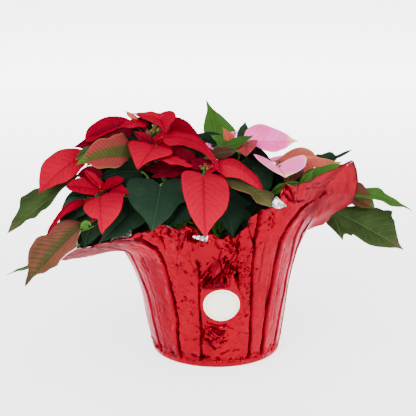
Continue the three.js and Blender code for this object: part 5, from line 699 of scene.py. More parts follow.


# changes to one leaf's ripple, tone_and_shade and so on; tone_and_shade darkens or lightens a leaf's colour as painted
# shade or light, the low values on leaves deep in the plant
TWEAK = {
    "green_leaf_01": dict(look="olive", tone_and_shade=0.95),
    "green_leaf_02": dict(tone_and_shade=0.8),
    "green_leaf_04": dict(tone_and_shade=0.8),
    "green_leaf_05": dict(tone_and_shade=0.75),
    "green_leaf_06": dict(tone_and_shade=0.92),
    "green_leaf_07": dict(tone_and_shade=0.8),
    "green_leaf_08": dict(ripple=1.0, tone_and_shade=0.5),
    "green_leaf_09": dict(tone_and_shade=0.88),
    "green_leaf_12": dict(tone_and_shade=0.72),
    "green_leaf_18": dict(look="greenlight", tone_and_shade=1.08),
    "green_leaf_65": dict(tone_and_shade=1.1),
    "green_leaf_19": dict(look="olive", tone_and_shade=0.9),
    "green_leaf_20": dict(look="olive", tone_and_shade=0.9),
    "mixed_leaf_01": dict(tone_and_shade=1.0, dense=1.8),
    "mixed_leaf_02": dict(look="russet", tone_and_shade=1.0, dense=1.6),
    "mixed_leaf_03": dict(look="mottle", tone_and_shade=0.95, dense=1.4),
    "mixed_leaf_04": dict(tone_and_shade=0.55),
    "pink_bract_03": dict(look="rose", tone_and_shade=0.95),
    "red_bract_01": dict(tone_and_shade=0.72),
    "red_bract_05": dict(tone_and_shade=1.1),
    "red_bract_10": dict(tone_and_shade=1.08),
    "red_bract_15": dict(tone_and_shade=1.05),
    "red_bract_02": dict(tone_and_shade=0.95),
    "red_bract_03": dict(tone_and_shade=0.58),
    "red_bract_04": dict(tone_and_shade=0.82),
    "red_bract_06": dict(tone_and_shade=0.85),
    "red_bract_11": dict(tone_and_shade=0.85),
    "red_bract_12": dict(tone_and_shade=0.85),
    "red_bract_13": dict(tone_and_shade=0.62),
    "red_bract_14": dict(tone_and_shade=0.66),
    "red_bract_16": dict(tone_and_shade=0.62),
    "red_bract_18": dict(tone_and_shade=1.06),
    "red_bract_19": dict(tone_and_shade=0.88),
    "green_leaf_30": dict(tone_and_shade=0.45),
    "green_leaf_31": dict(tone_and_shade=0.45),
    "green_leaf_32": dict(tone_and_shade=0.5),
    "green_leaf_33": dict(tone_and_shade=0.6),
    "green_leaf_34": dict(tone_and_shade=0.5),
    "green_leaf_35": dict(tone_and_shade=0.4),
    "green_leaf_36": dict(tone_and_shade=0.4),
    "green_leaf_37": dict(tone_and_shade=0.45),
    "green_leaf_47": dict(tone_and_shade=0.4),
    "green_leaf_48": dict(tone_and_shade=0.3),
    "green_leaf_49": dict(tone_and_shade=0.45),
    "green_leaf_50": dict(tone_and_shade=0.35),
    "green_leaf_51": dict(tone_and_shade=0.35),
    "green_leaf_52": dict(tone_and_shade=0.25),
    "green_leaf_53": dict(tone_and_shade=0.3),
    "green_leaf_54": dict(tone_and_shade=0.3),
    "green_leaf_55": dict(tone_and_shade=0.3),
    "green_leaf_56": dict(tone_and_shade=0.6),
    "green_leaf_57": dict(tone_and_shade=0.35),
    "green_leaf_58": dict(tone_and_shade=0.55),
    "green_leaf_59": dict(tone_and_shade=0.55),
    "green_leaf_60": dict(tone_and_shade=0.35),
    "green_leaf_61": dict(tone_and_shade=0.3),
    "green_leaf_62": dict(tone_and_shade=0.9),
    "green_leaf_63": dict(tone_and_shade=0.3),
    "green_leaf_64": dict(tone_and_shade=0.22),
    "red_bract_37": dict(tone_and_shade=0.35),
    "red_bract_32": dict(tone_and_shade=0.55),
    "red_bract_33": dict(tone_and_shade=0.95),
    "red_bract_34": dict(tone_and_shade=0.42),
    "red_bract_35": dict(tone_and_shade=0.55),
    "red_bract_36": dict(tone_and_shade=0.9),
}
for row in LEAVES:
    make_leaf(*row)


# ------------------------------------------------------------------ foil cover
# Angles of the cover are degrees from its front (-Y), positive towards +X.
FOIL_RIM = [
    [-8, -92.5, 136.3], [-5.4, -92, 138], [0.4, -91, 135], [6, -90, 133.1], [8.4, -89.5, 135], [14.9, -88.5, 133.8], [17.7, -88, 133.7],
    [20.4, -87, 138.9], [24.8, -86.5, 142], [29.2, -86, 145.1], [30.1, -85, 151.7], [39.1, -81, 157.1], [49.1, -76.5, 158], [55.5, -73, 158.8],
    [57.3, -71, 168.9], [59.1, -70, 174.2], [63.2, -67.5, 177.7], [67.9, -65, 174.9], [72.6, -62, 175.3], [84.6, -54, 177.9], [96.6, -46, 181.7],
    [108.8, -38, 185.6], [127.1, -26, 191.2], [131.5, -20, 180.9], [134.6, -10, 167.1], [133.6, -3, 153.3], [131.8, 3, 142.9], [118.2, 12, 133.2],
    [109.2, 21, 120.5], [96.1, 35, 108.5], [82, 66, 112], [58, 92, 122], [20, 112, 134], [-30, 112, 138], [-78, 88, 132],
    [-118, 58, 120], [-148, 14, 101], [-147.6, -26, 94.8], [-138, -40, 103.9], [-128.3, -50, 111.6], [-107, -67, 121.7], [-89.8, -76, 128.2],
    [-69.5, -83.5, 136.4], [-60.4, -86.5, 139.3], [-57.6, -87.5, 141.8], [-54, -88.5, 144.9], [-49.5, -89.8, 145.7], [-46, -91, 144.2], [-39.3, -92, 144],
    [-33.7, -92.5, 142.3], [-28.2, -93, 146.2], [-25.6, -93.2, 146.1], [-23, -93.4, 143.6], [-20.5, -93.5, 138], [-17.7, -93.3, 132.9], [-9.8, -92.8, 131.8],
]
FOIL_WALL = [(33, (66, 67.5, 68, 68)), (60, (69.2, 71.5, 72.6, 72)), (84, (73.2, 76.8, 80.6, 76))]  # radius at the right, back, left, front
FLARE_R, FLARE_Z = (80.5, 81, 91, 82), (106, 100, 103.5, 108)
LABEL_X, LABEL_Z, LABEL_D = 4.4, 65.5, 33.5
LABEL_H = 31.4
# long folds: depth, width of the raised lip beside it, [angle, height] from the rim down
FOLDS = [
    (1.6, -11, [(-42.5, 128.1), (-39.5, 123), (-37, 118.8), (-35.5, 110.1), (-35, 96.2), (-34, 84), (-33, 69.6), (-32.5, 54.6), (-32, 43.8), (-33, 26.7), (-33, 6)]),
    (0.9, -9, [(-60, 122), (-64, 99.5), (-64.5, 87), (-63.5, 74.4), (-62, 55), (-60, 30), (-58, 6)]),
    (0.3, -4, [(-50, 112), (-53, 98), (-54, 80), (-52, 60), (-50, 35), (-48, 6)]),
    (1.3, -10, [(-12.5, 109.5), (-11.5, 98.1), (-12, 84), (-12.5, 69.6), (-12.5, 49.2), (-12.5, 26.7), (-12.5, 6)]),
    (1.0, 5, [(-34.5, 143), (-33, 131.8), (-31, 123.7), (-31, 117)]),
    (0.8, -5, [(-19.5, 143), (-21.5, 133.1), (-23, 120)]),
    (0.9, 5, [(-16, 143.2), (-19, 131.3), (-22, 119)]),
    (1.4, 11, [(26.5, 154.3), (24.5, 140.8), (22.5, 130), (23, 115), (24.5, 98.2), (25.5, 84), (26, 69.6), (27.5, 49.2), (29, 26.7), (29, 6)]),
    (0.8, -6, [(18, 147.3), (20, 135.1), (22.5, 124)]),
    (0.9, -7, [(13.5, 138.5), (12, 126.5), (12.5, 109.3), (13, 93.6), (16, 78)]),
    (1.7, 12, [(83, 157.5), (74, 155), (66, 155), (57.5, 150.5), (52, 144.6), (47, 135.6), (42, 125.4), (41.5, 113.2), (43, 97.8), (44.5, 79.2), (43, 64.8), (42, 49.2), (43, 26.7), (43, 6)]),
    (1.0, 9, [(62, 138), (57.5, 130), (56, 122), (59, 109), (64, 93), (66, 79), (66, 60), (63, 38), (62, 6)]),
    (0.6, 5, [(30, 126), (29, 113.8), (30, 98.1), (30.5, 84)]),
    (1.3, 6, [(43.5, 176), (47, 166.9), (49.5, 158)]),
    (1.1, 10, [(89.5, 151), (89, 143), (87.5, 135.4), (78, 132), (66, 123), (68, 106), (80, 79), (82, 40), (80, 6)]),
    (0.5, 4, [(27, 155), (32.5, 150), (37, 142)]),
    (0.6, -6, [(47, 113.7), (49, 93.1), (51, 69.6), (52, 40)]),
    (0.5, 5, [(-21.5, 123), (-26, 107.8), (-26.5, 92)]),
    (1.2, 10, [(-80, 112), (-84, 96), (-86, 70), (-84, 35), (-82, 6)]),
    (1.4, -11, [(-108, 103), (-104, 90), (-105, 60), (-103, 30), (-102, 6)]),
    (1.0, 8, [(-128, 118), (-126, 96), (-122, 70), (-122, 30), (-121, 6)]),
    (1.5, 12, [(-150, 126), (-146, 100), (-143, 70), (-141, 30), (-141, 6)]),
    (1.1, -9, [(-168, 132), (-164, 108), (-163, 70), (-162, 30), (-161, 6)]),
    (1.6, 13, [(175, 132), (177, 104), (178, 70), (179, 30), (179, 6)]),
    (1.0, 8, [(156, 126), (160, 100), (161, 70), (160, 30), (160, 6)]),
    (1.4, -11, [(138, 115), (141, 95), (142, 70), (141, 30), (141, 6)]),
    (1.2, 10, [(117, 110), (121, 95), (122, 70), (121, 30), (121, 6)]),
    (1.3, -9, [(101, 140), (103, 112), (102, 80), (101, 40), (101, 6)]),
]
# short creases: depth, [angle, height] from end to end
CREASES = [
    (0.9, [(-11.5, 84), (-6.5, 93.5), (-1, 103.2), (3.5, 113.3)]), (0.8, [(-10.5, 93.5), (-5.5, 103.1), (0, 111.1)]), (0.8, [(-11.5, 79.2), (-7.5, 88.8), (-2, 98.4), (2, 108)]),
    (1.1, [(1.5, 110.1), (3.5, 98.4), (7, 84)]), (0.9, [(7, 109.8), (5.5, 98.4), (6, 88.8)]), (0.7, [(9.5, 109.5), (9, 98.4), (8.5, 84)]),
    (0.8, [(-9, 43.8), (-3, 42.8), (2, 36), (5.5, 38.4)]), (0.6, [(-8, 38.4), (-2, 35), (4.5, 28.7)]), (0.5, [(15.5, 79.2), (20.5, 69.6), (17, 64.8)]),
    (0.45, [(-29.5, 60), (-26, 55.6)]), (0.45, [(-29, 55), (-25.5, 53)]), (0.4, [(-31.5, 33), (-26.5, 31)]), (0.4, [(-29, 107.1), (-25.5, 101.6), (-20.5, 97.6)]),
    (0.4, [(-18, 88.6), (-14.5, 84)]), (0.5, [(-11.5, 26.7), (-2, 21.4), (4.5, 20.4)]), (0.5, [(-11.5, 34), (-6, 27), (-1.5, 20)]),
    (0.9, [(57, 171.1), (64.5, 168.3), (77.5, 165.3), (80, 173)]), (0.7, [(61.5, 171.8), (68.5, 172.5), (77, 176.3)]), (0.9, [(41, 171.4), (45, 165.5), (48.5, 159.8), (58.5, 158)]),
    (0.5, [(81.5, 174.6), (86.5, 160.3), (89.5, 150.8)]), (0.5, [(31, 160), (35.5, 151.5), (34, 140.7)]), (0.6, [(-69, 109.7), (-58, 121.3)]), (0.6, [(-56, 121.3), (-50, 127.4), (-47, 127.4)]),
    (0.9, [(-50.5, 127.5), (-47.5, 125.8), (-41, 125.1), (-37, 119.2)]), (0.5, [(-61.5, 117.8), (-67.5, 109.2)]),
    (1.0, [(3, 122.4), (0.5, 110), (-4.5, 98.4)]), (1.0, [(11.5, 121.8), (8, 109.8), (3.5, 98.4), (-0.5, 88.8)]), (0.9, [(13.5, 109.2), (13, 93.6), (16, 84)]),
    (0.7, [(-1.5, 128.4), (3, 122.4), (10, 119.9)]), (0.8, [(4.5, 110), (9.5, 103.2), (13, 103.1)]), (0.8, [(-3, 114.3), (0.5, 110), (5.5, 112.1)]),
    (0.5, [(-17, 119.7), (-16, 107.2), (-12.5, 93.4)]), (0.45, [(38, 102.6), (41, 74.4), (41, 54.6)]),
]


def around(th, v):
    r, b, l, f = v
    c, s = np.cos(th), np.sin(th)
    return np.where(c > 0, r, l) * c * c + np.where(s > 0, b, f) * s * s


RIM = np.array(FOIL_RIM, float)
RIM_A = np.unwrap(np.arctan2(RIM[:, 1], RIM[:, 0]))


def rim_at(th):
    a = (np.asarray(th) - RIM_A[0]) % (2 * np.pi) + RIM_A[0]
    A = np.concatenate([RIM_A, [RIM_A[0] + 2 * np.pi]])
    R = np.hypot(RIM[:, 0], RIM[:, 1])
    return np.interp(a, A, np.append(R, R[0])), np.interp(a, A, np.append(RIM[:, 2], RIM[0, 2]))


def foil_profile(th, n):
    """[angle, row, (radius, height)] of the cover's outside, rows evenly along each profile."""
    R, Z = rim_at(th)
    rows = [np.stack([np.full_like(th, 60.4), np.zeros_like(th)], -1), np.stack([np.full_like(th, 61.6), np.full_like(th, 1.0)], -1)]
    for z, v in FOIL_WALL:
        rows.append(np.stack([around(th, v), np.full_like(th, z)], -1))
    r0, z0 = around(th, FLARE_R), around(th, FLARE_Z)
    for k in np.linspace(0, 1, 26):
        h, w = Z - z0, R - r0
        hp = np.maximum(h, 5)
        A, B = np.stack([r0, z0], -1), np.stack([R, Z], -1)
        C1 = A + np.stack([0.16 * hp + 3, 0.42 * hp], -1)
        C2 = B - np.stack([0.55 * w, 0.22 * h - 1 * (w > 45) + np.where(np.cos(th) < 0, 4.0, -2.5) * smooth(w, 40, 55)], -1)
        rows.append((1 - k) ** 3 * A + 3 * k * (1 - k) ** 2 * C1 + 3 * k * k * (1 - k) * C2 + k**3 * B)
    P = np.stack(rows, 1)
    S = np.concatenate([np.zeros((len(th), 1)), np.cumsum(np.linalg.norm(np.diff(P, axis=1), axis=2), axis=1)], 1)
    out = np.empty((len(th), n, 2))
    g = np.linspace(0, 1, n)
    for i in range(len(th)):
        for c in range(2):
            out[i, :, c] = np.interp(g * S[i, -1], S[i], P[i, :, c])
    for _ in range(16):
        out[:, 1:-1] = 0.25 * out[:, :-2] + 0.5 * out[:, 1:-1] + 0.25 * out[:, 2:]
    return out, S[:, -1]


def angle_grid(n):
    """Angles all round, closer together at the front, where the creases are."""
    d = np.linspace(-180, 180, 3601)
    w = 1 + 1.9 * smooth(85 - np.abs(d), 0, 25)
    c = np.concatenate([[0], np.cumsum((w[1:] + w[:-1]) / 2)])
    return np.interp(np.arange(n) / n * c[-1], c, d)


# (amount of painted shade, half width, points in mm)
FLAP_LINES = (
    (1.0, 3.6, ((-88.5, -74.4, 128.0), (-84.6, -73.0, 127.9), (-79.8, -71.9, 126.4))),
    (1.0, 1.9, ((-79.8, -74.5, 127.2), (-76.3, -76.3, 127.8), (-72.1, -76.7, 128.2), (-69.2, -75.5, 127.1), (-65.9, -73.6, 125.7), (-61.3, -72.8, 123.4), (-57.1, -72.4, 121.1))),
    (0.9, 2.6, ((-97.0, -57.7, 117.2), (-93.6, -69.7, 123.2), (-92.1, -61.1, 119.6), (-90.1, -58.3, 117.4))),
    (0.85, 3.0, ((-104.9, -58.1, 116.3), (-108.3, -41.9, 109.3), (-110.4, -37.8, 106.1))),
    (1.0, 1.9, ((-85.7, -44.0, 109.9), (-85.7, -26.2, 101.8), (-83.5, -24.7, 97.4), (-81.2, -25.5, 93.7), (-78.3, -26.2, 88.9), (-73.4, -31.5, 81.6), (-68.8, -33.5, 73.3))),
    (0.8, 1.2, ((-68.0, -55.0, 105.4), (-65.8, -53.9, 99.3), (-63.4, -51.8, 92.3))),
    (0.95, 1, ((-13.6, -64.3, 32.1), (-10.3, -66.0, 30.2), (-7.5, -65.2, 26.5), (-4.7, -66.6, 23.6), (-1.7, -65.9, 19.9))),
    (0.9, 0.9, ((-12.6, -65.7, 39.2), (-9.4, -69.1, 41.4), (-6.2, -69.4, 43.5), (-2.9, -69.2, 42.7), (-0.6, -68.3, 40.5))),
    (0.9, 0.9, ((-7.5, -69.2, 39.3), (-5.2, -70.5, 38.3), (-2.0, -69.6, 39.7), (-0.1, -68.6, 41.0))),
    (0.95, 1, ((-2.2, -70.2, 45.2), (1.2, -69.6, 44.2), (4.9, -70.0, 44.9), (8.6, -69.5, 45.7))),
    (0.7, 0.8, ((9.1, -69.6, 44.8), (12.3, -68.2, 41.9), (15.1, -67.5, 40.8))),
    (0.85, 0.9, ((0.8, -69.9, 36.6), (3.6, -69.7, 35.1), (6.3, -69.3, 34.4))),
    (0.9, 0.9, ((-4.8, -68.3, 28.9), (-2.0, -69.2, 30.5), (0.8, -68.8, 30.5))),
    (0.9, 1, ((4.5, -66.7, 26.6), (7.3, -65.6, 27.3), (9.9, -66.0, 28.9))),
    (0.6, 0.8, ((24.5, -64.0, 35.9), (27.4, -62.0, 34.2), (30.3, -60.0, 33.6))),
    (0.85, 1, ((4.1, -64.1, 14.7), (7.9, -64.3, 16.2), (11.6, -63.7, 18.0))),
    (0.75, 0.9, ((15.4, -63.0, 17.2), (18.2, -62.2, 17.9), (21.5, -61.3, 18.0))),
)


def foil_shape(deg, n):
    th = np.radians(deg - 90)
    prof, total = foil_profile(th, n)
    r, z = prof[..., 0], prof[..., 1]
    s = np.linspace(0, 1, n)[None, :] * total[:, None]
    dg = np.broadcast_to(deg[:, None], r.shape)
    P = np.stack([r * np.cos(th)[:, None], r * np.sin(th)[:, None], z], -1)
    dth = np.roll(P, -1, 0) - np.roll(P, 1, 0)
    ds = np.gradient(P, axis=1)
    N = unit(np.cross(dth, ds))
    top = total[:, None]
    below = top - s  # distance to the rim

    def s_of(a, h):
        i = int(np.argmin(np.abs((deg - a + 180) % 360 - 180)))
        zz = z[i]
        k = int(np.argmax(zz >= h)) if (zz >= h).any() else int(np.argmax(zz))
        return s[i, k]

    d = np.zeros_like(r)
    cav = np.zeros_like(r)
    rng = np.random.default_rng(11)
    # crumpled facets: plane waves through the foil in many directions
    X, Z = P[..., 0], P[..., 2]
    facing = np.abs(dg) < 75
    spot = lambda x, z_, rx, rz: np.where(facing, np.exp(-((np.hypot((X - x) / rx, (Z - z_) / rz)) ** 4)), 0.0)
    diamond = np.maximum(spot(-5, 98, 14, 15), spot(13.5, 100, 11, 20))
    patch = spot(14, 128, 8, 8)
    calm = spot(-5, 120, 11, 9)
    under = spot(-3, 34, 15, 17)
    right = spot(25, 80, 6.5, 44)
    rim_m = smooth(24 - below, 0, 18)
    front_rim = rim_m * np.exp(-(((dg + 18) / 26.0) ** 4))
    strip = smooth(dg, -40, -35) * smooth(dg, -9, -13) * smooth(z, 8, 16)
    base_m = np.exp(-(((z - 9) / 4.0) ** 2))
    m_a = 0.20 + 0.25 * strip + 0.3 * rim_m + 0.12 * smooth(np.abs(dg), 70, 110)
    m_c = (0.55 * diamond + 0.9 * patch + 0.75 * under + 0.35 * front_rim + 0.12 * rim_m + 0.12 * strip) * (1 - calm)
    m_f = (0.10 + 0.9 * diamond + 1.3 * patch + 1.1 * under + 0.4 * front_rim + 0.3 * rim_m + 0.45 * strip + 1.05 * right + 1.3 * base_m + 0.12 * smooth(np.abs(dg), 70, 110)) * (1 - 0.85 * calm)
    warp = P + 3.0 * np.stack([np.sin(P[..., 2] * 0.09 + 1), np.sin(P[..., 0] * 0.07 + 2), np.sin(P[..., 1] * 0.08 + P[..., 0] * 0.05)], -1)
    for wave, amp, count, m in ((32, 0.5, 3, m_a), (21, 1.1, 3, m_c), (12.5, 0.8, 4, m_c), (8.5, 0.34, 5, m_f), (5.2, 0.2, 6, m_f)):
        for _ in range(count):
            k = unit(rng.normal(size=3) * (1, 1, 0.8)) / (wave * rng.uniform(0.8, 1.25))
            gate = 0.5 + 0.5 * np.sin(warp @ (unit(rng.normal(size=3)) / (wave * 0.55)) + rng.uniform(0, 6))
            d += m * amp * tri(warp @ k + rng.uniform()) * (0.35 + gate)
    # slanting pleats over the label, and short pleats under the rim
    bend = 0.9 * np.sin(Z * 0.16 + 0.6) + 0.7 * np.sin(X * 0.35 + Z * 0.1)
    pleats = (
        (spot(-6, 98, 14, 15), (0.77, -0.64), 7.4, 2.0),
        (spot(13, 103, 11, 20), (0.94, -0.34), 7.6, 2.0),
        (spot(-47, 129, 11, 11), (0.80, 0.60), 10.0, 2.0),
        (spot(-27, 131, 11, 11), (0.98, 0.17), 9.5, 2.0),
        (spot(-2, 36, 12, 12), (0.35, 0.94), 7.5, 1.2),
    )
    for zone, (kx, kz), period, amp in pleats:
        q = ((X + bend) * kx + (Z + 0.6 * bend) * kz) / period
        d += zone * amp * tri(q + 0.12 * np.sin(q * 2.3)) * (0.75 + 0.25 * np.sin(Z * 0.11 + X * 0.05))
    # the fold right above the label stands out downwards and casts its shadow there; that shadow is also painted into
    # the colour further on
    ramp = np.clip((100 - Z - 0.55 * np.abs(X + 3)) / 14.0, 0, 1) * smooth(Z, 82.4, 84.4) * np.where(facing, smooth(11 - np.abs(X + 3.5), 0, 4), 0)
    d += 1.9 * ramp
    m = np.maximum(m_a, m_f)
    # long folds
    for depth, lip, pts in FOLDS:
        pts = np.array(pts, float)
        ss = np.array([s_of(a, h) for a, h in pts])
        o = np.argsort(ss)
        ss, aa = ss[o], pts[o, 0]
        line = np.interp(s, ss, aa)
        wig = 0.35 * np.sin(s * 0.11 + aa[0]) + 0.15 * np.sin(s * 0.29 + 2 * aa[0])
        off = ((dg - line + 180) % 360 - 180) * np.pi / 180 * r + wig
        ends = smooth(s, ss[0] - 3, ss[0] + 3) * (1 - smooth(s, ss[-1] - 1, ss[-1] + 5)) if ss[-1] < total.max() * 0.97 else smooth(s, ss[0] - 3, ss[0] + 3)
        mod = 0.85 + 0.15 * np.sin(s * 0.11 + 3 * aa[0])
        d -= depth * mod * ends * np.exp(-((off / 1.2) ** 2))
        d += 0.45 * depth * ends * np.sign(lip) * np.tanh(off / 0.9) * np.exp(-np.abs(off) / 3.4)
        side = off * np.sign(lip)
        w = abs(lip)
        d += 0.75 * depth * ends * np.where(side > 0, np.maximum(0, 1 - side / w) * (1 - np.exp(-side / 0.8)), 0)
        # painted shade along the fold's groove
        cav = np.maximum(cav, min(1.0, 0.8 * depth) * ends * (0.8 + 0.2 * np.sin(s * 0.13 + aa[0])) * np.exp(-((off / (0.62 + 0.28 * depth)) ** 2)))
    # short creases, the traced ones and many small ones
    many = [(dep * 1.25, pts, 1.0) for dep, pts in CREASES]
    zones = [(-31, -14, 18, 118, 40), (-9, 22, 16, 50, 18), (16.5, 25.5, 24, 124, 42), (24, 41, 20, 135, 12), (-60, -36, 20, 120, 9), (44, 64, 30, 140, 9), (-48, 60, 130, 150, 22), (60, 90, 110, 175, 12), (-180, 180, 12, 118, 46), (-90, -50, 96, 122, 10)]
    for a0, a1, h0, h1, count in zones:
        for _ in range(count):
            a, h = rng.uniform(a0, a1), rng.uniform(h0, h1)
            if math.hypot((a * 1.27 - LABEL_X), h - LABEL_Z) < 19:
                continue
            L, q = rng.uniform(2.5, 9), rng.uniform(-0.9, 0.9) if rng.uniform() < 0.7 else rng.uniform(0, 3.14)
            many.append((rng.uniform(0.16, 0.46) * (1.5 if a0 == 16.5 else 1.35 if a0 == -31 else 1.0), [(a - L / 1.3 * math.cos(q) / 2, h - L * math.sin(q) / 2), (a, h + rng.uniform(-0.8, 0.8)), (a + L / 1.3 * math.cos(q) / 2, h + L * math.sin(q) / 2)], 0.8))
    for dep, pts, wide in many:
        pts = np.array(pts, float)
        ss = np.array([s_of(a, h) for a, h in pts])
        ca, cs = pts[:, 0].mean(), ss.mean()
        dd = (dg - ca + 180) % 360 - 180
        reach = max(np.ptp(pts[:, 0]) * 1.4, np.ptp(ss)) + 8
        sel = (np.abs(dd) * r * np.pi / 180 < reach) & (np.abs(s - cs) < reach)
        if not sel.any():
            continue
        lx, ly, rr = dd[sel] * np.pi / 180 * r[sel], s[sel], r[sel].mean()
        best = np.full(lx.shape, 1e9)
        for k in range(len(pts) - 1):
            ax, ay = (pts[k, 0] - ca) * np.pi / 180 * rr, ss[k]
            bx, by = (pts[k + 1, 0] - ca) * np.pi / 180 * rr, ss[k + 1]
            q = np.clip(((lx - ax) * (bx - ax) + (ly - ay) * (by - ay)) / ((bx - ax) ** 2 + (by - ay) ** 2 + 1e-9), 0, 1)
            best = np.minimum(best, np.hypot(lx - ax - q * (bx - ax), ly - ay - q * (by - ay)))
        d[sel] += dep * (0.5 * np.exp(-((best / 3.4) ** 2)) - 1.3 * np.exp(-((best / 1.4) ** 2)))
        # painted shade along the crease
        cav[sel] = np.maximum(cav[sel], min(1.0, 0.55 * dep) * np.exp(-((best / (1.1 * wide)) ** 2)))
    # painted shade in the valleys, where the surface lies below its smoothed self: dark reflections painted into the
    # colour
    soft = d.copy()
    for _ in range(5):
        soft = 0.25 * (np.roll(soft, 1, 0) + np.roll(soft, -1, 0)) + 0.5 * soft
        soft[:, 1:-1] = 0.25 * (soft[:, 2:] + soft[:, :-2]) + 0.5 * soft[:, 1:-1]
    cav = np.clip(np.maximum(cav, np.clip((soft - d) * 0.95 - 0.07, 0, 0.7) * np.minimum(1, m * 1.5)), 0, 1)
    # and facets leaning upwards get a painted reflection of the dark leaves over them
    lean = -np.gradient(d, axis=1) / np.maximum(np.gradient(s, axis=1), 0.2)
    cav = np.maximum(cav, np.clip(lean * 1.1 - 0.14, 0, 0.72) * np.clip(m * 1.5 - 0.1, 0, 1))
    # painted shade along the rim's edge on the right side
    cav = np.maximum(cav, 0.85 * smooth(2.4 - below, 0, 1.4) * smooth(dg, 74, 78) * smooth(102 - dg, 0, 6))
    # painted shadow under the fold above the label
    shade = smooth(11.5 - 0.9 * np.abs(P[..., 0] + 2.5) - 0.55 * np.maximum(0, Z - 86), 0, 4) * smooth(Z, 80, 83) * smooth(98 - Z, 0, 5) * facing
    cav = np.maximum(cav, 0.72 * shade)
    # painted shade: the left flare and the lower left panel are made a little darker
    cav = np.maximum(cav, 0.1 * smooth(-dg, 48, 56) * smooth(dg, -125, -110) * smooth(r, 92, 100))
    cav = np.maximum(cav, 0.27 * smooth(dg, -80, -70) * smooth(-dg, 36, 40) * smooth(112 - z, 0, 6))
    # a hollow under the rolled rim beside the turned-down corner, pressed in, with painted shade in it
    hollow = spot(-17.5, 139.8, 3.6, 2.2)
    cav = np.maximum(cav, hollow)
    d -= 1.5 * hollow + 2.4 * spot(-13, 134.2, 11, 4.5)
    # creases where the left flap folds out from under the front panel: pressed in, with painted shade along them
    for amount, wide, line in FLAP_LINES:
        line = np.array(line, float)
        best = np.full(r.shape, 1e9)
        for p0, p1 in zip(line[:-1], line[1:]):
            q = np.clip(((P - p0) @ (p1 - p0)) / ((p1 - p0) @ (p1 - p0)), 0, 1)
            gap = P - p0 - q[..., None] * (p1 - p0)
            near = np.linalg.norm(gap, axis=-1) < 7
            gap = gap - (gap * N).sum(-1, keepdims=True) * N
            best = np.where(near, np.minimum(best, np.linalg.norm(gap, axis=-1)), best)
        line_m = amount * np.exp(-((best / wide) ** 2))
        cav = np.maximum(cav, line_m)
        d -= 0.8 * line_m
    crumple = np.clip(0.10 + 0.55 * diamond + 1.0 * patch + 0.8 * under + 0.32 * front_rim + 0.3 * rim_m + 0.30 * strip + 0.6 * right + 0.9 * base_m + 0.1 * smooth(np.abs(dg), 70, 110), 0, 1) * (1 - 0.8 * calm)
    # the rim's own scalloped edge, the band at the foot, and the flat place under the label
    d += 0.8 * rim_m * np.sin(dg * 0.55 + 2 * np.sin(dg * 0.13))
    foot = smooth(6.5 - z, 0, 2.0)
    d = d * (1 - 0.8 * foot) + 0.75 * foot - 0.9 * np.exp(-(((z - 8.2) / 1.6) ** 2)) * (0.7 + 0.3 * np.sin(dg * 0.35))
    # painted shade in the groove above the band at the foot
    cav = np.maximum(cav * (1 - 0.7 * foot), 0.5 * np.exp(-(((z - 7.4) / 0.8) ** 2)) * (0.5 + 0.5 * np.sin(dg * 0.21 + 1) ** 2))
    lab = np.hypot(np.sin(np.radians(dg)) * r - LABEL_X, z - LABEL_Z)
    flat = np.where(np.abs(dg) < 60, smooth(23.5 - lab, 0, 5.5), 0)
    d = d * (1 - flat) - 0.15 * flat
    oval = np.hypot((np.sin(np.radians(dg)) * r - LABEL_X) / LABEL_D, (z - LABEL_Z) / LABEL_H) * 2
    cav = cav * (1 - np.where(np.abs(dg) < 60, smooth(1.14 - oval, 0, 0.08), 0))
    crumple = crumple * (1 - 0.8 * flat)
    d *= smooth(z, 0.0, 1.2)
    low = d.copy()
    for _ in range(3):
        low = np.minimum(low, np.minimum(np.roll(low, 1, 0), np.roll(low, -1, 0)))
        low[:, 1:-1] = np.minimum(low[:, 1:-1], np.minimum(low[:, 2:], low[:, :-2]))
    inner = P + N * (low - 0.45)[..., None]
    P = P + N * d[..., None]
    P[..., 2] = np.maximum(P[..., 2], 0.0)
    side_on = smooth(np.abs(dg - 2), 40, 62) * smooth(150 - np.abs(dg), 0, 30)
    satin = np.clip(smooth(r, 84, 104) * side_on, 0, 1)
    crumple = crumple * (1 - 0.75 * satin)
    # the left flap gets 1.9, which also paints shade on it in the material
    satin = satin * np.where(dg > 0, 1.0 + 0.35 * smooth(158 - z, 0, 8), 1.9)
    return P, inner, cav, crumple, satin


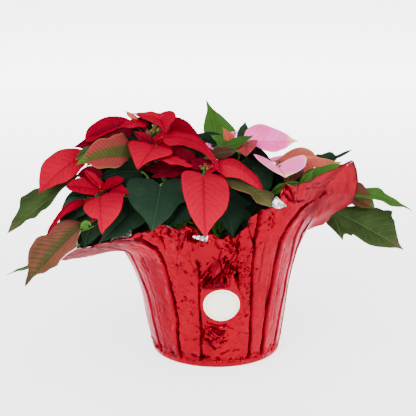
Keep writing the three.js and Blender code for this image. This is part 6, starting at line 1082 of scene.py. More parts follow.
def make_foil():
    no, rows_o, rows_i = 480, 158, 60
    deg = angle_grid(no)
    P, lining, cav, crumple, satin = foil_shape(deg, rows_o)
    # the lining follows the outside a little further in, on every second angle
    take = np.linspace(0, rows_o - 1, rows_i).round().astype(int)
    I = lining[::2][:, take]
    I[:, 0, 2] = np.maximum(I[:, 0, 2], 0.7)
    I[:, 1, 2] = np.maximum(I[:, 1, 2], 0.8)
    ni = no // 2
    body = Body()
    V = np.concatenate([P.transpose(1, 0, 2).reshape(-1, 3), I.transpose(1, 0, 2).reshape(-1, 3), [[0, 0, 0], [0, 0, 0.7]]])
    # ring: the painted shade of creases and valleys, stored as an attribute of the cover
    ring = np.concatenate([cav.T.reshape(-1), np.zeros(ni * rows_i + 2)])
    fold = np.concatenate([crumple.T.reshape(-1), np.zeros(ni * rows_i + 2)])
    dull_and_shade = np.concatenate([satin.T.reshape(-1), np.zeros(ni * rows_i + 2)])
    base = rows_o * no
    top_o, top_i = (rows_o - 1) * no, base + (rows_i - 1) * ni
    i = np.arange(ni)
    i2 = (i + 1) % ni
    a, b, c = top_o + 2 * i, top_o + 2 * i + 1, top_o + (2 * i + 2) % no
    edge = np.concatenate([np.stack([a, b, top_i + i], -1), np.stack([b, c, top_i + i2], -1), np.stack([b, top_i + i2, top_i + i], -1)])
    j = np.arange(no)
    under = np.stack([np.full(no, len(V) - 2), (j + 1) % no, j], -1)
    floor_ = np.stack([np.full(ni, len(V) - 1), base + i, base + i2], -1)
    out = grid_faces(rows_o, no, wrap=True, flip=True)
    body.add(V, [out, under, edge], 0, cavity=ring, crumple=fold, satin=dull_and_shade)
    body.add(np.zeros((0, 3)), [], 1)
    inner = grid_faces(rows_i, ni, wrap=True) + base
    body.f += [inner, floor_]
    body.m += [np.full(len(inner), 1), np.full(len(floor_), 1)]
    return body.build("fine_foil_cover", [MATS["foil"], MATS["silver"]], "foil_cover", sharp=40)


make_foil()


def make_turnover(name, outline):
    """A corner of the foil folded over at the rim, showing its silver side: a thin curved sheet with a crinkled face."""
    body = Body()
    top, low = (sample_curve(np.array(e, float), 22) for e in outline)
    q = np.linspace(0, 1, 9)[None, :, None]
    mid = top[:, None] * (1 - q) + low[:, None] * q
    n, m = mid.shape[:2]
    N = unit(np.cross(np.gradient(mid, axis=0), np.gradient(mid, axis=1)))
    N *= np.where(N[..., 1:2] > 0, -1, 1)
    w = 0.5 * np.sin(np.arange(n)[:, None] * 1.1 + np.arange(m)[None, :] * 0.8) + 0.2 * np.sin(np.arange(n)[:, None] * 2.3 - np.arange(m)[None, :] * 1.7)
    w = w * np.sin(np.linspace(0, np.pi, n))[:, None]
    F_, B_ = mid + N * (w + 0.2)[..., None], mid + N * (w - 0.2)[..., None]
    V = np.concatenate([F_.reshape(-1, 3), B_.reshape(-1, 3)])
    o = n * m
    i, j = np.arange(n - 1), np.arange(m - 1)
    lo, hi = i * m, i * m + m - 1
    e = (n - 1) * m
    sides = [np.stack([hi, hi + m, hi + m + o, hi + o], -1), np.stack([lo, lo + o, lo + m + o, lo + m], -1), np.stack([j, j + 1, j + 1 + o, j + o], -1), np.stack([e + j, e + j + o, e + j + 1 + o, e + j + 1], -1)]
    body.add(V, [grid_faces(n, m), grid_faces(n, m, flip=True) + o] + sides, 0)
    return body.build(name, [MATS["silver_fold"]], sharp=50)


TURNOVERS = {
    "foil_turnover_01": ([[-21.6, -92.2, 136.6], [-17.7, -92.4, 136.9], [-13.3, -92.2, 136.8], [-8.0, -91.8, 136.7]], [[-21.4, -92.4, 135.5], [-16.8, -92.6, 133.7], [-12.4, -92.4, 132.3], [-8.7, -92.0, 131.5]]),
    "foil_turnover_02": ([[48.7, -76.5, 160.7], [50.8, -76.0, 166.0], [52.9, -75.5, 168.7], [56.4, -75.5, 165.4], [62.3, -69.5, 158.8]], [[48.4, -78.5, 160.1], [50.8, -78.0, 159.0], [54.4, -77.0, 157.8], [58.6, -74.0, 158.2], [62.3, -70.5, 158.3]]),
}
for key, value in TURNOVERS.items():
    make_turnover(key, value)

# ------------------------------------------------------------------ sticker, pot, soil
def wall_point(x, z, out):
    """A point over the cover's front wall, from its x and height."""
    th = math.atan2(-1.0, x / 74.0)
    zs = [0, 33, 60, 84]
    rs = [61.3] + [float(around(np.array(th), v)) for _, v in FOIL_WALL]
    r = float(np.interp(z, zs, rs)) + out
    return (x, -math.sqrt(r * r - x * x), z)


def make_label():
    body = Body()
    rings = [0.0, 0.25, 0.5, 0.7, 0.80, 0.84, 0.86, 0.88, 0.92, 0.97, 0.992, 1.0]
    n = 96
    ph = np.linspace(0, 2 * np.pi, n, endpoint=False)
    V, mark = [], []
    for face in (1, 0):
        for q in rings[1:]:
            lift = 0.10 + (0.42 if face else 0.0) - (0.10 * smooth(np.array(q), 0.97, 1.0) if face else 0) - (0.05 if face and 0.83 < q < 0.89 else 0)
            for p in ph:
                x, z = LABEL_X + q * LABEL_D / 2 * math.sin(p), LABEL_Z + q * LABEL_H / 2 * math.cos(p)
                V.append(wall_point(x, z, float(lift)))
                mark.append(1.0 if 0.835 < q < 0.885 else 0.0)
    m = len(rings) - 1
    cf, cb = len(V), len(V) + 1
    V += [wall_point(LABEL_X, LABEL_Z, 0.52), wall_point(LABEL_X, LABEL_Z, 0.10)]
    mark += [0, 0]
    j = np.arange(n)
    j2 = (j + 1) % n
    front, back = grid_faces(m, n, wrap=True), grid_faces(m, n, wrap=True, flip=True) + m * n
    rim = np.stack([(m - 1) * n + j, m * n + (m - 1) * n + j, m * n + (m - 1) * n + j2, (m - 1) * n + j2], -1)
    body.add(V, [front, back, rim, np.stack([np.full(n, cf), j, j2], -1), np.stack([np.full(n, cb), m * n + j2, m * n + j], -1)], 0, ring=np.array(mark))
    # a plain ring of raised dots inside the border
    for k in range(36):
        p = 2 * math.pi * k / 36
        x, z = LABEL_X + 12.2 * math.sin(p), LABEL_Z + 12.2 * math.cos(p)
        a = np.array(wall_point(x, z, 0.48))
        revolve(body, a, (x * 0.3, -74, 0), [(-0.02, 0), (0.0, 0.34), (0.06, 0.26), (0.09, 0)], 8, 0, ring=1.0)
    return body.build("fine_sticker", [MATS["label"]], "sticker", sharp=50)


make_label()


def make_pot():
    body = Body()
    prof = [(0, 1.35), (52.6, 1.35), (53.4, 1.8), (53.9, 3.0)]
    prof += [(53.9 + (72.8 - 53.9) * k / 12, 3 + 102.4 * k / 12) for k in range(1, 13)]
    prof += [(74.6, 105.8), (75.2, 106.5), (75.3, 108), (75.3, 111), (75.0, 112.4), (74.3, 113.0), (73.6, 112.8), (73.1, 112), (72.9, 108), (72.2, 105.5), (71.3, 104.8)]
    prof += [(71.3 - (71.3 - 52.6) * k / 12, 104.8 - 101.5 * k / 12) for k in range(1, 13)] + [(52.0, 2.9), (0, 2.9)]
    prof = np.array(prof)
    n = 96
    ph = np.linspace(0, 2 * np.pi, n, endpoint=False)
    mid = prof[1:-1]
    V = np.concatenate([np.stack([r * np.cos(ph), r * np.sin(ph), np.full(n, z)], -1) for r, z in mid] + [[[0, 0, prof[0, 1]]], [[0, 0, prof[-1, 1]]]])
    k = len(mid)
    j = np.arange(n)
    j2 = (j + 1) % n
    caps = np.concatenate([np.stack([np.full(n, k * n), j2, j], -1), np.stack([np.full(n, k * n + 1), (k - 1) * n + j, (k - 1) * n + j2], -1)])
    body.add(V, [grid_faces(k, n, wrap=True, flip=True), caps], 0)
    return body.build("fine_nursery_pot", [MATS["pot"]], "nursery_pot", sharp=40)


make_pot()


def make_soil():
    body = Body()
    rng = np.random.default_rng(5)
    n, m = 120, 44
    ph = np.linspace(0, 2 * np.pi, n, endpoint=False)
    rr = 71.2 * np.linspace(0, 1, m + 1)[1:] ** 0.8
    X, Y = rr[:, None] * np.cos(ph), rr[:, None] * np.sin(ph)
    z = 103.7 + 2.0 * (1 - (rr[:, None] / 71.2) ** 2) + 0 * X
    for wave, amp in ((26, 0.7), (11, 0.45), (5, 0.3), (2.6, 0.22)):
        for _ in range(4):
            k = unit(rng.normal(size=2)) / wave
            z = z + amp * np.sin(2 * np.pi * (X * k[0] + Y * k[1]) + rng.uniform(0, 6))
    top = np.stack([X, Y, z], -1).reshape(-1, 3)
    low = np.stack([rr[-1] * 0.965 * np.cos(ph), rr[-1] * 0.965 * np.sin(ph), np.full(n, 97.0)], -1)
    V = np.concatenate([top, low, [[0, 0, 105.9]], [[0, 0, 97.0]]])
    j = np.arange(n)
    j2 = (j + 1) % n
    e = (m - 1) * n
    side = np.stack([e + j, e + n + j, e + n + j2, e + j2], -1)
    body.add(V, [grid_faces(m, n, wrap=True), side, np.stack([np.full(n, e + 2 * n), j, j2], -1), np.stack([np.full(n, e + 2 * n + 1), e + n + j2, e + n + j], -1)], 0)
    for k in range(460):
        a, r = rng.uniform(0, 6.28), 69 * math.sqrt(rng.uniform())
        s = rng.uniform(0.5, 1.5) if k < 380 else rng.uniform(0.7, 1.6)
        c = (r * math.cos(a), r * math.sin(a), 103.9 + 2.0 * (1 - (r / 71.2) ** 2) + rng.uniform(-0.2, 0.7))
        revolve(body, c, rng.normal(size=3), [(-s, 0), (-0.6 * s, 0.75 * s), (0.1 * s, 0.95 * s), (0.7 * s, 0.6 * s), (s, 0)], 6, 0 if k < 380 else 1, wob=0.25, seed=k)
    return body.build("fine_soil", [MATS["soil"], MATS["perlite"]], "soil", sharp=60)


make_soil()


# ------------------------------------------------------------------ stems
def make_stem(plant, node):
    body = Body()
    rng = np.random.default_rng(3 if plant == "r" else 4)
    for name, (pts, ra, rb) in SHOOTS.items():
        if name[0] != plant:
            continue
        woody = name in ("r0", "p0")
        sp = Spine(pts)
        n = int(sp.len / 1.6) + 6
        x = np.linspace(0.0, 1.0, n)
        P, T = sp.at(x)
        rad = (ra + (rb - ra) * x) * 0.94
        for c in np.linspace(0.18, 0.95, 5) + rng.uniform(-0.04, 0.04, 5):  # swollen nodes
            rad = rad * (1 + (0.12 if woody else 0.18) * np.exp(-(((x - c) * sp.len / 2.2) ** 2)))
        if not woody:
            P = P + 0.0
        tube(body, P, rad, 16, 1 if woody else 0)
        for c in np.linspace(0.18, 0.9, 5):  # leaf scars
            q, t = (v.reshape(3) for v in sp.at(c))
            s = unit(np.cross(t, rng.normal(size=3)))
            revolve(body, q + s * (ra + (rb - ra) * c) * 0.80, s, [(-0.4, 0), (-0.2, 1.1), (0.5, 0.9), (0.75, 0.45), (0.7, 0)], 10, 1 if woody else 0)
        if name in NODE_R:
            R = NODE_R[name] * 0.92
            revolve(body, TIP[name] + (0, 0, -1), (0, 0, 1), [(-R * 1.5, 0), (-R * 1.3, 0.45 * R), (-0.7 * R, 0.72 * R), (-0.1 * R, 0.98 * R), (0.45 * R, 0.9 * R), (0.85 * R, 0.5 * R), (R, 0)], 18, 0, wob=0.08, seed=ord(name[1]))
    body.build("fine_" + node, [MATS["stem"], MATS["bark"]], node, sharp=60)


make_stem("r", "red_plant_stem")
make_stem("p", "pink_plant_stem")

# ------------------------------------------------------------------ flower clusters
CLUSTERS = {
    "red_cyathia_01": (TIP["r1"] + (0, 0, 3.6), [[-0.5, -0.9, 1, 12], [0.1, -0.9, 1.1, 14], [0.6, -0.5, 1.1, 14], [0.9, 0.1, 1, 11], [0.15, -0.35, 1, 17], [-0.7, 0.1, 1, 10], [0.0, 0.5, 1, 11]], True),
    "red_cyathia_02": (TIP["r3"] + (0, 0, 3.2), [[-0.7, -0.3, 1, 6.5], [0, 0.5, 1, 7], [0.6, -0.3, 1, 6], [-0.1, -0.5, 0.9, 5.5]], True),
    "pink_cyathia_01": (TIP["p4"] + (0, 0, 3.2), [[-0.5, -0.4, 1, 6], [0.1, 0.5, 1, 7], [0.5, -0.3, 1, 6]], True),
    "red_cyathia_03": (TIP["r2"] + (0, 0, 3.2), [[-0.5, -0.6, 1, 7.5], [0.2, -0.7, 1, 8], [0.6, 0.2, 1, 6.5], [-0.2, 0.4, 1, 7]], False),
    "red_cyathia_04": (TIP["r6"] + (0, 0, 3.2), [[-0.4, 0.4, 1, 7.5], [0.5, 0.3, 1, 7], [0, -0.5, 1, 7.5], [0, 0.1, 1.2, 8.5]], False),
    "pink_cyathia_02": (TIP["p5"] + (0, 0, 3.2), [[-0.4, 0.4, 1, 6], [0.5, 0.2, 1, 6], [0, -0.4, 1, 6]], False),
    "pink_cyathia_03": (TIP["p7"] + (0, 0, 3.2), [[-0.4, 0.4, 1, 6.5], [0.5, 0.3, 1, 6.5], [0, -0.5, 1, 7]], False),
}


def make_cluster(name, at, cups, cad):
    body = Body()
    rng = np.random.default_rng(sum(map(ord, name)))
    revolve(body, at + (0, 0, -0.8), (0, 0, 1), [(-0.5, 0), (-0.2, 1.7), (1.2, 2.3), (2.4, 1.5), (3.0, 0)], 14, 0, wob=0.1, seed=2)
    for x, y, z, l in cups:
        d = unit((x, y, z))
        o = at + (0, 0, 0.6)
        h = min(l * 0.62, 6.2)
        tube(body, [o, o + d * (l - h) * 0.5, o + d * (l - h + 0.6)], [0.75, 0.68, 0.9], 10, 0)
        b = o + d * (l - h)
        w = 0.36 * h
        revolve(body, b, d, [(-0.2, 0), (0.1, 0.55), (0.22 * h, 0.92 * w), (0.48 * h, 1.05 * w), (0.74 * h, 0.86 * w), (0.88 * h, 0.62 * w), (0.84 * h, 0)], 16, 0, wob=0.06, seed=int(l * 10))
        side = unit(np.cross(d, (0, 0, 1)) + rng.normal(size=3) * 0.3)
        side = unit(side - d * (side @ d))
        g = b + d * 0.62 * h + side * w * 0.9
        revolve(body, g, side + 0.4 * d, [(-0.5, 0), (-0.3, 0.7), (0.4, 0.95), (0.75, 0.62), (0.6, 0)], 12, 2, wob=0.12, seed=int(l * 7))
        for k in range(7):  # stamens and styles
            a = rng.uniform(0, 6.28)
            s2 = np.cross(d, side)
            r = w * 0.42 * math.sqrt(rng.uniform())
            base = b + d * 0.80 * h + r * (math.cos(a) * side + math.sin(a) * s2)
            tip = base + d * rng.uniform(0.8, 1.9) + 0.5 * (math.cos(a) * side + math.sin(a) * s2)
            tube(body, [base, (base + tip) / 2, tip], [0.2, 0.17, 0.15], 6, 1)
            revolve(body, tip, d, [(-0.25, 0), (-0.1, 0.3), (0.2, 0.33), (0.42, 0)], 7, 1 if rng.uniform() < 0.6 else 2)
    body.build("fine_" + name if cad else name, [MATS["cup"], MATS["cup_red"], MATS["gland"]], name if cad else (), sharp=60)


for name, (at, cups, cad) in CLUSTERS.items():
    make_cluster(name, at, cups, cad)


# ------------------------------------------------------------------ further leaves: young tips, and leaves in the depth and at the back
# many of the leaves in the depth are dark fillers set where the plant lies in shade; their darkness is painted shade,
# through reddark and low tone_and_shade values in TWEAK
MORE = [
    ["red_tip_01", "salmon", "lance", [[-74.6, 8.0, 223.5], [-81.1, 6.0, 227.2], [-86.5, 4.0, 233.2]], [0.1, -0.7, 4.2], [-1.4, -0.7, -1.2], "r1", 0.97, 0.12, False],
    ["red_bract_26", "reddark", "lance", [[-60.3, -8.0, 202.4], [-69.8, -12.0, 209.8], [-78.2, -12.0, 216.4]], [-2.6, -1.4, -1.8], [2.1, 0.6, 6.4], "r1", 0.98, 0.12, False],
    ["red_bract_27", "red", "lance", [[-59.9, -6.0, 202.0], [-55.2, -4.0, 208.3], [-48.6, -2.0, 217.5]], [-3.0, 0.5, 1.8], [6.1, -1.5, 0.7], "r1", 0.99, 0.12, False],
    ["red_bract_28", "reddark", "lance", [[-109.2, -16.0, 193.4], [-116.4, -20.0, 190.4], [-120.8, -24.0, 185.0]], [0.8, -1.8, -4.0], [0.0, -1.8, 1.2], "r1", 0.6, 0.12, False],
    ["green_leaf_24", "olive", "bract", [[-114.7, -16.0, 198.2], [-122.0, -18.0, 196.2], [-131.8, -20.0, 190.4]], [0.8, -0.5, -7.9], [-3.7, 0.5, 4.7], "r1", 0.66, 0.12, False],
    ["green_leaf_25", "greenlight", "bract", [[-120.8, -85.0, 142.5], [-114.9, -89.0, 148.6], [-111.6, -88.0, 144.7]], [-1.2, 0.0, 2.2], [4.1, -1.0, -3.0], "r2", 0.66, 0.12, False],
    ["green_leaf_26", "olive", "lance", [[-141.8, -60.0, 111.7], [-166.4, -58.0, 100.3], [-195.0, -55.0, 88.8]], [-0.5, 0.8, -1.8], [-1.5, -3.2, 3.5], "r2", 0.45, 0.12, False],
    ["pink_bract_10", "pink", "lance", [[9.3, 16.0, 202.7], [16.0, 16.0, 207.6], [19.9, 16.0, 211.5]], [-2.5, 0.0, 3.5], [3.3, -2.0, -2.0], "p4", 0.97, 0.12, False],
    ["bronze_tip_01", "salmon", "lance", [[93.4, 35.0, 180.2], [107.2, 34.0, 173.8], [123.8, 34.0, 177.9]], [-0.5, -0.3, 6.4], [-2.7, -0.3, -4.7], "p5", 0.95, 0.12, False],
    ["green_leaf_27", "greenlight", "lance", [[50.3, -22.0, 156.3], [66.4, -30.0, 167.8], [83.5, -36.0, 171.0]], [-3.4, -1.5, 3.9], [2.6, 2.5, -4.7], "p5", 0.5, 0.12, False],
    ["green_leaf_28", "greenlight", "lance", [[79.9, -14.0, 164.1], [86.0, -17.0, 173.5], [91.4, -18.0, 180.9]], [-3.6, -0.2, 3.1], [4.1, -0.2, -1.7], "p5", 0.56, 0.12, False],
    ["green_leaf_29", "greenlight", "leaf", [[-26.2, -60.0, 142.0], [-37.9, -64.0, 146.8], [-50.4, -71.0, 138.3]], [-1.5, -3.7, -12.4], [-3.3, 2.3, 10.4], "r3", 0.25, 0.12, False],
    ["green_leaf_30", "green", "leaf", [[-70.1, -16.0, 178.1], [-89.8, -28.0, 180.7], [-109.4, -38.0, 175.3]], [-4.6, -6.8, -13.7], [-4.6, -0.8, 12.6], "r2", 0.4, 0.12, False],
    ["green_leaf_31", "green", "leaf", [[-42.7, 4.0, 154.1], [-34.6, -4.0, 175.5], [-28.7, -8.0, 197.6]], [-17.9, -0.9, 6.7], [25.0, -2.9, 7.1], "r3", 0.5, 0.12, False],
    ["green_leaf_32", "green", "lobed", [[-9.9, 8.0, 163.0], [-17.6, 4.0, 182.6], [-29.8, 0.0, 200.4]], [-16.9, -3.6, 10.8], [11.8, -3.6, 7.8], "p4", 0.35, 0.12, False],
    ["green_leaf_33", "green", "leaf", [[34.6, 8.0, 143.2], [33.2, 2.0, 166.4], [28.1, -2.0, 191.6]], [-23.0, -2.0, 8.7], [22.3, 2.0, 7.8], "p5", 0.35, 0.12, False],
    ["green_leaf_34", "green", "leaf", [[44.0, 4.0, 154.1], [37.6, -12.0, 145.1], [25.9, -26.0, 126.3]], [17.1, -0.2, -9.3], [-19.3, -2.2, -1.9], "p5", 0.25, 0.12, False],
    ["green_leaf_47", "green", "bract", [[-119.2, -36.0, 161.5], [-128.1, -40.0, 158.7], [-144.1, -44.0, 147.3]], [2.4, -0.3, -8.2], [0.4, 1.7, 9.9], "r2", 0.7, 0.12, False],
    ["red_bract_32", "reddark", "bract", [[-108.1, -42.0, 177.1], [-117.3, -40.0, 181.4], [-128.6, -38.0, 180.2]], [-1.7, -3.3, -7.6], [0.4, 2.7, 8.5], "r2", 0.9, 0.12, False],
    ["green_leaf_48", "green", "leaf", [[-46.5, 8.0, 167.0], [-82.8, 4.0, 172.8], [-119.9, 2.0, 175.2]], [-6.7, -7.3, -15.4], [-8.6, 0.7, 21.0], "r2", 0.2, 0.12, False],
    ["green_leaf_49", "green", "leaf", [[-56.0, 12.0, 201.5], [-65.5, 14.0, 212.8], [-78.9, 16.0, 226.0]], [-12.8, 0.6, -0.4], [5.5, 0.6, 12.2], "r1", 0.8, 0.12, False],
    ["red_bract_33", "red", "bract", [[-45.8, 0.0, 222.0], [-61.0, 4.0, 226.1], [-78.6, 6.0, 230.2]], [-1.7, -4.8, -3.3], [-1.0, 5.2, 6.3], "r1", 0.97, 0.12, False],
    ["red_bract_34", "reddark", "bract", [[-9.9, -4.0, 181.3], [-27.1, 4.0, 190.4], [-50.1, 8.0, 201.3]], [-4.1, 0.1, -8.3], [1.6, 6.1, 12.0], "r3", 0.8, 0.12, False],
    ["red_bract_35", "reddark", "bract", [[-16.3, -30.0, 180.1], [-41.5, -26.0, 183.1], [-69.7, -20.0, 183.7]], [-3.5, -2.4, -8.8], [-1.7, 5.6, 9.4], "r3", 0.9, 0.12, False],
    ["green_leaf_50", "green", "leaf", [[35.5, 14.0, 175.6], [15.1, 12.0, 184.8], [-9.0, 8.0, 191.5]], [-0.7, -0.9, -9.8], [-2.8, 1.1, 14.3], "p4", 0.6, 0.12, False],
    ["green_leaf_51", "green", "leaf", [[-11.7, -24.0, 172.2], [5.0, -30.0, 171.6], [26.3, -36.0, 163.4]], [0.5, 0.3, 10.1], [-2.3, -3.7, -12.9], "r3", 0.6, 0.12, False],
    ["green_leaf_52", "green", "bract", [[-109.3, -34.0, 157.3], [-98.7, -36.0, 165.4], [-80.1, -36.0, 171.0]], [1.4, 1.7, 10.7], [5.0, -2.3, -9.2], "r2", 0.9, 0.12, False],
    ["green_leaf_53", "green", "leaf", [[-110.7, -36.0, 127.0], [-119.8, -40.0, 120.4], [-130.8, -44.0, 110.9]], [-1.1, -3.2, -13.3], [-10.1, -1.2, 5.5], "r2", 0.4, 0.12, False],
    ["green_leaf_54", "green", "leaf", [[-10.8, -40.0, 153.0], [-16.3, -52.0, 138.9], [-20.7, -66.0, 124.8]], [-13.9, -4.7, -5.3], [10.9, -2.7, -3.9], "r3", 0.2, 0.12, False],
    ["green_leaf_55", "green", "leaf", [[-26.7, -30.0, 148.6], [-15.5, -20.0, 155.8], [5.2, -20.0, 161.6]], [0.8, 4.1, 13.3], [8.3, -7.9, -9.0], "r3", 0.35, 0.12, False],
    ["red_bract_36", "reddark", "bract", [[-84.0, 6.0, 219.0], [-109.6, 2.0, 208.2], [-136.0, 2.0, 198.5]], [-5.7, -3.1, -19.3], [-7.5, 0.9, 5.1], "r1", 0.92, 0.12, False],
    ["green_leaf_56", "green", "leaf", [[4.8, -50.0, 147.9], [13.8, -62.0, 141.6], [19.0, -76.0, 130.4]], [13.6, -2.4, 2.4], [-11.8, -2.4, -7.0], "r3", 0.25, 0.12, False],
    ["red_bract_37", "reddark", "bract", [[-103.3, -38.0, 161.1], [-112.5, -38.0, 160.1], [-126.4, -38.0, 161.5]], [-2.5, 0.0, -5.7], [-2.2, 0.0, 6.2], "r2", 0.95, 0.12, False],
    ["green_leaf_57", "green", "leaf", [[-59.2, -52.0, 154.1], [-65.9, -66.0, 142.6], [-78.3, -73.0, 129.5]], [9.1, -2.9, -7.3], [-16.4, 1.1, 2.9], "r2", 0.2, 0.12, False],
    ["green_leaf_58", "green", "leaf", [[-6.2, -46.0, 154.5], [0.2, -60.0, 142.0], [4.6, -72.0, 128.3]], [17.1, -3.7, -5.0], [-10.3, -1.7, -4.6], "r3", 0.22, 0.12, False],
    ["green_leaf_59", "green", "bract", [[7.4, 12.0, 196.6], [-5.1, 12.0, 204.4], [-18.5, 10.0, 209.6]], [-4.3, -0.2, -4.9], [-5.2, 1.8, 12.2], "p4", 0.75, 0.12, False],
    ["green_leaf_60", "green", "leaf", [[80.1, -2.0, 155.5], [72.4, 0.0, 166.8], [63.8, 4.0, 177.7]], [-14.5, 1.0, 2.3], [9.5, 3.0, 5.8], "p5", 0.5, 0.12, False],
    ["green_leaf_61", "green", "leaf", [[62.2, 0.0, 140.2], [59.4, 4.0, 156.1], [55.4, 8.0, 176.8]], [-16.3, -0.9, -0.5], [14.7, 3.1, -1.4], "p5", 0.3, 0.12, False],
    ["green_leaf_64", "green", "leaf", [[-80.1, -14.0, 148.6], [-97.9, -12.0, 164.6], [-116.0, -8.0, 178.3]], [-18.1, -0.9, -7.7], [8.6, 3.1, 14.7], "r2", 0.35, 0.12, False],
    ["green_leaf_62", "greenlight", "lance", [[-114.2, 0.0, 180.5], [-113.8, 1.0, 175.9], [-113.5, 2.0, 170.9]], [1.7, -0.6, 0.3], [-1.3, -0.6, 0.3], "r1", 0.7, 0.12, False],
    ["green_leaf_63", "green", "leaf", [[44.9, 8.0, 170.9], [41.0, 10.0, 183.3], [36.1, 12.0, 201.0]], [-10.7, -1.5, -1.0], [12.5, 0.5, -1.5], "p5", 0.45, 0.12, False],
    ["green_leaf_35", "green", "leaf", [[-98.6, -44.0, 136.8], [-115.0, -58.0, 130.1], [-125.6, -64.0, 117.6]], [2.0, -4.1, -17.0], [-13.7, -6.1, 4.4], "r2", 0.35, 0.12, False],
    ["green_leaf_36", "green", "leaf", [[-105.0, -34.0, 141.9], [-123.8, -48.0, 146.4], [-141.6, -54.0, 141.3]], [-9.7, -3.9, -11.9], [-10.9, -3.9, 11.9], "r2", 0.55, 0.12, False],
    ["green_leaf_37", "green", "bract", [[-63.3, 4.0, 193.3], [-72.0, 8.0, 205.1], [-84.2, 8.0, 215.8]], [-14.3, 1.0, -1.5], [10.7, 1.0, 11.1], "r1", 0.85, 0.12, False],
    ["green_leaf_65", "greenlight", "leaf", [[4.8, -50.0, 163.0], [2.9, -60.0, 146.7], [-0.8, -71.0, 126.2]], [12.9, -1.2, -0.4], [-12.6, -1.2, -0.4], "r3", 0.22, 0.12, False],
    ["green_leaf_38", "green", "leaf", [[-62.0, 22.0, 168.0], [-86.0, 40.0, 163.0], [-112.0, 54.0, 136.0]], [-11.6, -18.7, -4.2], [13.8, 17.2, -4.2], "r1", 0.35, 0.14, False],
    ["green_leaf_39", "green", "lobed", [[18.0, 42.0, 176.0], [12.0, 70.0, 172.0], [6.0, 100.0, 148.0]], [-21.3, -5.7, -4.2], [21.8, 3.4, -4.2], "p4", 0.45, 0.14, False],
    ["green_leaf_40", "green", "leaf", [[-26.0, 28.0, 146.0], [-16.0, 52.0, 142.0], [-6.0, 78.0, 124.0]], [-18.9, 6.7, -3.9], [18.1, -8.5, -3.9], "r6", 0.2, 0.14, False],
    ["green_leaf_41", "green", "leaf", [[58.0, -2.0, 146.0], [65.0, -20.0, 148.0], [70.0, -36.0, 143.0]], [15.0, 5.5, -3.2], [-14.8, -6.0, -3.2], "p5", 0.3, 0.14, False],
    ["green_leaf_42", "green", "leaf", [[8.0, -30.0, 150.0], [20.0, -50.0, 144.0], [30.0, -68.0, 128.0]], [14.1, 9.6, -3.2], [-15.1, -7.8, -3.2], "r3", 0.2, 0.14, False],
    ["green_leaf_43", "green", "leaf", [[74.0, 44.0, 150.0], [98.0, 50.0, 148.0], [124.0, 58.0, 128.0]], [-5.7, 18.1, -3.7], [4.0, -18.6, -3.7], "p7", 0.4, 0.14, False],
    ["green_leaf_44", "green", "leaf", [[-46.0, -26.0, 148.0], [-60.0, -48.0, 142.0], [-66.0, -68.0, 128.0]], [14.9, -8.2, -3.3], [-14.0, 9.6, -3.3], "r2", 0.15, 0.14, False],
    ["green_leaf_45", "greenlight", "leaf", [[46.0, 34.0, 168.0], [58.0, 50.0, 172.0], [74.0, 62.0, 162.0]], [-10.0, 8.4, -2.6], [10.4, -7.9, -2.6], "p7", 0.6, 0.14, False],
    ["red_bract_29", "red", "bract", [[-50.0, 58.0, 196.0], [-62.0, 66.0, 202.0], [-78.0, 72.0, 198.0]], [-7.0, -9.8, -2.3], [5.7, 10.6, -2.3], "r6", 0.97, 0.14, False],
    ["red_bract_30", "red", "bract", [[-38.0, 70.0, 197.0], [-32.0, 84.0, 203.0], [-26.0, 98.0, 196.0]], [-10.7, 5.4, -2.3], [11.3, -4.0, -2.3], "r6", 0.98, 0.14, False],
    ["red_bract_31", "red", "bract", [[-36.0, 56.0, 197.0], [-26.0, 50.0, 202.0], [-12.0, 46.0, 198.0]], [5.3, 8.5, -1.9], [-4.2, -9.1, -1.9], "r6", 0.98, 0.14, False],
    ["pink_bract_11", "pink", "bract", [[72.0, 72.0, 168.0], [88.0, 66.0, 172.0], [104.0, 62.0, 164.0]], [4.5, 11.1, -2.4], [-3.7, -11.4, -2.4], "p7", 0.96, 0.14, False],
    ["pink_bract_12", "pink", "bract", [[60.0, 84.0, 158.0], [58.0, 98.0, 160.0], [58.0, 112.0, 150.0]], [-10.9, -1.3, -2.2], [10.9, 1.4, -2.2], "p7", 0.97, 0.14, False],
]
for row in MORE:
    make_leaf(*row)

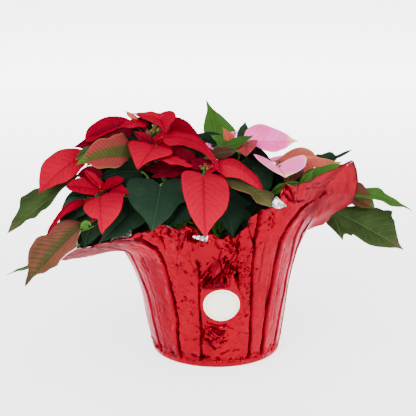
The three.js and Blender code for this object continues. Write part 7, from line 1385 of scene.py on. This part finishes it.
# ------------------------------------------------------------------ floor, light, world
floor = bpy.data.meshes.new("studio_floor")
nseg, half = 40, 6.0
pts = []
for k in range(nseg + 1):
    q = k / nseg
    if q < 0.5:
        y, z = -4.0 + 8.0 * q / 0.5, -0.0004
    else:
        a = (q - 0.5) / 0.5
        y, z = 4.0 + 1.6 * math.sin(a * math.pi / 2), 1.6 - 1.6 * math.cos(a * math.pi / 2) - 0.0004
    pts.append((y, z))
pts.append((5.6, 5.0))
verts = [(-half, y, z) for y, z in pts] + [(half, y, z) for y, z in pts]
nn = len(pts)
floor.from_pydata(verts, [], [(i, i + nn, i + nn + 1, i + 1) for i in range(nn - 1)])
fm = Mat("studio_paper")
fco = fm.coords()
far_front = fm.xyz(fco)[1]
# painted light: the floor glows, at 2.2 under and behind the pot, fading to 0.35 between 0.4 m and 1 m in front of it
glow = fm.range(far_front, -1.0, -0.40, 0.35, 2.2)
floor.materials.append(fm.finish(Base_Color=fm.mix(fm.noise(fco, 3.0, 2.0), (0.90, 0.90, 0.90, 1.0), (0.94, 0.94, 0.94, 1.0)), Roughness=0.9, Specular_IOR_Level=0.1, Emission_Color=(1.0, 1.0, 1.0, 1.0), Emission_Strength=glow))
floor_ob = bpy.data.objects.new("studio_floor", floor)
bpy.context.scene.collection.objects.link(floor_ob)


def area(name, at, to, size, power, colour=(1, 1, 1)):
    L = bpy.data.lights.new(name, "AREA")
    L.shape = "RECTANGLE"
    L.size, L.size_y = size
    L.energy = power
    L.color = colour
    o = bpy.data.objects.new(name, L)
    o.location = at
    from mathutils import Vector

    o.rotation_euler = (Vector(to) - Vector(at)).to_track_quat("-Z", "Y").to_euler()
    bpy.context.scene.collection.objects.link(o)


area("key", (-0.8, -1.7, 1.15), (0, 0, 0.12), (1.1, 1.1), 46)
area("fill", (1.2, -1.5, 0.8), (0, 0, 0.12), (1.0, 1.0), 26)
area("top", (0.1, -0.2, 1.9), (0, 0, 0.1), (1.2, 1.2), 9)
area("backdrop", (0.0, 1.5, 2.0), (0, 3.5, 0.5), (5.0, 1.0), 330)

world = bpy.data.worlds.new("studio")
world.use_nodes = True
bg = world.node_tree.nodes["Background"]
bg.inputs[0].default_value = (1.0, 1.0, 1.0, 1.0)
bg.inputs[1].default_value = 0.75
bpy.context.scene.world = world
